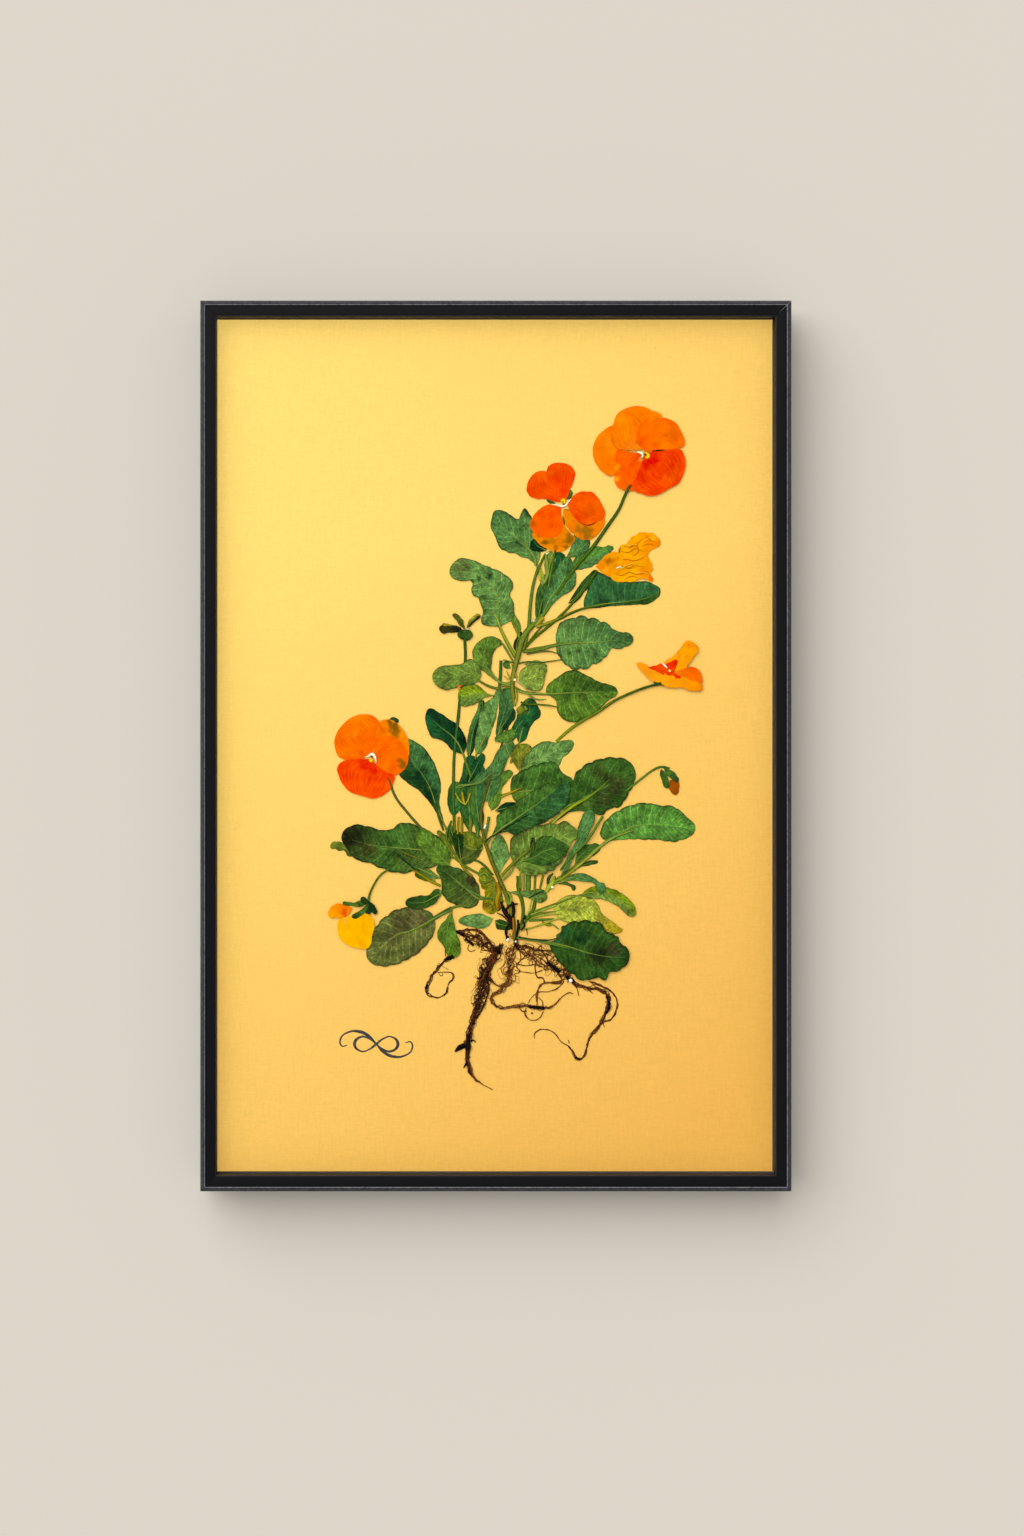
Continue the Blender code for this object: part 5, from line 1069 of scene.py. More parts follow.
        ([(60, 87.2), (64, 86), (68, 87.6), (72, 86.4), (77, 88)], [0.1, 0.4, 0.3, 0.1], 1.4, "#c86804"),
        ([(64, 91), (67.5, 89.6), (71, 91), (75, 90.2)], [0.1, 0.4, 0.3, 0.1], 1.4, "#cc7004"),
        ([(66, 84.2), (69, 85.6), (73, 84.8)], [0.1, 0.4, 0.3, 0.1], 1.4, "#cc6c04"),
        ([(62, 92.8), (66, 94.2), (70, 93.4), (75.5, 95)], [0.1, 0.4, 0.3, 0.1], 1.4, "#c46404"),
        # bright yellow cords: painted highlights on the crumpled ridges
        ([(66, 99.2), (70, 101.6), (73.5, 101)], [0.1, 0.4, 0.3, 0.1], 1.4, "#ffc838"),
        ([(75, 103), (79, 105.6)], [0.1, 0.4, 0.3, 0.1], 1.4, "#ffc638"),
        ([(63, 88.8), (68, 91.6), (73, 92.4)], [0.1, 0.4, 0.3, 0.1], 1.4, "#ffc838"),
        ([(69, 86.2), (74, 87.6), (78.4, 86.4)], [0.1, 0.4, 0.3, 0.1], 1.4, "#ffc430"),
        ([(72, 94), (76.5, 97)], [0.1, 0.4, 0.3, 0.1], 1.4, "#ffc638"),
        ([(61.3, 89.5), (63, 90.2), (64.3, 90)], [0.2, 1, 0.3], 1.2, "#f4ecc8"),
        ([(62.6, 97.2), (63, 98.6), (63.6, 100.4)], [0.8, 0.7, 0.2], 0.9, "#7a6a30"),
    ]},
    "flower_side": {"petals": [
        form(2.6, (84.5, 41), [(94.5, 37.6), (97.4, 40.4), (100.2, 44.4), (103, 48.8)], (102, 50.6),
            [(86.6, 43.2), (90, 45.2), (93.3, 48.8), (97.4, 53)], "#f09c10 #f29c08 #ec8a00",
            blots=[(98, 50.4, 1.5, "#e26c00", 0.7), (93, 46.5, 1.2, "#d88400", 0.5),
            (100, 47, 2.6, "#f49a00", 0.6)]),
        form(2.8, (90, 36.5), [(93, 33.6), (99, 31.4), (103.6, 30.6)], (104.6, 35), [(92, 38), (95, 38.8),
            (98.6, 39.6), (101.6, 39.2)], "#ee8000 #ee6400 #ee6c00", blots=[(99, 36, 3.2, "#ee5c00", 0.8),
            (96, 33.4, 1.6, "#ec8000", 0.7)]),
        form(3, (71.4, 41.6), [(72.2, 40), (75.6, 36), (80, 32.4), (85, 30.2), (90, 29.1), (95, 29.2),
            (99.6, 27.7)], (104.6, 28.4), [(74, 42), (78, 39.8), (83, 38), (88, 35.4), (94, 35), (99, 33),
            (104.2, 31)], "#f09010 #f09c0c #ee8600", wander=0.25, blots=[(90, 33.4, 3, "#f08e04", 0.7),
            (98, 31.4, 2.6, "#f08a00", 0.7)]),
        form(3.1, (77.2, 39.4), [(82, 37.3), (88, 34.4), (91, 34)], (94, 34.6), [(81, 40.4), (84.4, 41.5),
            (88, 38.4), (92, 36)], "#e02800 #e84800 #e02400", blots=[(87.8, 35, 1, "#d01800", 0.8),
            (85.6, 39, 1.6, "#ee6000", 0.7)]),
        form(3.15, (87.6, 37.4), [(90.4, 37.8), (91.6, 40)], (92.2, 43.2), [(85.8, 40.6), (88.4, 42.2)],
            "#ea5a10 #e02e00 #dc2800", blots=[(90.8, 41.4, 1.3, "#d81c00", 0.8)]),
    ], "cords": [
        ([(84.4, 41.6), (85.6, 40.6), (87, 39.2)], [0.3, 1.1, 0.6], 3.3, "#f6ead0"),
        ([(87.8, 37.9), (88.8, 37.6)], [1.3, 1], 3.4, "#f4dc80"),
        ([(80.2, 32.2), (83, 31), (85.6, 30.2)], [0.8, 1, 0.3], 3.3, "#3c4a10"),
        ([(81.4, 31.2), (82.4, 29.9)], [0.8, 0.2], 3.3, "#3c4a10"),
    ]},
    "flower_left": {"petals": [
        form(0.8, (-59, -3), [(-48, -13), (-44.4, -8), (-43.4, 0), (-45.4, 6.4)], (-49.4, 11.2), [(-60, 4),
            (-59.6, 9), (-58, 12.2), (-54, 13.2)], "#ee7a00 #f08000 #f08604",
            blots=[(-51, 9, 3, "#7c5206", 1), (-50, 6, 2.6, "#865608", 0.9),
            (-57.4, 7, 2.6, "#e45c00", 0.7), (-53.4, 12, 1.6, "#6e4c08", 0.9)]),
        form(0.95, (-62.6, -5.4), [(-59.5, 2), (-57.4, 8), (-58.4, 12), (-62, 15), (-66.4, 15.9),
            (-71.6, 14.6)], (-77.6, 9.8), [(-68, -6.6), (-75, -7.2), (-78.6, -6), (-81, -0.5),
            (-80.7, 4.4)], "#f06200 #f26800 #f27600", blots=[(-67, 12, 5, "#f27c00", 0.7),
            (-78, 0, 3, "#f26800", 0.5), (-71, 5, 0.7, "#f0a020", 0.7), (-67, -3.8, 1.6, "#d44c00", 0.6)]),
        form(1.1, (-62, -6), [(-59, -10.6), (-56.6, -14), (-52, -15.4), (-47.6, -13.8), (-44.2, -9.4),
            (-44.2, -4)], (-46.6, 0.6), [(-61.6, -1), (-60, 3.2), (-56.4, 4.8), (-51.4, 4.2)],
            "#ee6400 #f26600 #f06c00", blots=[(-46.6, -9.6, 2.6, "#8e5608", 1),
            (-48.4, -7.4, 1.4, "#90560a", 0.8), (-58, -6, 1.6, "#dc5a00", 0.5),
            (-55, -11, 3, "#f07400", 0.7)]),
        form(1.2, (-62.6, -7), [(-70, -6.6), (-76, -7.6), (-79.4, -10.4), (-79.2, -15), (-76.4, -20.2),
            (-72, -24)], (-67.8, -24.6), [(-59, -10.4), (-54, -14), (-50.9, -15), (-51.4, -19), (-54, -23),
            (-59, -26.2), (-63.6, -26.6)], "#e22c00 #ee4a00 #f25200", edge="#f24c00",
            blots=[(-65, -10.4, 3, "#d81200", 0.9), (-61.6, -12.4, 2.4, "#da1c00", 0.8),
            (-73, -15, 4.4, "#e43a00", 0.7), (-60, -20, 5, "#ea4600", 0.7),
            (-66, -19, 2.6, "#ee5000", 0.7)]),
    ], "cords": [
        ([(-65.4, -6), (-63.4, -5), (-62.2, -4.2), (-60.8, -5.6), (-60, -8.4)], [0.4, 1.3, 1.7, 1.3, 0.3],
            1.34, "#f0e8c4"),
        ([(-63.4, -7), (-62.4, -7.8), (-61.8, -7)], [1.2, 2, 0.8], 1.42, "#eac000"),
        ([(-62.3, -5.4), (-62, -6.2)], [1, 0.7], 1.5, "#5a4414"),
        ([(-61.6, -2), (-61, -3.6)], [0.25, 0.35], 1.2, "#d09040"),
        ([(-54.4, -16), (-53, -18.4), (-52.4, -20.4)], [0.6, 0.8, 0.9], 1.32, "#9a3a08 #6a4010"),
    ], "sepals": [
        form(0.7, (-53.6, 13), [(-51, 11.6)], (-48.6, 12.2), [(-51.6, 14.4)], "#28421a"),
    ]},
    "flower_hanging": {"petals": [
        form(1.8, (-72, -82.4), [(-76.4, -80.2), (-80.6, -80), (-83.6, -82.6)], (-84, -86.4), [(-74, -85),
            (-77.4, -87), (-81, -87)], "#ea6c00 #f28a00 #f4a000", wander=0.4,
            blots=[(-76, -84.6, 2, "#dc3c00", 0.8), (-82, -83, 1.8, "#f49000", 0.7)]),
        form(2, (-70, -84), [(-73, -86), (-78.6, -88), (-79.4, -92), (-78.4, -97), (-75.4, -100.2)],
            (-69, -102.4), [(-66, -84.6), (-62.6, -86.4), (-61, -90), (-62, -96), (-64, -102.2)],
            "#f2a600 #f4ae00 #f6b400", wander=0.3, blots=[(-72, -96, 4, "#f4ae00", 0.7),
            (-64, -91, 2.4, "#f4b000", 0.7), (-66.6, -100.5, 2.6, "#f09400", 0.7),
            (-76, -88.6, 1.4, "#f0a040", 0.7)]),
    ], "sepals": [
        form(2.3, (-63.5, -79), [(-66.5, -82), (-70, -84.4)], (-72.4, -86.6), [(-64.5, -83), (-68.4, -86.8),
            (-70.8, -87.6)], "laurel grass ivy"),
        form(2.35, (-63.6, -79), [(-65, -82.4)], (-65, -85), [(-62, -83.6)], "ivy fir"),
        form(2.4, (-64.5, -78.5), [(-63.4, -81.6), (-61.6, -84.6)], (-60.2, -85.4), [(-61.8, -79.8)],
            "fir #122a0a"),
        form(2.45, (-63, -79.6), [(-65, -77.4), (-67, -76.4)], (-68, -78), [(-66, -80)], "ivy"),
        form(2.38, (-64, -79.6), [(-68, -78.4), (-71.4, -79.4)], (-77, -79.6), [(-68, -81.4), (-73, -81)],
            "ivy meadow laurel"),
    ]},
    "bud_right": {"petals": [
        form(0.5, (88.6, -17.4), [(87.6, -20), (88.8, -23)], (91.4, -25), [(92.2, -17.4), (93.3, -21.4)],
            "#803a04 #9a5006 #7c3804"),
    ], "sepals": [
        form(0.9, (84, -12), [(83.4, -14), (84.8, -18), (86.4, -21.6)], (88.2, -21), [(86.4, -14),
            (88, -18)], "laurel laurel"),
        form(1, (85, -11.2), [(87, -14.6), (90, -17.4)], (92.6, -18.4), [(88, -12), (91.4, -14.4)],
            "grass laurel"),
    ]},
    "calyx_left": {"petals": [], "cords": [
        ([(-15, 59.6), (-13.5, 58.8), (-12.6, 58.8)], [0.4, 1, 0.3], 2.2, "#c8b890"),
    ], "sepals": [
        form(1.4, (-16, 58.2), [(-19, 57.2), (-23, 57.4), (-26, 56.6)], (-28, 60), [(-18, 60),
            (-22.4, 60.4)], "soot peat peat", wander=0.4),
        form(1.3, (-18, 60), [(-20, 60.2)], (-27, 60.6), [(-22, 61.2)], "#a08a1c"),
        form(1.5, (-15.4, 58.6), [(-17.8, 61), (-20.8, 64.6), (-21.6, 66.2)], (-20, 66.8), [(-15.4, 61),
            (-18, 65.4)], "#3c4410 olive soot", wander=0.4),
        form(1.5, (-14.4, 58.8), [(-14, 61), (-11.4, 65), (-8.4, 66.8)], (-7.2, 65.8), [(-11.6, 61.4),
            (-8, 64.2)], "olive straw hay", rightTones="peat soot", wander=0.3),
        form(1.9, (-15, 52.8), [(-17.6, 54), (-18.8, 56.4), (-17.6, 58)], (-15, 58.6), [(-12.6, 53.8),
            (-11.3, 56.4), (-12.4, 58)], "ivy laurel ivy", wander=0.5),
    ]},
}


def petalSkin():
    # a dried petal: thin and silky, streaked from the eye outwards
    material, tree, shader = newMaterial("driedPetal", Roughness=0.7, Specular_IOR_Level=0.0)
    tint = addNode(tree, "ShaderNodeAttribute", attribute_name="tint").outputs["Color"]
    place = addNode(tree, "ShaderNodeTexCoord").outputs["Object"]
    chart = addNode(tree, "ShaderNodeAttribute", attribute_name="bladeChart").outputs["Vector"]
    drawn = addNode(tree, "ShaderNodeMapping", {"Vector": chart, "Scale": (0.7, 11.0, 1.0)})
    streak = cloudy(tree, drawn.outputs["Vector"], 1.6, 5.0, Roughness=0.65)
    cloud = cloudy(tree, place, 160.0, 4.0)
    both = maths(tree, "MULTIPLY_ADD", cloud, 0.7, streak)
    value = remap(tree, both, 0.6, 1.1, 0.78, 1.08)
    hue = remap(tree, both, 0.6, 1.1, 0.491, 0.507)
    shaded = addNode(tree, "ShaderNodeHueSaturation", {"Color": tint, "Value": value, "Hue": hue})
    tree.links.new(shaded.outputs["Color"], shader.inputs["Base Color"])
    bumped(tree, shader, both, 0.5, 0.12)
    return material


petalMaterial = petalSkin()
flowerSeeds = {"petal": 100, "sepal": 200, "cord": 300}
for number, (flowerName, flower) in enumerate(flowers.items()):
    bodies = []
    for k, petal in enumerate(flower["petals"]):
        bodies.append(bladeBody(petal, flowerSeeds["petal"] + number * 10 + k))
    for k, sepal in enumerate(flower.get("sepals", ())):
        bodies.append(dict(bladeBody(sepal, flowerSeeds["sepal"] + number * 10 + k), kind=2))
    for k, (line, widths, layer, tones) in enumerate(flower.get("cords", ())):
        seed = flowerSeeds["cord"] + number * 10 + k
        bodies.append(cordBody(line, widths, [layerFace(layer)], 0.2, tones, seed))
    joinBodies(flowerName.replace("_", "_dried_"), bodies, [petalMaterial, stemSkin, leafSkin],
               [flowerName])
print("flowers ready")


# Stems and stalks grow from lines with Geometry Nodes: one tree, its inputs set for every strand
strands = {
    "stem_upper": {
        "line": [(10, 20), (9, 27), (9, 34), (10.5, 41), (12, 47), (14.5, 55), (20, 62), (26, 68),
            (30, 74)], "width": [1.6, 2.2, 2.2, 2.4, 3, 3, 2.6, 1.6, 0.8],
        "layers": [0.2, 0.6, 2.6, 2.6, 2.6, 2.4, 1.6, 0.6, 0.4], "lower": "hay", "upper": "meadow"},
    "stem_lower": {
        "line": [(8, 14), (2, -4), (-3, -18), (-5.2, -26), (-7, -34), (-6, -44), (-2.5, -56), (2, -67),
            (5.5, -75), (8, -83), (9.6, -92), (10, -99)],
        "width": [1.2, 1.2, 1.2, 1.3, 1.5, 1.8, 2, 2.2, 2.2, 3, 2.4, 1.5],
        "layers": [-0.4, -0.4, 1.1, 1.6, 1.8, 2.4, 2.4, 2.4, 1.6, 0.8, 0.4, 0.2], "lower": "#4a3410",
        "upper": "olive"},
    "stalk_top": {
        "line": [(68, 131), (65.5, 126), (63, 120), (57, 111), (50, 101), (44, 94), (38, 86.5), (31, 76)],
        "width": [1.5, 1.4, 1.5, 1.7, 1.8, 1.8, 1.7, 1.5],
        "layers": [2.4, 1.6, 1.2, 1.2, 1.2, 1.2, 1.1, 0.8], "lower": "laurel", "upper": "bayLeaf"},
    "stalk_side": {
        "line": [(84, 31.6), (75, 29), (66, 25.4), (60, 22.4), (52, 17), (45, 13), (39, 9), (31, 2)],
        "width": [1.2, 1.3, 1.3, 1.4, 1.5, 1.5, 1.5, 1.5], "layers": [3.1, 2.6, 2, 2, 2, 2, 1.4, -0.6],
        "lower": "ivy", "upper": "lime"},
    "stalk_left": {"line": [(-53.5, -17), (-50.5, -25.5), (-45, -33), (-38, -41), (-30, -49), (-22, -57)],
        "width": [1.2, 1.3, 1.3, 1.4, 1.3, 1.2], "layers": [1, 0.4, 0.2, 0.6, 0.9, 0.2], "lower": "moss",
        "upper": "moss"},
    "stalk_calyx": {
        "line": [(-15.3, 54), (-15, 43), (-17, 30), (-18.6, 14), (-20.5, -4), (-21, -20), (-20.5, -44)],
        "width": [1.5, 1.5, 1.5, 1.6, 1.5, 1.5, 1.5], "layers": [1.2, 0.6, 0.6, 0.8, 0.3, 0.8, 0.8],
        "lower": "laurel", "upper": "grass"},
}
strandLook = {"spacing": 0.6, "flatness": 0.55, "wobble": 0.25}


def nodeGroup(name, sockets):
    # an empty tree with named inputs
    tree = bpy.data.node_groups.new(name, "GeometryNodeTree")
    tree.interface.new_socket("Geometry", in_out="INPUT", socket_type="NodeSocketGeometry")
    for label, kind in sockets:
        tree.interface.new_socket(label, in_out="INPUT", socket_type="NodeSocket" + kind)
    tree.interface.new_socket("Geometry", in_out="OUTPUT", socket_type="NodeSocketGeometry")
    return tree, addNode(tree, "NodeGroupInput").outputs, addNode(tree, "NodeGroupOutput").inputs


def storedValue(tree, geometry, name, kind, value):
    return addNode(tree, "GeometryNodeStoreNamedAttribute", {"Geometry": geometry, "Name": name,
        "Value": value}, data_type=kind, domain="POINT").outputs["Geometry"]


def namedValue(tree, name, kind):
    return addNode(tree, "GeometryNodeInputNamedAttribute", {"Name": name},
        data_type=kind).outputs["Attribute"]


def roundedSkin(tree, lines, sides):
    # round sections along lines whose radius is set, keeping where their middles were
    kept = storedValue(tree, lines, "middle", "FLOAT_VECTOR", addNode(tree,
        "GeometryNodeInputPosition").outputs[0])
    spline = addNode(tree, "GeometryNodeSplineParameter").outputs
    kept = storedValue(tree, kept, "share", "FLOAT", spline["Factor"])
    kept = storedValue(tree, kept, "reach", "FLOAT", spline["Length"])
    radius = addNode(tree, "GeometryNodeInputRadius").outputs["Radius"]
    kept = storedValue(tree, kept, "thick", "FLOAT", radius)
    ring = addNode(tree, "GeometryNodeCurvePrimitiveCircle", {"Resolution": sides,
        "Radius": 1.0}).outputs["Curve"]
    return addNode(tree, "GeometryNodeCurveToMesh", {"Curve": kept, "Profile Curve": ring, "Scale": radius,
        "Fill Caps": True}).outputs["Mesh"]


def flattened(tree, mesh, flatness):
    # presses the sections towards their middles' level
    place = addNode(tree, "ShaderNodeSeparateXYZ", {0: addNode(tree,
        "GeometryNodeInputPosition").outputs[0]})
    middle = addNode(tree, "ShaderNodeSeparateXYZ", {0: namedValue(tree, "middle", "FLOAT_VECTOR")})
    away = maths(tree, "SUBTRACT", middle.outputs["Y"], place.outputs["Y"])
    press = maths(tree, "MULTIPLY", away, flatness)
    push = addNode(tree, "ShaderNodeCombineXYZ", {"Y": press}).outputs["Vector"]
    return addNode(tree, "GeometryNodeSetPosition", {"Geometry": mesh, "Offset": push}).outputs["Geometry"]


def finished(tree, mesh, tint, skin, result):
    # the last steps of a tree: its tint, its smooth shading and its material
    mesh = storedValue(tree, mesh, "tint", "FLOAT_COLOR", tint)
    mesh = addNode(tree, "GeometryNodeSetShadeSmooth", {"Geometry": mesh}).outputs["Geometry"]
    mesh = addNode(tree, "GeometryNodeRealizeInstances", {"Geometry": mesh}).outputs["Geometry"]
    mesh = addNode(tree, "GeometryNodeSetMaterial", {"Geometry": mesh, "Material": skin})
    tree.links.new(mesh.outputs["Geometry"], result["Geometry"])
    return tree


def strandTree():
    sockets = (("Spacing", "Float"), ("Flatness", "Float"), ("Wobble", "Float"), ("Seed", "Float"),
               ("Lower Colour", "Color"), ("Upper Colour", "Color"), ("Skin", "Material"))
    tree, given, result = nodeGroup("strandTree", sockets)
    line = addNode(tree, "GeometryNodeResampleCurve", {"Curve": given["Geometry"],
        "Length": given["Spacing"]}, mode="LENGTH").outputs["Curve"]
    wave = addNode(tree, "ShaderNodeTexNoise", {"Scale": 160.0, "W": given["Seed"]},
        noise_dimensions="4D").outputs["Fac"]
    swing = maths(tree, "SUBTRACT", wave, 0.5)
    scale = maths(tree, "MULTIPLY_ADD", swing, given["Wobble"], 1.0)
    radius = maths(tree, "MULTIPLY", addNode(tree, "GeometryNodeInputRadius").outputs["Radius"], scale)
    line = addNode(tree, "GeometryNodeSetCurveRadius", {"Curve": line, "Radius": radius}).outputs["Curve"]
    mesh = flattened(tree, roundedSkin(tree, line, 14), given["Flatness"])
    place = addNode(tree, "GeometryNodeInputPosition").outputs[0]
    off = addNode(tree, "ShaderNodeVectorMath", {0: place, 1: namedValue(tree, "middle", "FLOAT_VECTOR")},
        operation="SUBTRACT").outputs["Vector"]
    flat = addNode(tree, "ShaderNodeVectorMath", {0: off, 1: (1.0, 0.0, 1.0)}, operation="MULTIPLY")
    out = addNode(tree, "ShaderNodeVectorMath", {0: flat.outputs["Vector"]}, operation="LENGTH")
    width = maths(tree, "DIVIDE", out.outputs["Value"], namedValue(tree, "thick", "FLOAT"))
    length = maths(tree, "MULTIPLY", namedValue(tree, "reach", "FLOAT"), 100.0)
    chart = addNode(tree, "ShaderNodeCombineXYZ", {"X": length, "Y": width}).outputs["Vector"]
    mesh = storedValue(tree, mesh, "bladeChart", "FLOAT_VECTOR", chart)
    share = namedValue(tree, "share", "FLOAT")
    tint = addNode(tree, "ShaderNodeMix", {"Factor": share, 6: given["Lower Colour"],
        7: given["Upper Colour"]}, data_type="RGBA").outputs[2]
    return finished(tree, mesh, tint, given["Skin"], result)


def grown(name, tree, lines, values):
    # the mesh that a tree grows from lines of (x, z) with a width and a layer for every point
    curve = bpy.data.curves.new(name, "CURVE")
    curve.dimensions = "3D"
    for line, widths, layers in lines:
        path = smoothLine(line, 8)
        corner = np.arange(len(path)) / 8
        wide = np.interp(corner, np.linspace(0, len(line) - 1, len(widths)), widths)
        level = np.interp(corner, np.linspace(0, len(line) - 1, len(layers)), layers)
        spline = curve.splines.new("POLY")
        spline.points.add(len(path) - 1)
        for point, (x, z), thick, layer in zip(spline.points, path, wide, level):
            point.co = (pictureMiddle.x + x * mm, layerFace(layer), pictureMiddle.z + z * mm, 1.0)
            point.radius = thick / 2 * mm
    holder = bpy.data.objects.new(name, curve)
    bpy.context.scene.collection.objects.link(holder)
    modifier = holder.modifiers.new(name, "NODES")
    modifier.node_group = tree
    for socket in tree.interface.items_tree:
        if socket.in_out == "INPUT" and socket.name in values:
            modifier[socket.identifier] = values[socket.name]
    ready = bpy.context.evaluated_depsgraph_get()
    mesh = bpy.data.meshes.new_from_object(holder.evaluated_get(ready))
    holder.modifiers.remove(modifier)
    bpy.data.objects.remove(holder)
    outwards(mesh)
    return mesh


stemTree = strandTree()
for number, (strandName, strand) in enumerate(strands.items()):
    stemMesh = grown(strandName, stemTree, [(strand["line"], strand["width"], strand["layers"])],
        {"Spacing": strandLook["spacing"] * mm, "Flatness": strandLook["flatness"],
        "Wobble": strandLook["wobble"], "Seed": float(number),
        "Lower Colour": rgba(leafTones.get(strand["lower"], strand["lower"])),
        "Upper Colour": rgba(leafTones.get(strand["upper"], strand["upper"])), "Skin": stemSkin})
    stemMesh.materials.clear()
    seenPiece("dried_" + strandName, stemMesh, [stemSkin], [strandName])

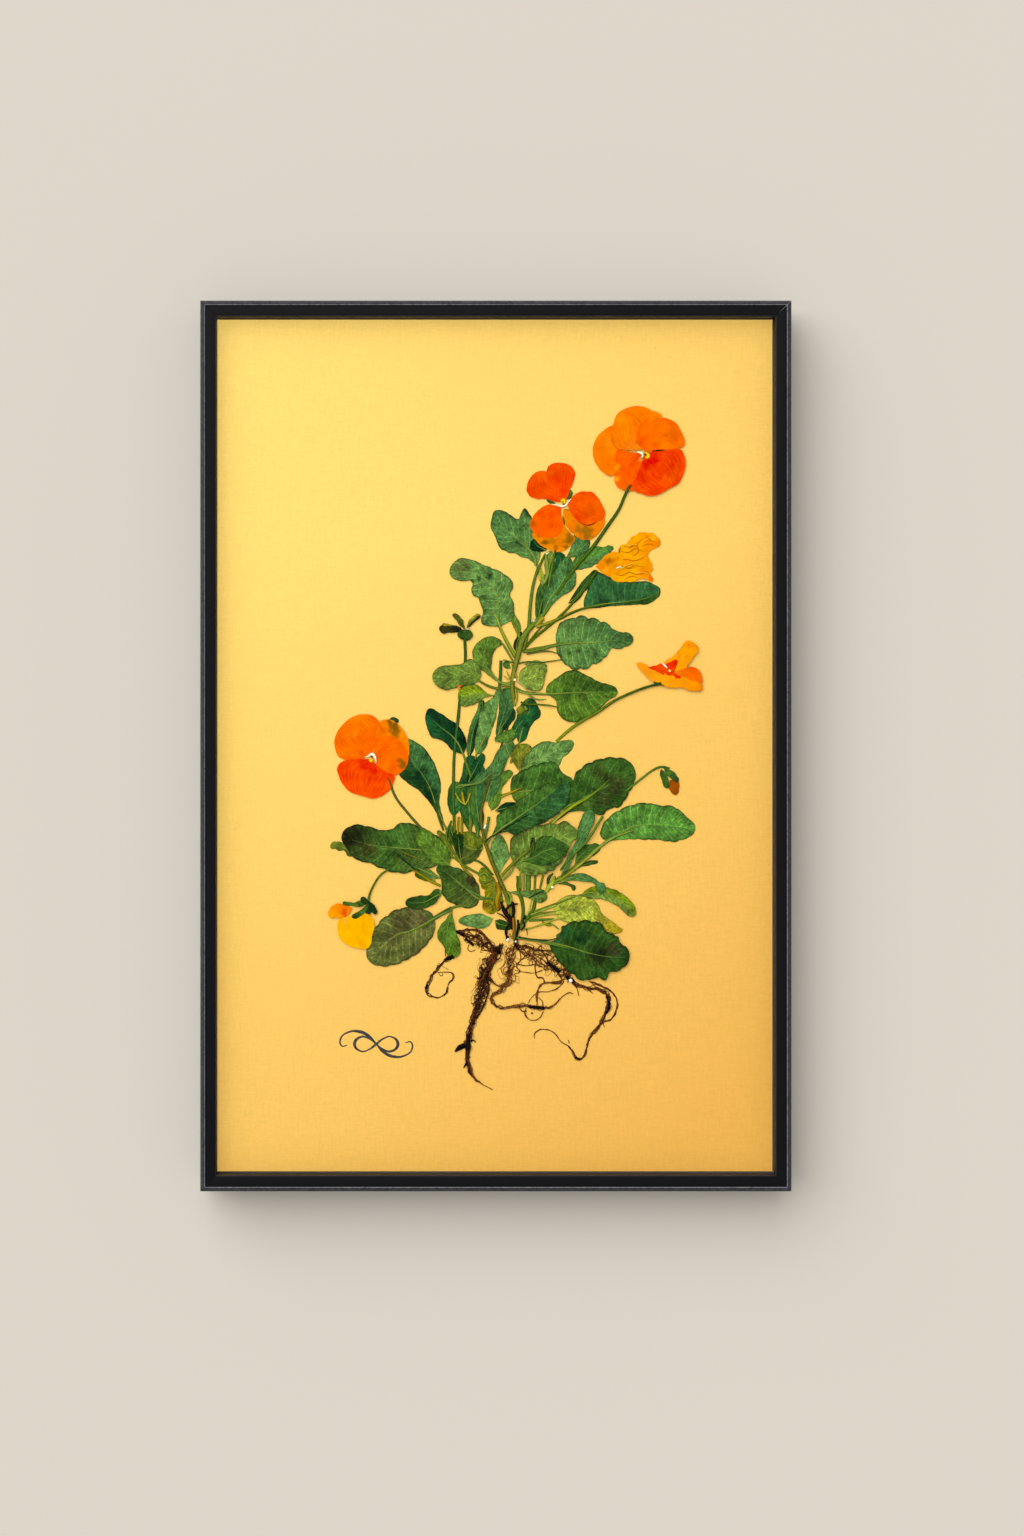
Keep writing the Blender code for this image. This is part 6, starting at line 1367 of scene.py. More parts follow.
# Short stalks, petioles and stipules, each a line with its widths, its layer and its tones
petioles = [
    ([(11, 44), (7.5, 50), (3.8, 57), (1.5, 63), (-1, 68)], [1.7, 1.5, 1.5, 1, 0.3], 1.5, "lime pear"),
    ([(9.2, 42.5), (6, 48), (4.2, 51), (2.5, 53)], [0.9, 1, 1.2, 0.5], 1.3, "meadow fern"),
    ([(13, 53), (11, 58), (9, 62), (8.2, 65.5)], [1.4, 1.3, 1.1, 0.8], 1.6, "lime olive"),
    ([(3, 43), (2.8, 36), (2.2, 28)], [1.5, 1.5, 1.6], 1.3, "bottle laurel"),
    ([(9.5, 32), (5, 31), (1, 33.4), (-2, 38)], [1, 0.9, 1, 0.4], 1.6, "leek leek"),
    ([(9, 30.2), (4, 30.2), (0, 29), (-5, 31), (-9, 33.5)], [1, 0.9, 0.9, 1, 0.4], 1.7, "leek moss grass"),
    ([(9, 29.6), (2, 28.6), (-1, 29.4), (-4, 31)], [0.5, 0.6, 0.6, 0.3], 1.5, "fern meadow"),
    ([(12, 41.6), (17, 42.4), (22, 42), (28, 42.6), (33.5, 43.4)], [0.8, 0.7, 0.6, 0.6, 0.5], 1.5,
        "moss laurel"),
    ([(4, 43.4), (7, 42.6), (11, 41)], [0.4, 0.7, 0.6], 1.5, "grass"),
    ([(11.5, 27.6), (16, 26.4), (22, 26.2), (30, 26.2), (37, 26.6), (46, 27)], [1.1, 1, 0.9, 0.7, 0.5, 0.2],
        1.6, "leek leek fern"),
    ([(13, 22), (16, 21), (22, 20.8), (28, 20.2), (32, 19.4)], [0.9, 0.8, 0.8, 0.9, 0.5], 1.6,
        "bayLeaf olive"),
    ([(11.6, 32.4), (14, 30.6), (16.4, 27.6)], [1, 0.8, 0.3], 1.7, "#a4a864"),
    ([(14.6, 27), (18, 25), (22, 23.2), (26, 23.6)], [0.3, 0.8, 0.7, 0.3], 1.7, "leek willow"),
    ([(14.6, 47.2), (18, 47.6), (24, 48.8), (30, 50.4), (38, 51.6), (46, 51.8)], [1, 1.2, 1.2, 1, 0.7, 0.3],
        1.7, "olive fern leek"),
    ([(16, 46.2), (22, 47.4), (28, 47.6), (31.4, 46.6)], [0.7, 0.9, 0.7, 0.4], 1.6, "moss"),
    ([(14.4, 48), (19, 53.4), (25, 58.6), (31, 63.6), (38, 70.6), (46, 80), (51.6, 88.6)],
        [1, 1.2, 1.4, 1.3, 1.1, 1, 0.8], 1.3, "bayLeaf bayLeaf bayLeaf bayLeaf"),
    ([(16, 51), (20, 56), (24, 60.6)], [0.6, 1, 0.6], 1.7, "bayLeaf"),
    ([(21, 60), (27, 62), (34, 65), (40, 67.8), (47, 69.6), (56, 70.8)], [1.4, 1.5, 1, 0.9, 0.7, 0.3], 1.6,
        "straw olive bayLeaf laurel"),
    ([(20, 60.6), (22.6, 63), (24.6, 64.6)], [1.6, 3.2, 1.6], 1.9, "straw straw"),
    ([(15, 50), (17, 60), (18, 72), (20, 84), (23.6, 93), (25.6, 97)], [1.6, 1.7, 1.7, 1.6, 1.4, 1], 1.7,
        "olive meadow meadow bayLeaf"),
    ([(22, 60), (21.6, 66), (20.6, 72)], [0.4, 0.5, 0.3], 1.4, "laurel"),
    ([(24.8, 82), (26.6, 87), (26.2, 92), (25.6, 97)], [1.6, 2, 1.9, 1], 1.5, "leek leek leek"),
    ([(27, 80), (28.4, 88), (29.6, 94), (30.6, 99)], [0.9, 1.4, 1.3, 0.8], 1.4, "meadow bayLeaf"),
    ([(25.8, 96.6), (27.4, 97.6)], [0.9, 0.4], 2, "#e4e4b8"),
    ([(20.6, 91), (20, 95), (16, 100), (9, 105.6)], [1.3, 1, 0.7, 0.2], 0.6, "leek willow"),
    ([(11, 34), (9.6, 38), (8.6, 41)], [0.8, 1.4, 0.7], 2.9, "straw olive"),
    ([(8, 33), (6.6, 36), (5.6, 38)], [0.6, 0.7, 0.3], 2.8, "straw"),
    ([(7.6, 33.2), (5.8, 34), (4.4, 35.6)], [0.5, 0.5, 0.3], 2.8, "straw"),
    ([(9.4, 33.4), (10.6, 33)], [1.6, 1.4], 3.3, "#e4ddb0"),
    ([(19.2, 62.6), (20.2, 63.4)], [1, 1], 2.6, "#c8cbb8"),
    ([(10.4, 28), (11, 25), (10.2, 21)], [1, 1.3, 1], 1.7, "straw straw"),
    ([(12, 19.6), (13, 18), (12, 16)], [2.2, 5.4, 2], 1.3, "hay olive"),
    ([(15, 20), (16, 18)], [1.2, 2], 1.4, "fern"),
    ([(-6.4, 23), (-6.2, 18)], [1.2, 0.7], 0.7, "bayLeaf"),
    ([(-16.6, 30.3), (-18.4, 29.3), (-17.4, 28.4)], [0.5, 1.9, 0.7], 2.4, "#b83c00 #dc9800"),
    ([(9, -7), (7, -4), (6.2, 0), (9, 2)], [0.3, 0.8, 0.8, 0.3], 1.6, "leek"),
    ([(-20, -24), (-17.6, -28), (-15, -30)], [0.8, 1.2, 0.6], 1.9, "straw straw"),
    ([(-16.6, -23.6), (-15.8, -28), (-15, -30)], [0.9, 1.6, 0.6], 1.95, "mustard #ac9410"),
    ([(-12.4, -24), (-13.8, -28), (-15, -30)], [0.8, 1.2, 0.6], 1.9, "straw straw"),
    ([(-19.4, -21.4), (-18.4, -20.3), (-14, -20), (-7, -18.4), (-2, -14)], [0.5, 0.9, 0.7, 0.6, 0.3], 1.9,
        "leek willow"),
    ([(-18.4, -36), (-18.8, -44.8)], [1.1, 1.2], 1.2, "ochre ochre"),
    ([(-16.6, -36), (-16.8, -44.8)], [1.3, 1.3], 1.25, "bronze ochre"),
    ([(-20.6, -34), (-20.4, -44)], [1.3, 1.3], 1.2, "bayLeaf bronze"),
    ([(-12, -38), (-12.4, -44)], [1.4, 1.3], 1, "olive"),
    ([(-14.6, -33), (-9, -39), (-8.2, -46)], [1, 1.2, 1], 1.1, "bottle grass"),
    ([(-22, -38), (-24.6, -46), (-22, -52), (-18, -58), (-14.5, -63.5), (-11.4, -66)],
        [1, 1.1, 1.2, 1.4, 1.6, 1.2], 1.75, "grass olive hay"),
    ([(-26, -43), (-29, -34), (-30, -29)], [1, 1.2, 0.8], 1.3, "laurel laurel"),
    ([(-6.6, -50), (-9, -53), (-13, -56.5)], [0.8, 0.6, 0.3], 1.3, "laurel"),
    ([(-16, -59), (-10, -58), (-5, -61), (-1, -65.5)], [0.6, 1, 1.2, 0.9], 1.4, "laurel bayLeaf"),
    # a painted glint: the near-white dash on the main stem
    ([(-4.7, -40), (-5.4, -42)], [1.3, 1.1], 3.1, "#ecead0"),
    ([(-3, -36), (-4, -42), (-5, -47)], [1.4, 1.4, 1], 1.6, "meadow"),
    ([(3, -66), (8, -60.6), (13, -56), (17.4, -52.4), (19.2, -49)], [1.6, 1.7, 1.6, 1.6, 1.2], 5.2,
        "lime olive olive moss"),
    ([(19.2, -53), (19.6, -50), (19, -46.4)], [1.2, 1.6, 1.4], 5.4, "bayLeaf soot"),
    ([(4, -68), (8, -64), (10, -60.4)], [1, 1.1, 0.6], 2.2, "leek"),
    ([(18, -51.6), (18.4, -49), (19, -46.8)], [0.6, 1, 1], 5.6, "soot"),
    ([(12, -66), (12.2, -73), (14, -80), (14.2, -86), (13, -91)], [2.3, 2.4, 2, 1.8, 1.2], 0.2,
        "bayLeaf bayLeaf grass bayLeaf"),
    ([(14.6, -65.4), (14.7, -73)], [1.2, 1.2], 0.5, "leek"),
    ([(17, -65), (16.8, -74)], [2.6, 2.4], 0.2, "meadow"),
    ([(20.4, -65.6), (20, -74)], [1.3, 1.2], 0.3, "olive"),
    ([(24.4, -65.6), (22.4, -74)], [1.2, 1], 0.4, "olive"),
    ([(20.6, -77), (19, -84), (16, -88), (13, -92.6)], [1.6, 2, 1.8, 1.4], 0.3, "bayLeaf bayLeaf meadow"),
    ([(18.4, -78), (17, -84), (14.6, -89)], [0.7, 0.9, 0.7], 0.6, "#a4b450"),
    ([(17, -77.2), (21, -75), (25, -73.2)], [0.4, 0.7, 0.5], 1.7, "fir"),
    ([(26, -74), (27, -72), (29, -69.6), (30.4, -66)], [1.4, 3, 2.4, 0.9], 1.6, "#88a410 pear lime"),
    ([(28.4, -71.8), (29.6, -71.4)], [1.5, 1.2], 2.4, "#ece8b4"),
    ([(26.6, -70), (27.4, -66.6), (29.4, -64.6)], [1.2, 1.8, 0.6], 1.5, "ivy laurel"),
    ([(29.6, -69), (34, -67), (40, -62.6), (47, -56.8), (54, -50.4), (61, -46), (70, -43)],
        [1.4, 1.4, 1.4, 1.4, 1.5, 1, 0.4], 1.9, "lime straw leek leek"),
    ([(29, -70), (35, -68.6), (42, -66)], [0.9, 0.9, 0.5], 1.7, "leek meadow"),
    ([(54.6, -35.6), (52, -39.4), (48.6, -45), (44.4, -50.4), (38, -56.6), (33, -63)],
        [1.3, 1.3, 1.3, 1.2, 1.4, 1], 4.9, "meadow meadow grass"),
    ([(28.8, -39.6), (33, -35.6), (40, -30.4), (46, -27), (52, -22.6), (58, -17)],
        [1.3, 1.4, 1.3, 1.1, 0.7, 0.3], 1.5, "straw #8c9808 lime olive"),
    ([(28, -39.8), (33, -36.6), (40, -31.6), (45, -28.6)], [0.5, 0.6, 0.5, 0.3], 1.35, "soot"),
    ([(3, -26), (8, -23.8), (12, -22), (14.6, -21)], [0.9, 1.1, 1.2, 0.4], 1.6, "straw mustard bronze"),
    ([(12, -42), (-2, -46), (-5, -49)], [0.3, 0.6, 0.8], 3.1, "fir pine"),
    ([(-1, -46), (5, -42), (12, -37.6), (18, -34.4)], [0.5, 0.7, 0.6, 0.2], 3.5, "pine fir"),
    ([(18, -85.6), (25, -83), (31, -80.8)], [0.9, 1, 1.2], 0.8, "leek pear"),
    ([(17.4, -88), (24, -86), (33, -85)], [0.8, 0.9, 0.9], 0.7, "lime pear"),
    ([(17, -88.6), (25, -88), (30, -87.6)], [1, 1.4, 0.6], 0.6, "meadow meadow"),
    ([(13, -93.6), (24, -90.4), (31, -87.8), (36, -86.8)], [0.7, 0.9, 1, 0.6], 0.9, "straw pear"),
    ([(26, -89.4), (30, -91), (32.4, -93)], [0.6, 0.7, 0.4], 0.5, "meadow"),
    ([(24, -89), (27, -90.8), (29, -90.6)], [0.8, 1.6, 0.8], 0.5, "lime"),
    ([(12, -96.8), (20, -98), (28, -98.2), (31, -97.4)], [0.8, 0.7, 0.9, 0.5], 3.2, "pine fir"),
    ([(20, -98.6), (26, -99.8), (33, -101.4), (42, -103.6)], [0.5, 1.2, 1, 0.2], 3.6, "fern meadow grass"),
    ([(-21.6, -83), (-26, -85), (-31, -87.6), (-38, -91.6), (-46, -95)], [1.3, 1.3, 1.2, 0.9, 0.3], 1.7,
        "meadow fern leek"),
    ([(-22, -81.6), (-27, -84.4), (-33, -88)], [0.9, 1, 0.5], 1.6, "moss"),
    ([(-1, -77.6), (-5, -77), (-8, -76), (-12, -73.8), (-17, -71)], [1, 1, 0.8, 0.6, 0.2], 1.1,
        "grass willow willow"),
    ([(-27.4, -71), (-32, -68.8), (-38, -65), (-43, -62)], [1.3, 1.3, 1.1, 0.4], 1.6, "ochre ochre"),
    ([(-27.6, -67), (-33, -64.6), (-39, -62)], [0.9, 1, 0.6], 1.5, "willow leek"),
    ([(-36, -58), (-43, -55.4), (-50, -52)], [0.5, 0.6, 0.3], 1.5, "hay meadow"),
    ([(-40.6, -62.4), (-46, -57.8), (-51, -53.4)], [0.9, 0.9, 0.4], 1.5, "fir fir"),
    ([(-54, -62.6), (-58, -65.6), (-61, -70), (-63.4, -75.4), (-64, -79)], [1, 0.9, 0.9, 1, 1.2], 1.5,
        "meadow bayLeaf grass"),
    ([(88.4, -11.4), (84, -10.8), (80, -12.4), (75, -16), (70, -20), (66, -23)],
        [0.7, 1.2, 1.1, 1.1, 1.1, 0.9], 0.6, "laurel meadow meadow"),
    ([(1, -69), (2, -74), (1, -78), (1.4, -83)], [1.6, 2.6, 2.4, 1.2], 1.9, "#905c04 mustard #8c5c08"),
    ([(4, -73.6), (7, -74.6), (8.6, -78.4)], [0.8, 1.6, 0.8], 1.9, "olive leek"),
    ([(5, -78), (7.4, -80), (8, -77)], [0.7, 1.4, 0.6], 2, "leek"),
    ([(3, -80), (4.6, -84)], [1.2, 1.4], 2.1, "#9c640c #c08c1c"),
    ([(-8, -66), (-5, -64.4), (-3, -67)], [0.8, 1.2, 0.5], 1.5, "leek lime"),
    ([(-7.6, -69), (-4, -69), (-1, -67.4)], [0.8, 1.4, 0.8], 1.4, "olive"),
]
bodies = [cordBody(line, widths, [layerFace(layer)], 0.35, tones, 500 + k)
          for k, (line, widths, layer, tones) in enumerate(petioles)]
for body in bodies:
    body["kind"] = 0
joinBodies("petioles", bodies, [stemSkin])
print("stems and stalks ready")


# The root: bundles of thin fibres along its branches, with loose hairs, grown with Geometry Nodes
roots = {
    "root_tap": {"fibres": 13, "hairs": 5, "spread": 1.2, "fibre": 0.27, "lines": [
        ([(3, -101.5), (-1.4, -107), (-5, -114), (-6.6, -122), (-8.6, -131), (-11.4, -139.5), (-13.6, -150),
            (-13.6, -159), (-12.3, -165.5), (-7.6, -170.4), (-1.4, -173.8)],
            [3, 6, 7.2, 6.6, 5.4, 3.4, 2.8, 2.8, 1.8, 0.5, 0.2], [1]),
        ([(-4, -117), (-3, -123), (-4.6, -129), (-7, -134), (-10.6, -139)], [0.6, 0.8, 0.9, 0.9, 0.6],
            [1.2]),
        ([(0, -103), (-1.6, -110), (-3.4, -117), (-1.6, -119.6)], [2.4, 3, 2.4, 0.8], [1.4]),
    ], "clumps": [
        ([(-15, -151.6), (-17.6, -152.6), (-20.2, -154.8)], [2.6, 2.8, 0.7]),
        ([(-13.6, -146), (-13.8, -154)], [2, 2.6]),
        ([(-14, -160), (-15.8, -163)], [1.4, 0.5]),
        ([(-12.4, -149.6), (-10.2, -149.2), (-10, -150.4)], [1, 0.7, 0.3]),
        ([(0.4, -102.6), (2.4, -105)], [2.4, 2.8]),
        ([(-3.6, -114), (-4.2, -118.4)], [1.6, 1.5]),
    ]},
    "root_wing": {"fibres": 11, "hairs": 4, "spread": 1.25, "fibre": 0.25, "lines": [
        ([(2.6, -104.6), (-4, -102), (-10, -97.8), (-15, -95.4), (-19.6, -93.8)], [2.2, 5.6, 6.6, 4, 0.9],
            [0.2]),
        ([(-1, -103.4), (-4, -97.6), (-8.6, -93.8), (-13, -93.2), (-19, -94.4)], [0.9, 1.2, 1.3, 1, 0.7],
            [0.4]),
        ([(-13, -100.6), (-13.6, -103), (-11.8, -104.2), (-9.8, -103.2)], [0.25, 0.3, 0.3, 0.2], [0.2]),
    ], "clumps": [
        ([(-15.6, -95.8), (-19.6, -94)], [1.8, 0.9]),
        ([(-14.6, -97.8), (-10.8, -101.2)], [1.4, 1.2]),
    ]},
    "root_left": {"fibres": 6, "hairs": 4, "spread": 1.2, "fibre": 0.21, "lines": [
        ([(-21, -106.4), (-25, -108.4), (-29.5, -113.5), (-33, -119.5), (-34.6, -124.4), (-31.6, -127),
            (-28, -127.4), (-24.6, -124.8), (-23.4, -120.6), (-21, -117.4), (-21.8, -115), (-24, -114.6),
            (-29, -114.9)], [2.6, 1.9, 1.5, 1.8, 1.4, 0.9, 0.8, 1.1, 0.8, 0.8, 0.6, 0.4, 0.3], [0.1]),
        ([(-28.4, -115), (-27.6, -116.4), (-26.4, -116), (-26.6, -115)], [0.2, 0.25, 0.25, 0.2], [0.1]),
        ([(-28.6, -110), (-26, -112), (-23.4, -113.4)], [0.15, 0.15, 0.1], [0.1]),
        ([(-25.2, -103), (-25, -106.6)], [0.5, 0.4], [0.1]),
    ], "clumps": [
        ([(-21, -106.4), (-25.4, -108.6)], [2.6, 1.2]),
        ([(-34, -121), (-35, -123)], [1.8, 1.4]),
    ]},
    "root_middle": {"fibres": 8, "hairs": 5, "spread": 1.8, "fibre": 0.17, "lines": [
        ([(10, -96), (10.6, -101), (8.4, -105), (6.6, -109), (7, -114), (7.2, -119.6)],
            [1.4, 2, 3.6, 5.4, 5.2, 2.8], [1]),
        ([(7.6, -118), (4.4, -121), (0.6, -121), (-1.6, -118.8), (-3.6, -115.6)], [0.7, 0.5, 0.5, 0.5, 0.4],
            [1.2]),
        ([(7.2, -120), (2, -124), (-1.4, -127), (-0.6, -130.8), (3.6, -132.8), (9, -132), (17, -131.8),
            (25, -132.6), (29.6, -131.4), (33, -128), (37.4, -125), (39.6, -125.6)],
            [2.2, 1.6, 1.3, 1.3, 1.1, 1, 1.6, 1.6, 0.5, 0.3, 0.3, 0.15], [1]),
        ([(16.4, -131), (19, -127), (22, -124.8), (27, -124.4), (32, -122.4), (35, -119)],
            [0.2, 0.2, 0.25, 0.3, 0.3, 0.4], [0.8]),
        ([(15.6, -133), (15.4, -136), (18.6, -139), (22, -138), (24.6, -134.4)], [0.5, 0.4, 0.3, 0.3, 0.3],
            [0.8]),
        ([(21.4, -131), (21.2, -126), (22.4, -122), (25.6, -120), (31, -119.8), (35, -118)],
            [0.6, 0.7, 0.9, 0.7, 0.8, 0.9], [0.8]),
        ([(24.4, -132), (24, -129.4), (22.2, -127.6)], [0.3, 0.3, 0.2], [0.8]),
        ([(12, -132), (14, -134.4), (16, -134.4)], [0.2, 0.3, 0.3], [0.8]),
    ], "clumps": [
        ([(17, -132), (25, -132.8)], [1.3, 1.6]),
        ([(6.4, -96.2), (6, -98.6)], [1.6, 1.2]),
        ([(18.4, -135), (19, -135.6)], [0.8, 0.7]),
        ([(10, -99.6), (11.6, -101.6)], [1.2, 1.6]),
    ]},
    "root_right": {"fibres": 10, "hairs": 5, "spread": 1.6, "fibre": 0.2, "lines": [
        ([(11, -101), (16, -104.6), (23, -107.8), (30, -112), (38, -117.4)], [2.6, 5.6, 7.6, 6.6, 3],
            [0.1]),
        ([(11, -101.6), (16, -101.6), (22, -103.4), (28, -104), (34, -106)], [0.7, 0.8, 0.8, 0.8, 0.4],
            [0.3]),
        ([(37, -118), (45, -122), (53, -123.4), (57.6, -127), (57, -133), (54, -140), (49, -146.4),
            (46.6, -152), (45, -157.4), (42.6, -158.8), (39.4, -155), (37, -151.8)],
            [2.2, 1.3, 1.6, 1.9, 1.9, 1.5, 1.1, 0.8, 0.6, 0.9, 0.7, 0.5], [0.1]),
        ([(37, -151.8), (33.6, -149.8), (30, -145.4), (26.6, -143.8), (22, -144), (20, -146), (20, -148)],
            [0.4, 0.35, 0.3, 0.3, 0.4, 0.4, 0.15], [0.1]),
        ([(48, -119.4), (54, -121.6), (59, -124.6), (61.8, -129), (61.4, -134), (58.6, -138.6),
            (55, -139.6)], [0.8, 0.6, 0.7, 0.5, 0.6, 0.7, 0.5], [0.15]),
        ([(10.6, -110.4), (16, -111.4), (20.6, -110.8), (24, -112)], [0.25, 0.3, 0.35, 0.5], [0.4]),
        ([(10, -113.6), (14, -114.4), (20, -115), (24, -113.6)], [0.2, 0.25, 0.25, 0.3], [0.4]),
        ([(12.4, -103), (13, -108), (11, -112), (12.6, -114.4), (10, -115.4)], [0.3, 0.3, 0.3, 0.3, 0.2],
            [0.4]),
        ([(20.6, -109), (20.4, -113), (21.4, -117), (24.4, -117.6), (25, -120)], [0.4, 0.5, 0.5, 0.4, 0.4],
            [0.4]),
        ([(32.4, -115.6), (33.6, -119.6), (29, -120.2)], [0.5, 0.6, 0.4], [0.4]),
        ([(39.6, -120), (41.4, -122.4), (42.4, -126.4)], [0.4, 0.4, 0.2], [0.2]),
        ([(44, -121), (47, -123), (49.4, -125.4)], [0.4, 0.5, 0.3], [0.2]),
        ([(37.6, -150.4), (37, -149)], [0.4, 0.2], [0.1]),
        ([(54.6, -140), (55.4, -142.4)], [0.4, 0.2], [0.1]),
    ], "clumps": [
        ([(36, -116.8), (40, -119.6)], [1.8, 1.6]),
        ([(56.6, -127), (57.8, -131), (56.4, -135.4)], [1.2, 1.4, 1.2]),
        ([(26, -109.6), (33, -114.6)], [1.6, 2]),
        ([(40.6, -157.4), (43, -159)], [0.9, 0.9]),
    ]},
}
rootLook = {"dark": "#0e0704", "light": "#6e3c16", "spacing": 0.55, "flatness": 0.5, "tangle": 250.0}


def rootTree():
    sockets = (("Fibres", "Int"), ("Hairs", "Int"), ("Spread", "Float"), ("Fibre Radius", "Float"),
               ("Spacing", "Float"), ("Tangle", "Float"), ("Flatness", "Float"), ("Seed", "Float"),
               ("Dark Colour", "Color"), ("Light Colour", "Color"), ("Skin", "Material"))
    tree, given, result = nodeGroup("rootTree", sockets)
    line = addNode(tree, "GeometryNodeResampleCurve", {"Curve": given["Geometry"],
        "Length": given["Spacing"]}, mode="LENGTH").outputs["Curve"]
    parts = []
    for amount, reach, thin in (("Fibres", 1.0, 1.0), ("Hairs", 1.5, 0.45)):
        copies = addNode(tree, "GeometryNodeDuplicateElements", {"Geometry": line, "Amount": given[amount]},
            domain="SPLINE")
        turn = maths(tree, "MULTIPLY_ADD", copies.outputs["Duplicate Index"], 3.71, given["Seed"])
        noise4 = addNode(tree, "ShaderNodeTexNoise", {"Scale": given["Tangle"], "W": turn, "Detail": 1.2},
            noise_dimensions="4D").outputs["Color"]
        centred = addNode(tree, "ShaderNodeVectorMath", {0: noise4, 1: (0.5, 0.5, 0.5)},
            operation="SUBTRACT")
        radius = addNode(tree, "GeometryNodeInputRadius").outputs["Radius"]
        wide = maths(tree, "MULTIPLY", radius, given["Spread"])
        throw = maths(tree, "MULTIPLY", wide, 4.6 * reach)
        offset = addNode(tree, "ShaderNodeVectorMath", {0: centred.outputs["Vector"], "Scale": throw},
            operation="SCALE").outputs["Vector"]
        low = addNode(tree, "ShaderNodeVectorMath", {0: offset, 1: (1.0, 0.12, 1.0)}, operation="MULTIPLY")
        spun = storedValue(tree, copies.outputs["Geometry"], "copy", "FLOAT", turn)
        spun = storedValue(tree, spun, "bundle", "FLOAT", radius)
        moved = addNode(tree, "GeometryNodeSetPosition", {"Geometry": spun,
            "Offset": low.outputs["Vector"]})
        odd = addNode(tree, "ShaderNodeTexWhiteNoise", {"W": namedValue(tree, "copy", "FLOAT")},
            noise_dimensions="1D").outputs["Value"]
        size = remap(tree, odd, 0.0, 1.0, 0.55 * thin, 1.3 * thin)
        taper = remap(tree, namedValue(tree, "bundle", "FLOAT"), 0.0, 0.9 * mm, 0.3, 1.0)
        scaled = maths(tree, "MULTIPLY", size, taper)
        slim = maths(tree, "MULTIPLY", scaled, given["Fibre Radius"])
        parts.append(addNode(tree, "GeometryNodeSetCurveRadius", {"Curve": moved.outputs["Geometry"],
            "Radius": slim}).outputs["Curve"])
    joined = addNode(tree, "GeometryNodeJoinGeometry")
    for part in parts:
        tree.links.new(part, joined.inputs["Geometry"])
    mesh = flattened(tree, roundedSkin(tree, joined.outputs["Geometry"], 5), given["Flatness"])
    shade = addNode(tree, "ShaderNodeTexWhiteNoise", {"W": namedValue(tree, "copy", "FLOAT")},
        noise_dimensions="1D").outputs["Value"]
    curved = maths(tree, "POWER", shade, 1.6)
    tint = addNode(tree, "ShaderNodeMix", {"Factor": curved, 6: given["Dark Colour"],
        7: given["Light Colour"]}, data_type="RGBA").outputs[2]
    return finished(tree, mesh, tint, given["Skin"], result)


rootSkin = driedStem("driedRoot", 0.06, 0.35)
fibreTree = rootTree()
for number, (rootName, root) in enumerate(roots.items()):
    rootMesh = grown(rootName, fibreTree, root["lines"], {"Fibres": root["fibres"], "Hairs": root["hairs"],
        "Spread": root["spread"], "Fibre Radius": root["fibre"] * mm, "Spacing": rootLook["spacing"] * mm,
        "Tangle": rootLook["tangle"], "Flatness": rootLook["flatness"], "Seed": 11.0 * number + 1.0,
        "Dark Colour": rgba(rootLook["dark"]), "Light Colour": rgba(rootLook["light"]), "Skin": rootSkin})
    rootMesh.materials.clear()
    seenPiece("dried_" + rootName, rootMesh, [rootSkin], [rootName])

# Dark knots where the root's bark has stayed, the dry crown's fibres, and grains of perlite caught in it
knots = [cordBody(line, widths, [layerFace(0.9)], 0.5, rootLook["dark"], 700 + k, 0)
         for k, (line, widths) in enumerate(clump for root in roots.values() for clump in root["clumps"])]
crownFibres = [
    ([(3, -79), (5, -84), (8, -88), (9, -93)], [1, 2.4, 2.6, 1.4], "#1c0f08"),
    ([(8.6, -79), (9.4, -83), (9, -87)], [1.6, 2, 1.6], "#160c08"),
    ([(11.6, -80), (8, -80.6), (5.6, -83)], [0.6, 1.8, 1.2], "#1c120c"),
    ([(1, -84.6), (4, -86), (7, -89.4)], [0.5, 0.8, 0.6], "#3c1c08"),
    ([(4, -80), (6, -85), (7.6, -89)], [0.4, 0.5, 0.4], "#c0802c"),
    ([(6.4, -81), (7, -85)], [0.4, 0.5], "#b88038"),
    ([(9, -86.4), (9.2, -90), (9, -95)], [0.8, 1.2, 1], "#b4640c"),
    ([(11.6, -88), (11.8, -92.6), (10.6, -97)], [1, 1.6, 0.8], "#100c04"),
    ([(7, -90), (5.6, -94), (6.2, -98)], [0.8, 1.6, 0.6], "#1c1008"),
    ([(7.4, -95), (8.6, -97.6)], [0.5, 1], "#b07018"),
    ([(13.8, -88), (15, -91), (13, -93.4)], [0.8, 1, 0.6], "#201808"),
    ([(15.6, -85.8), (14.6, -88)], [1.2, 1.4], "#10180c"),
    ([(16, -92.6), (16.4, -95.8)], [0.5, 0.3], "#241c08"),
    ([(4, -100), (1, -103.4)], [0.5, 1.2], "#20120a"),
    ([(10.6, -97), (10, -101), (12, -103)], [0.9, 0.8, 0.6], "#1a0e08"),
]
knots += [cordBody(line, widths, [layerFace(2.3)], 0.5, tones, 760 + k, 0)
          for k, (line, widths, tones) in enumerate(crownFibres)]
joinBodies("root_knots", knots, [rootSkin])


perlite = {"tint": "#f4f0e8", "lump": 0.25, "lumpSize": 0.4, "flatness": 0.6}


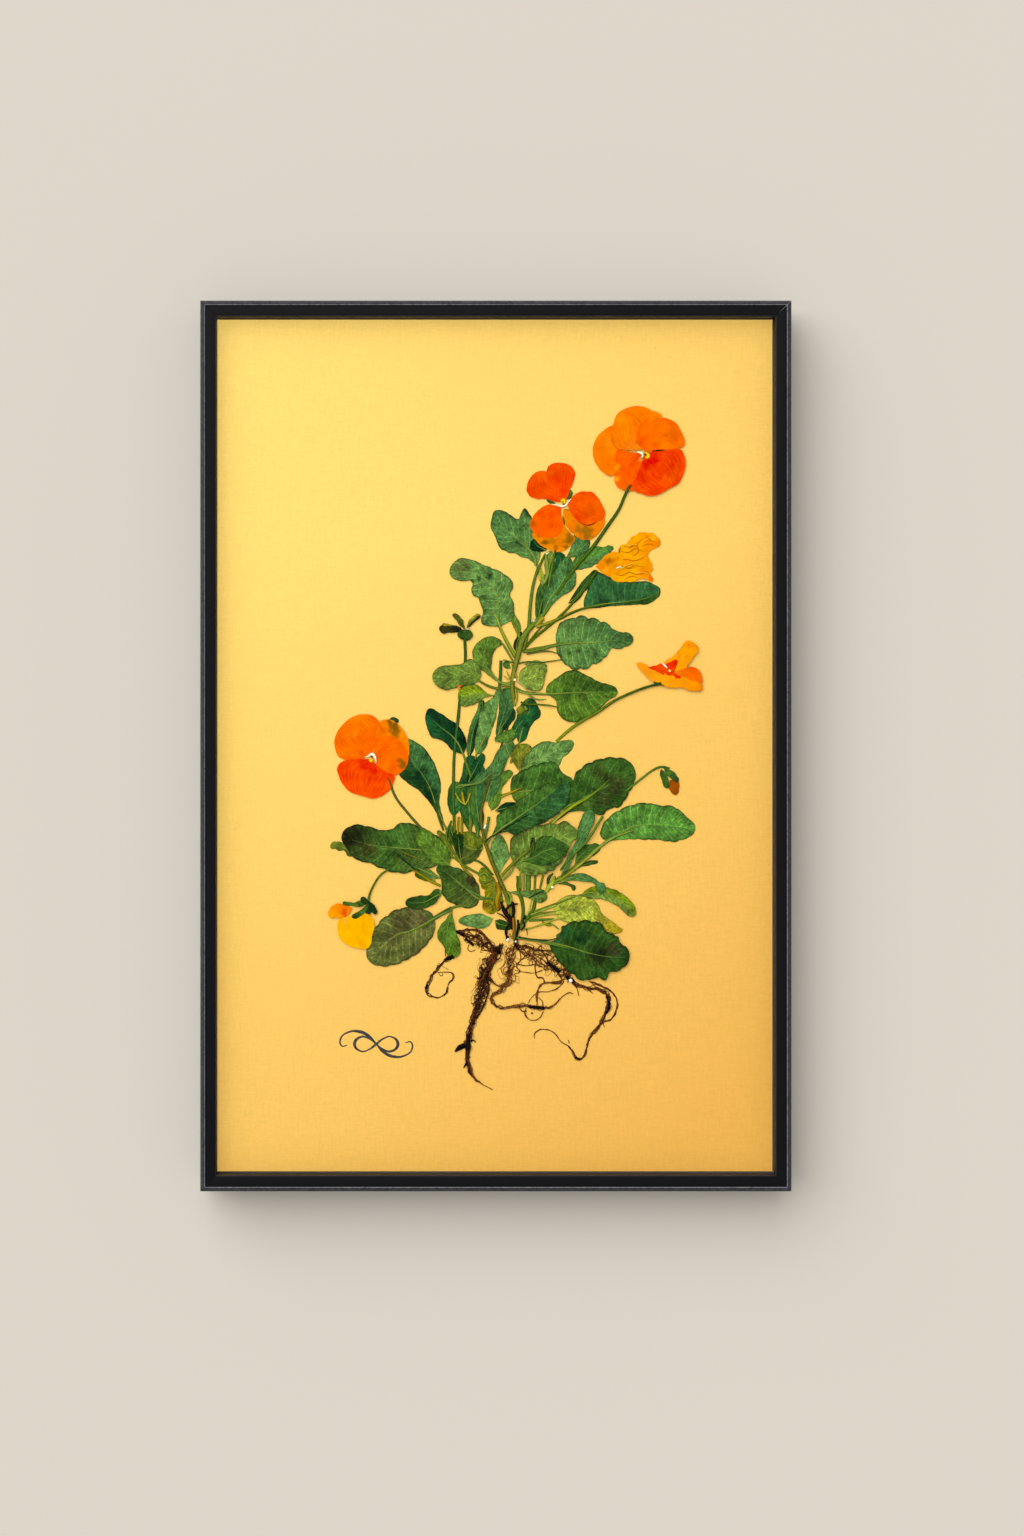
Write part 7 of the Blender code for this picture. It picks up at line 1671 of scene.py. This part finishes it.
def perliteGrains(spots):
    # popped volcanic glass: chalky white lumps
    bodies = []
    for k, (x, z, size) in enumerate(spots):
        shape = bmesh.new()
        bmesh.ops.create_icosphere(shape, subdivisions=3, radius=size / 2 * mm)
        middle = Vector((pictureMiddle.x + x * mm, layerFace(2.6), pictureMiddle.z + z * mm))
        for vertex in shape.verts:
            place = vertex.co / (perlite["lumpSize"] * size * mm) + Vector((k * 5.0, 0, 0))
            lump = 1 + perlite["lump"] * noise.noise(place)
            vertex.co = vertex.co * Vector((lump, lump * perlite["flatness"], lump)) + middle
        spotsOf = np.array([vertex.co for vertex in shape.verts])
        faces = [tuple(v.index for v in face.verts) for face in shape.faces]
        tint = np.tile(linearColour(perlite["tint"]), (len(spotsOf), 1))
        bodies.append({"spots": spotsOf, "faces": faces, "chart": np.zeros((len(spotsOf), 2)),
                       "kind": 0, "tint": tint})
        shape.free()
    return bodies


chalk = speckled("perlite", "#f6f3ec", "#d8d0c0", 900.0, Roughness=0.9)
joinBodies("perlite_grains", perliteGrains([(38.3, -118.8, 1.9), (6.5, -98.2, 1.6), (10.4, -99, 1.3)]),
           [chalk])
print("roots ready")


# A pen flourish at the lower left: a lying figure of eight with two tails, the same turned half round
flourish = {"middle": (-60, -151), "curl": [(0, 0), (3.6, 2.7), (7.5, 3.7), (11, 0), (7.5, -3.7),
    (3.6, -2.7), (0, 0), (-3.6, 3.9), (-8.5, 6.3), (-14, 6), (-18, 2.8), (-17.4, -1), (-14.8, -0.6)],
    "widths": [1.4, 0.8, 0.8, 1.6, 1.2, 0.8, 0.9, 1.5, 1.6, 1.1, 0.8, 0.9, 0.5], "ink": "#0c0a0c"}


def inkLine(side, number):
    middleX, middleZ = flourish["middle"]
    line = [(middleX + side * x, middleZ + side * z) for x, z in flourish["curl"]]
    level = paperFace - 0.02 * mm
    return dict(cordBody(line, flourish["widths"], [level], 0.04, flourish["ink"], number), kind=0)


inkSkin, inkNodes, inkShader = newMaterial("drawingInk", Roughness=0.4)
inkGrain = addNode(inkNodes, "ShaderNodeTexNoise", {"Vector": addNode(inkNodes,
    "ShaderNodeTexCoord").outputs["Object"], "Scale": 900.0})
inkTone = addNode(inkNodes, "ShaderNodeMix", {"Factor": inkGrain.outputs["Fac"], "A": rgba(flourish["ink"]),
    "B": rgba("#1e1a1c")}, data_type="RGBA")
inkNodes.links.new(inkTone.outputs["Result"], inkShader.inputs["Base Color"])
joinBodies("pen_flourish", [inkLine(1, 901), inkLine(-1, 902)], [inkSkin])
print("flourish ready")


# The rails shade the wall, but the sheet and the plant are lit evenly right to the sheet's edges
def lightGroup(name, pieces):
    group = bpy.data.collections.new(name)
    for piece in pieces:
        group.objects.link(piece)
    return group


frameNames = ("moulding", "rail", "spacer", "glazing", "backing", "point", "hanger", "wall", "floor")
meshes = [obj for obj in bpy.context.scene.objects if obj.type == "MESH"]
frameSide = [obj for obj in meshes if obj.name.startswith(frameNames)]
sheetSide = [obj for obj in meshes if not obj.name.startswith(frameNames)]
keyLight.light_linking.receiver_collection = lightGroup("frameSide", frameSide)
sheetLight.light_linking.receiver_collection = lightGroup("sheetSide", sheetSide)
sheetLight.light_linking.blocker_collection = lightGroup("sheetShade", sheetSide)
print("light ready")
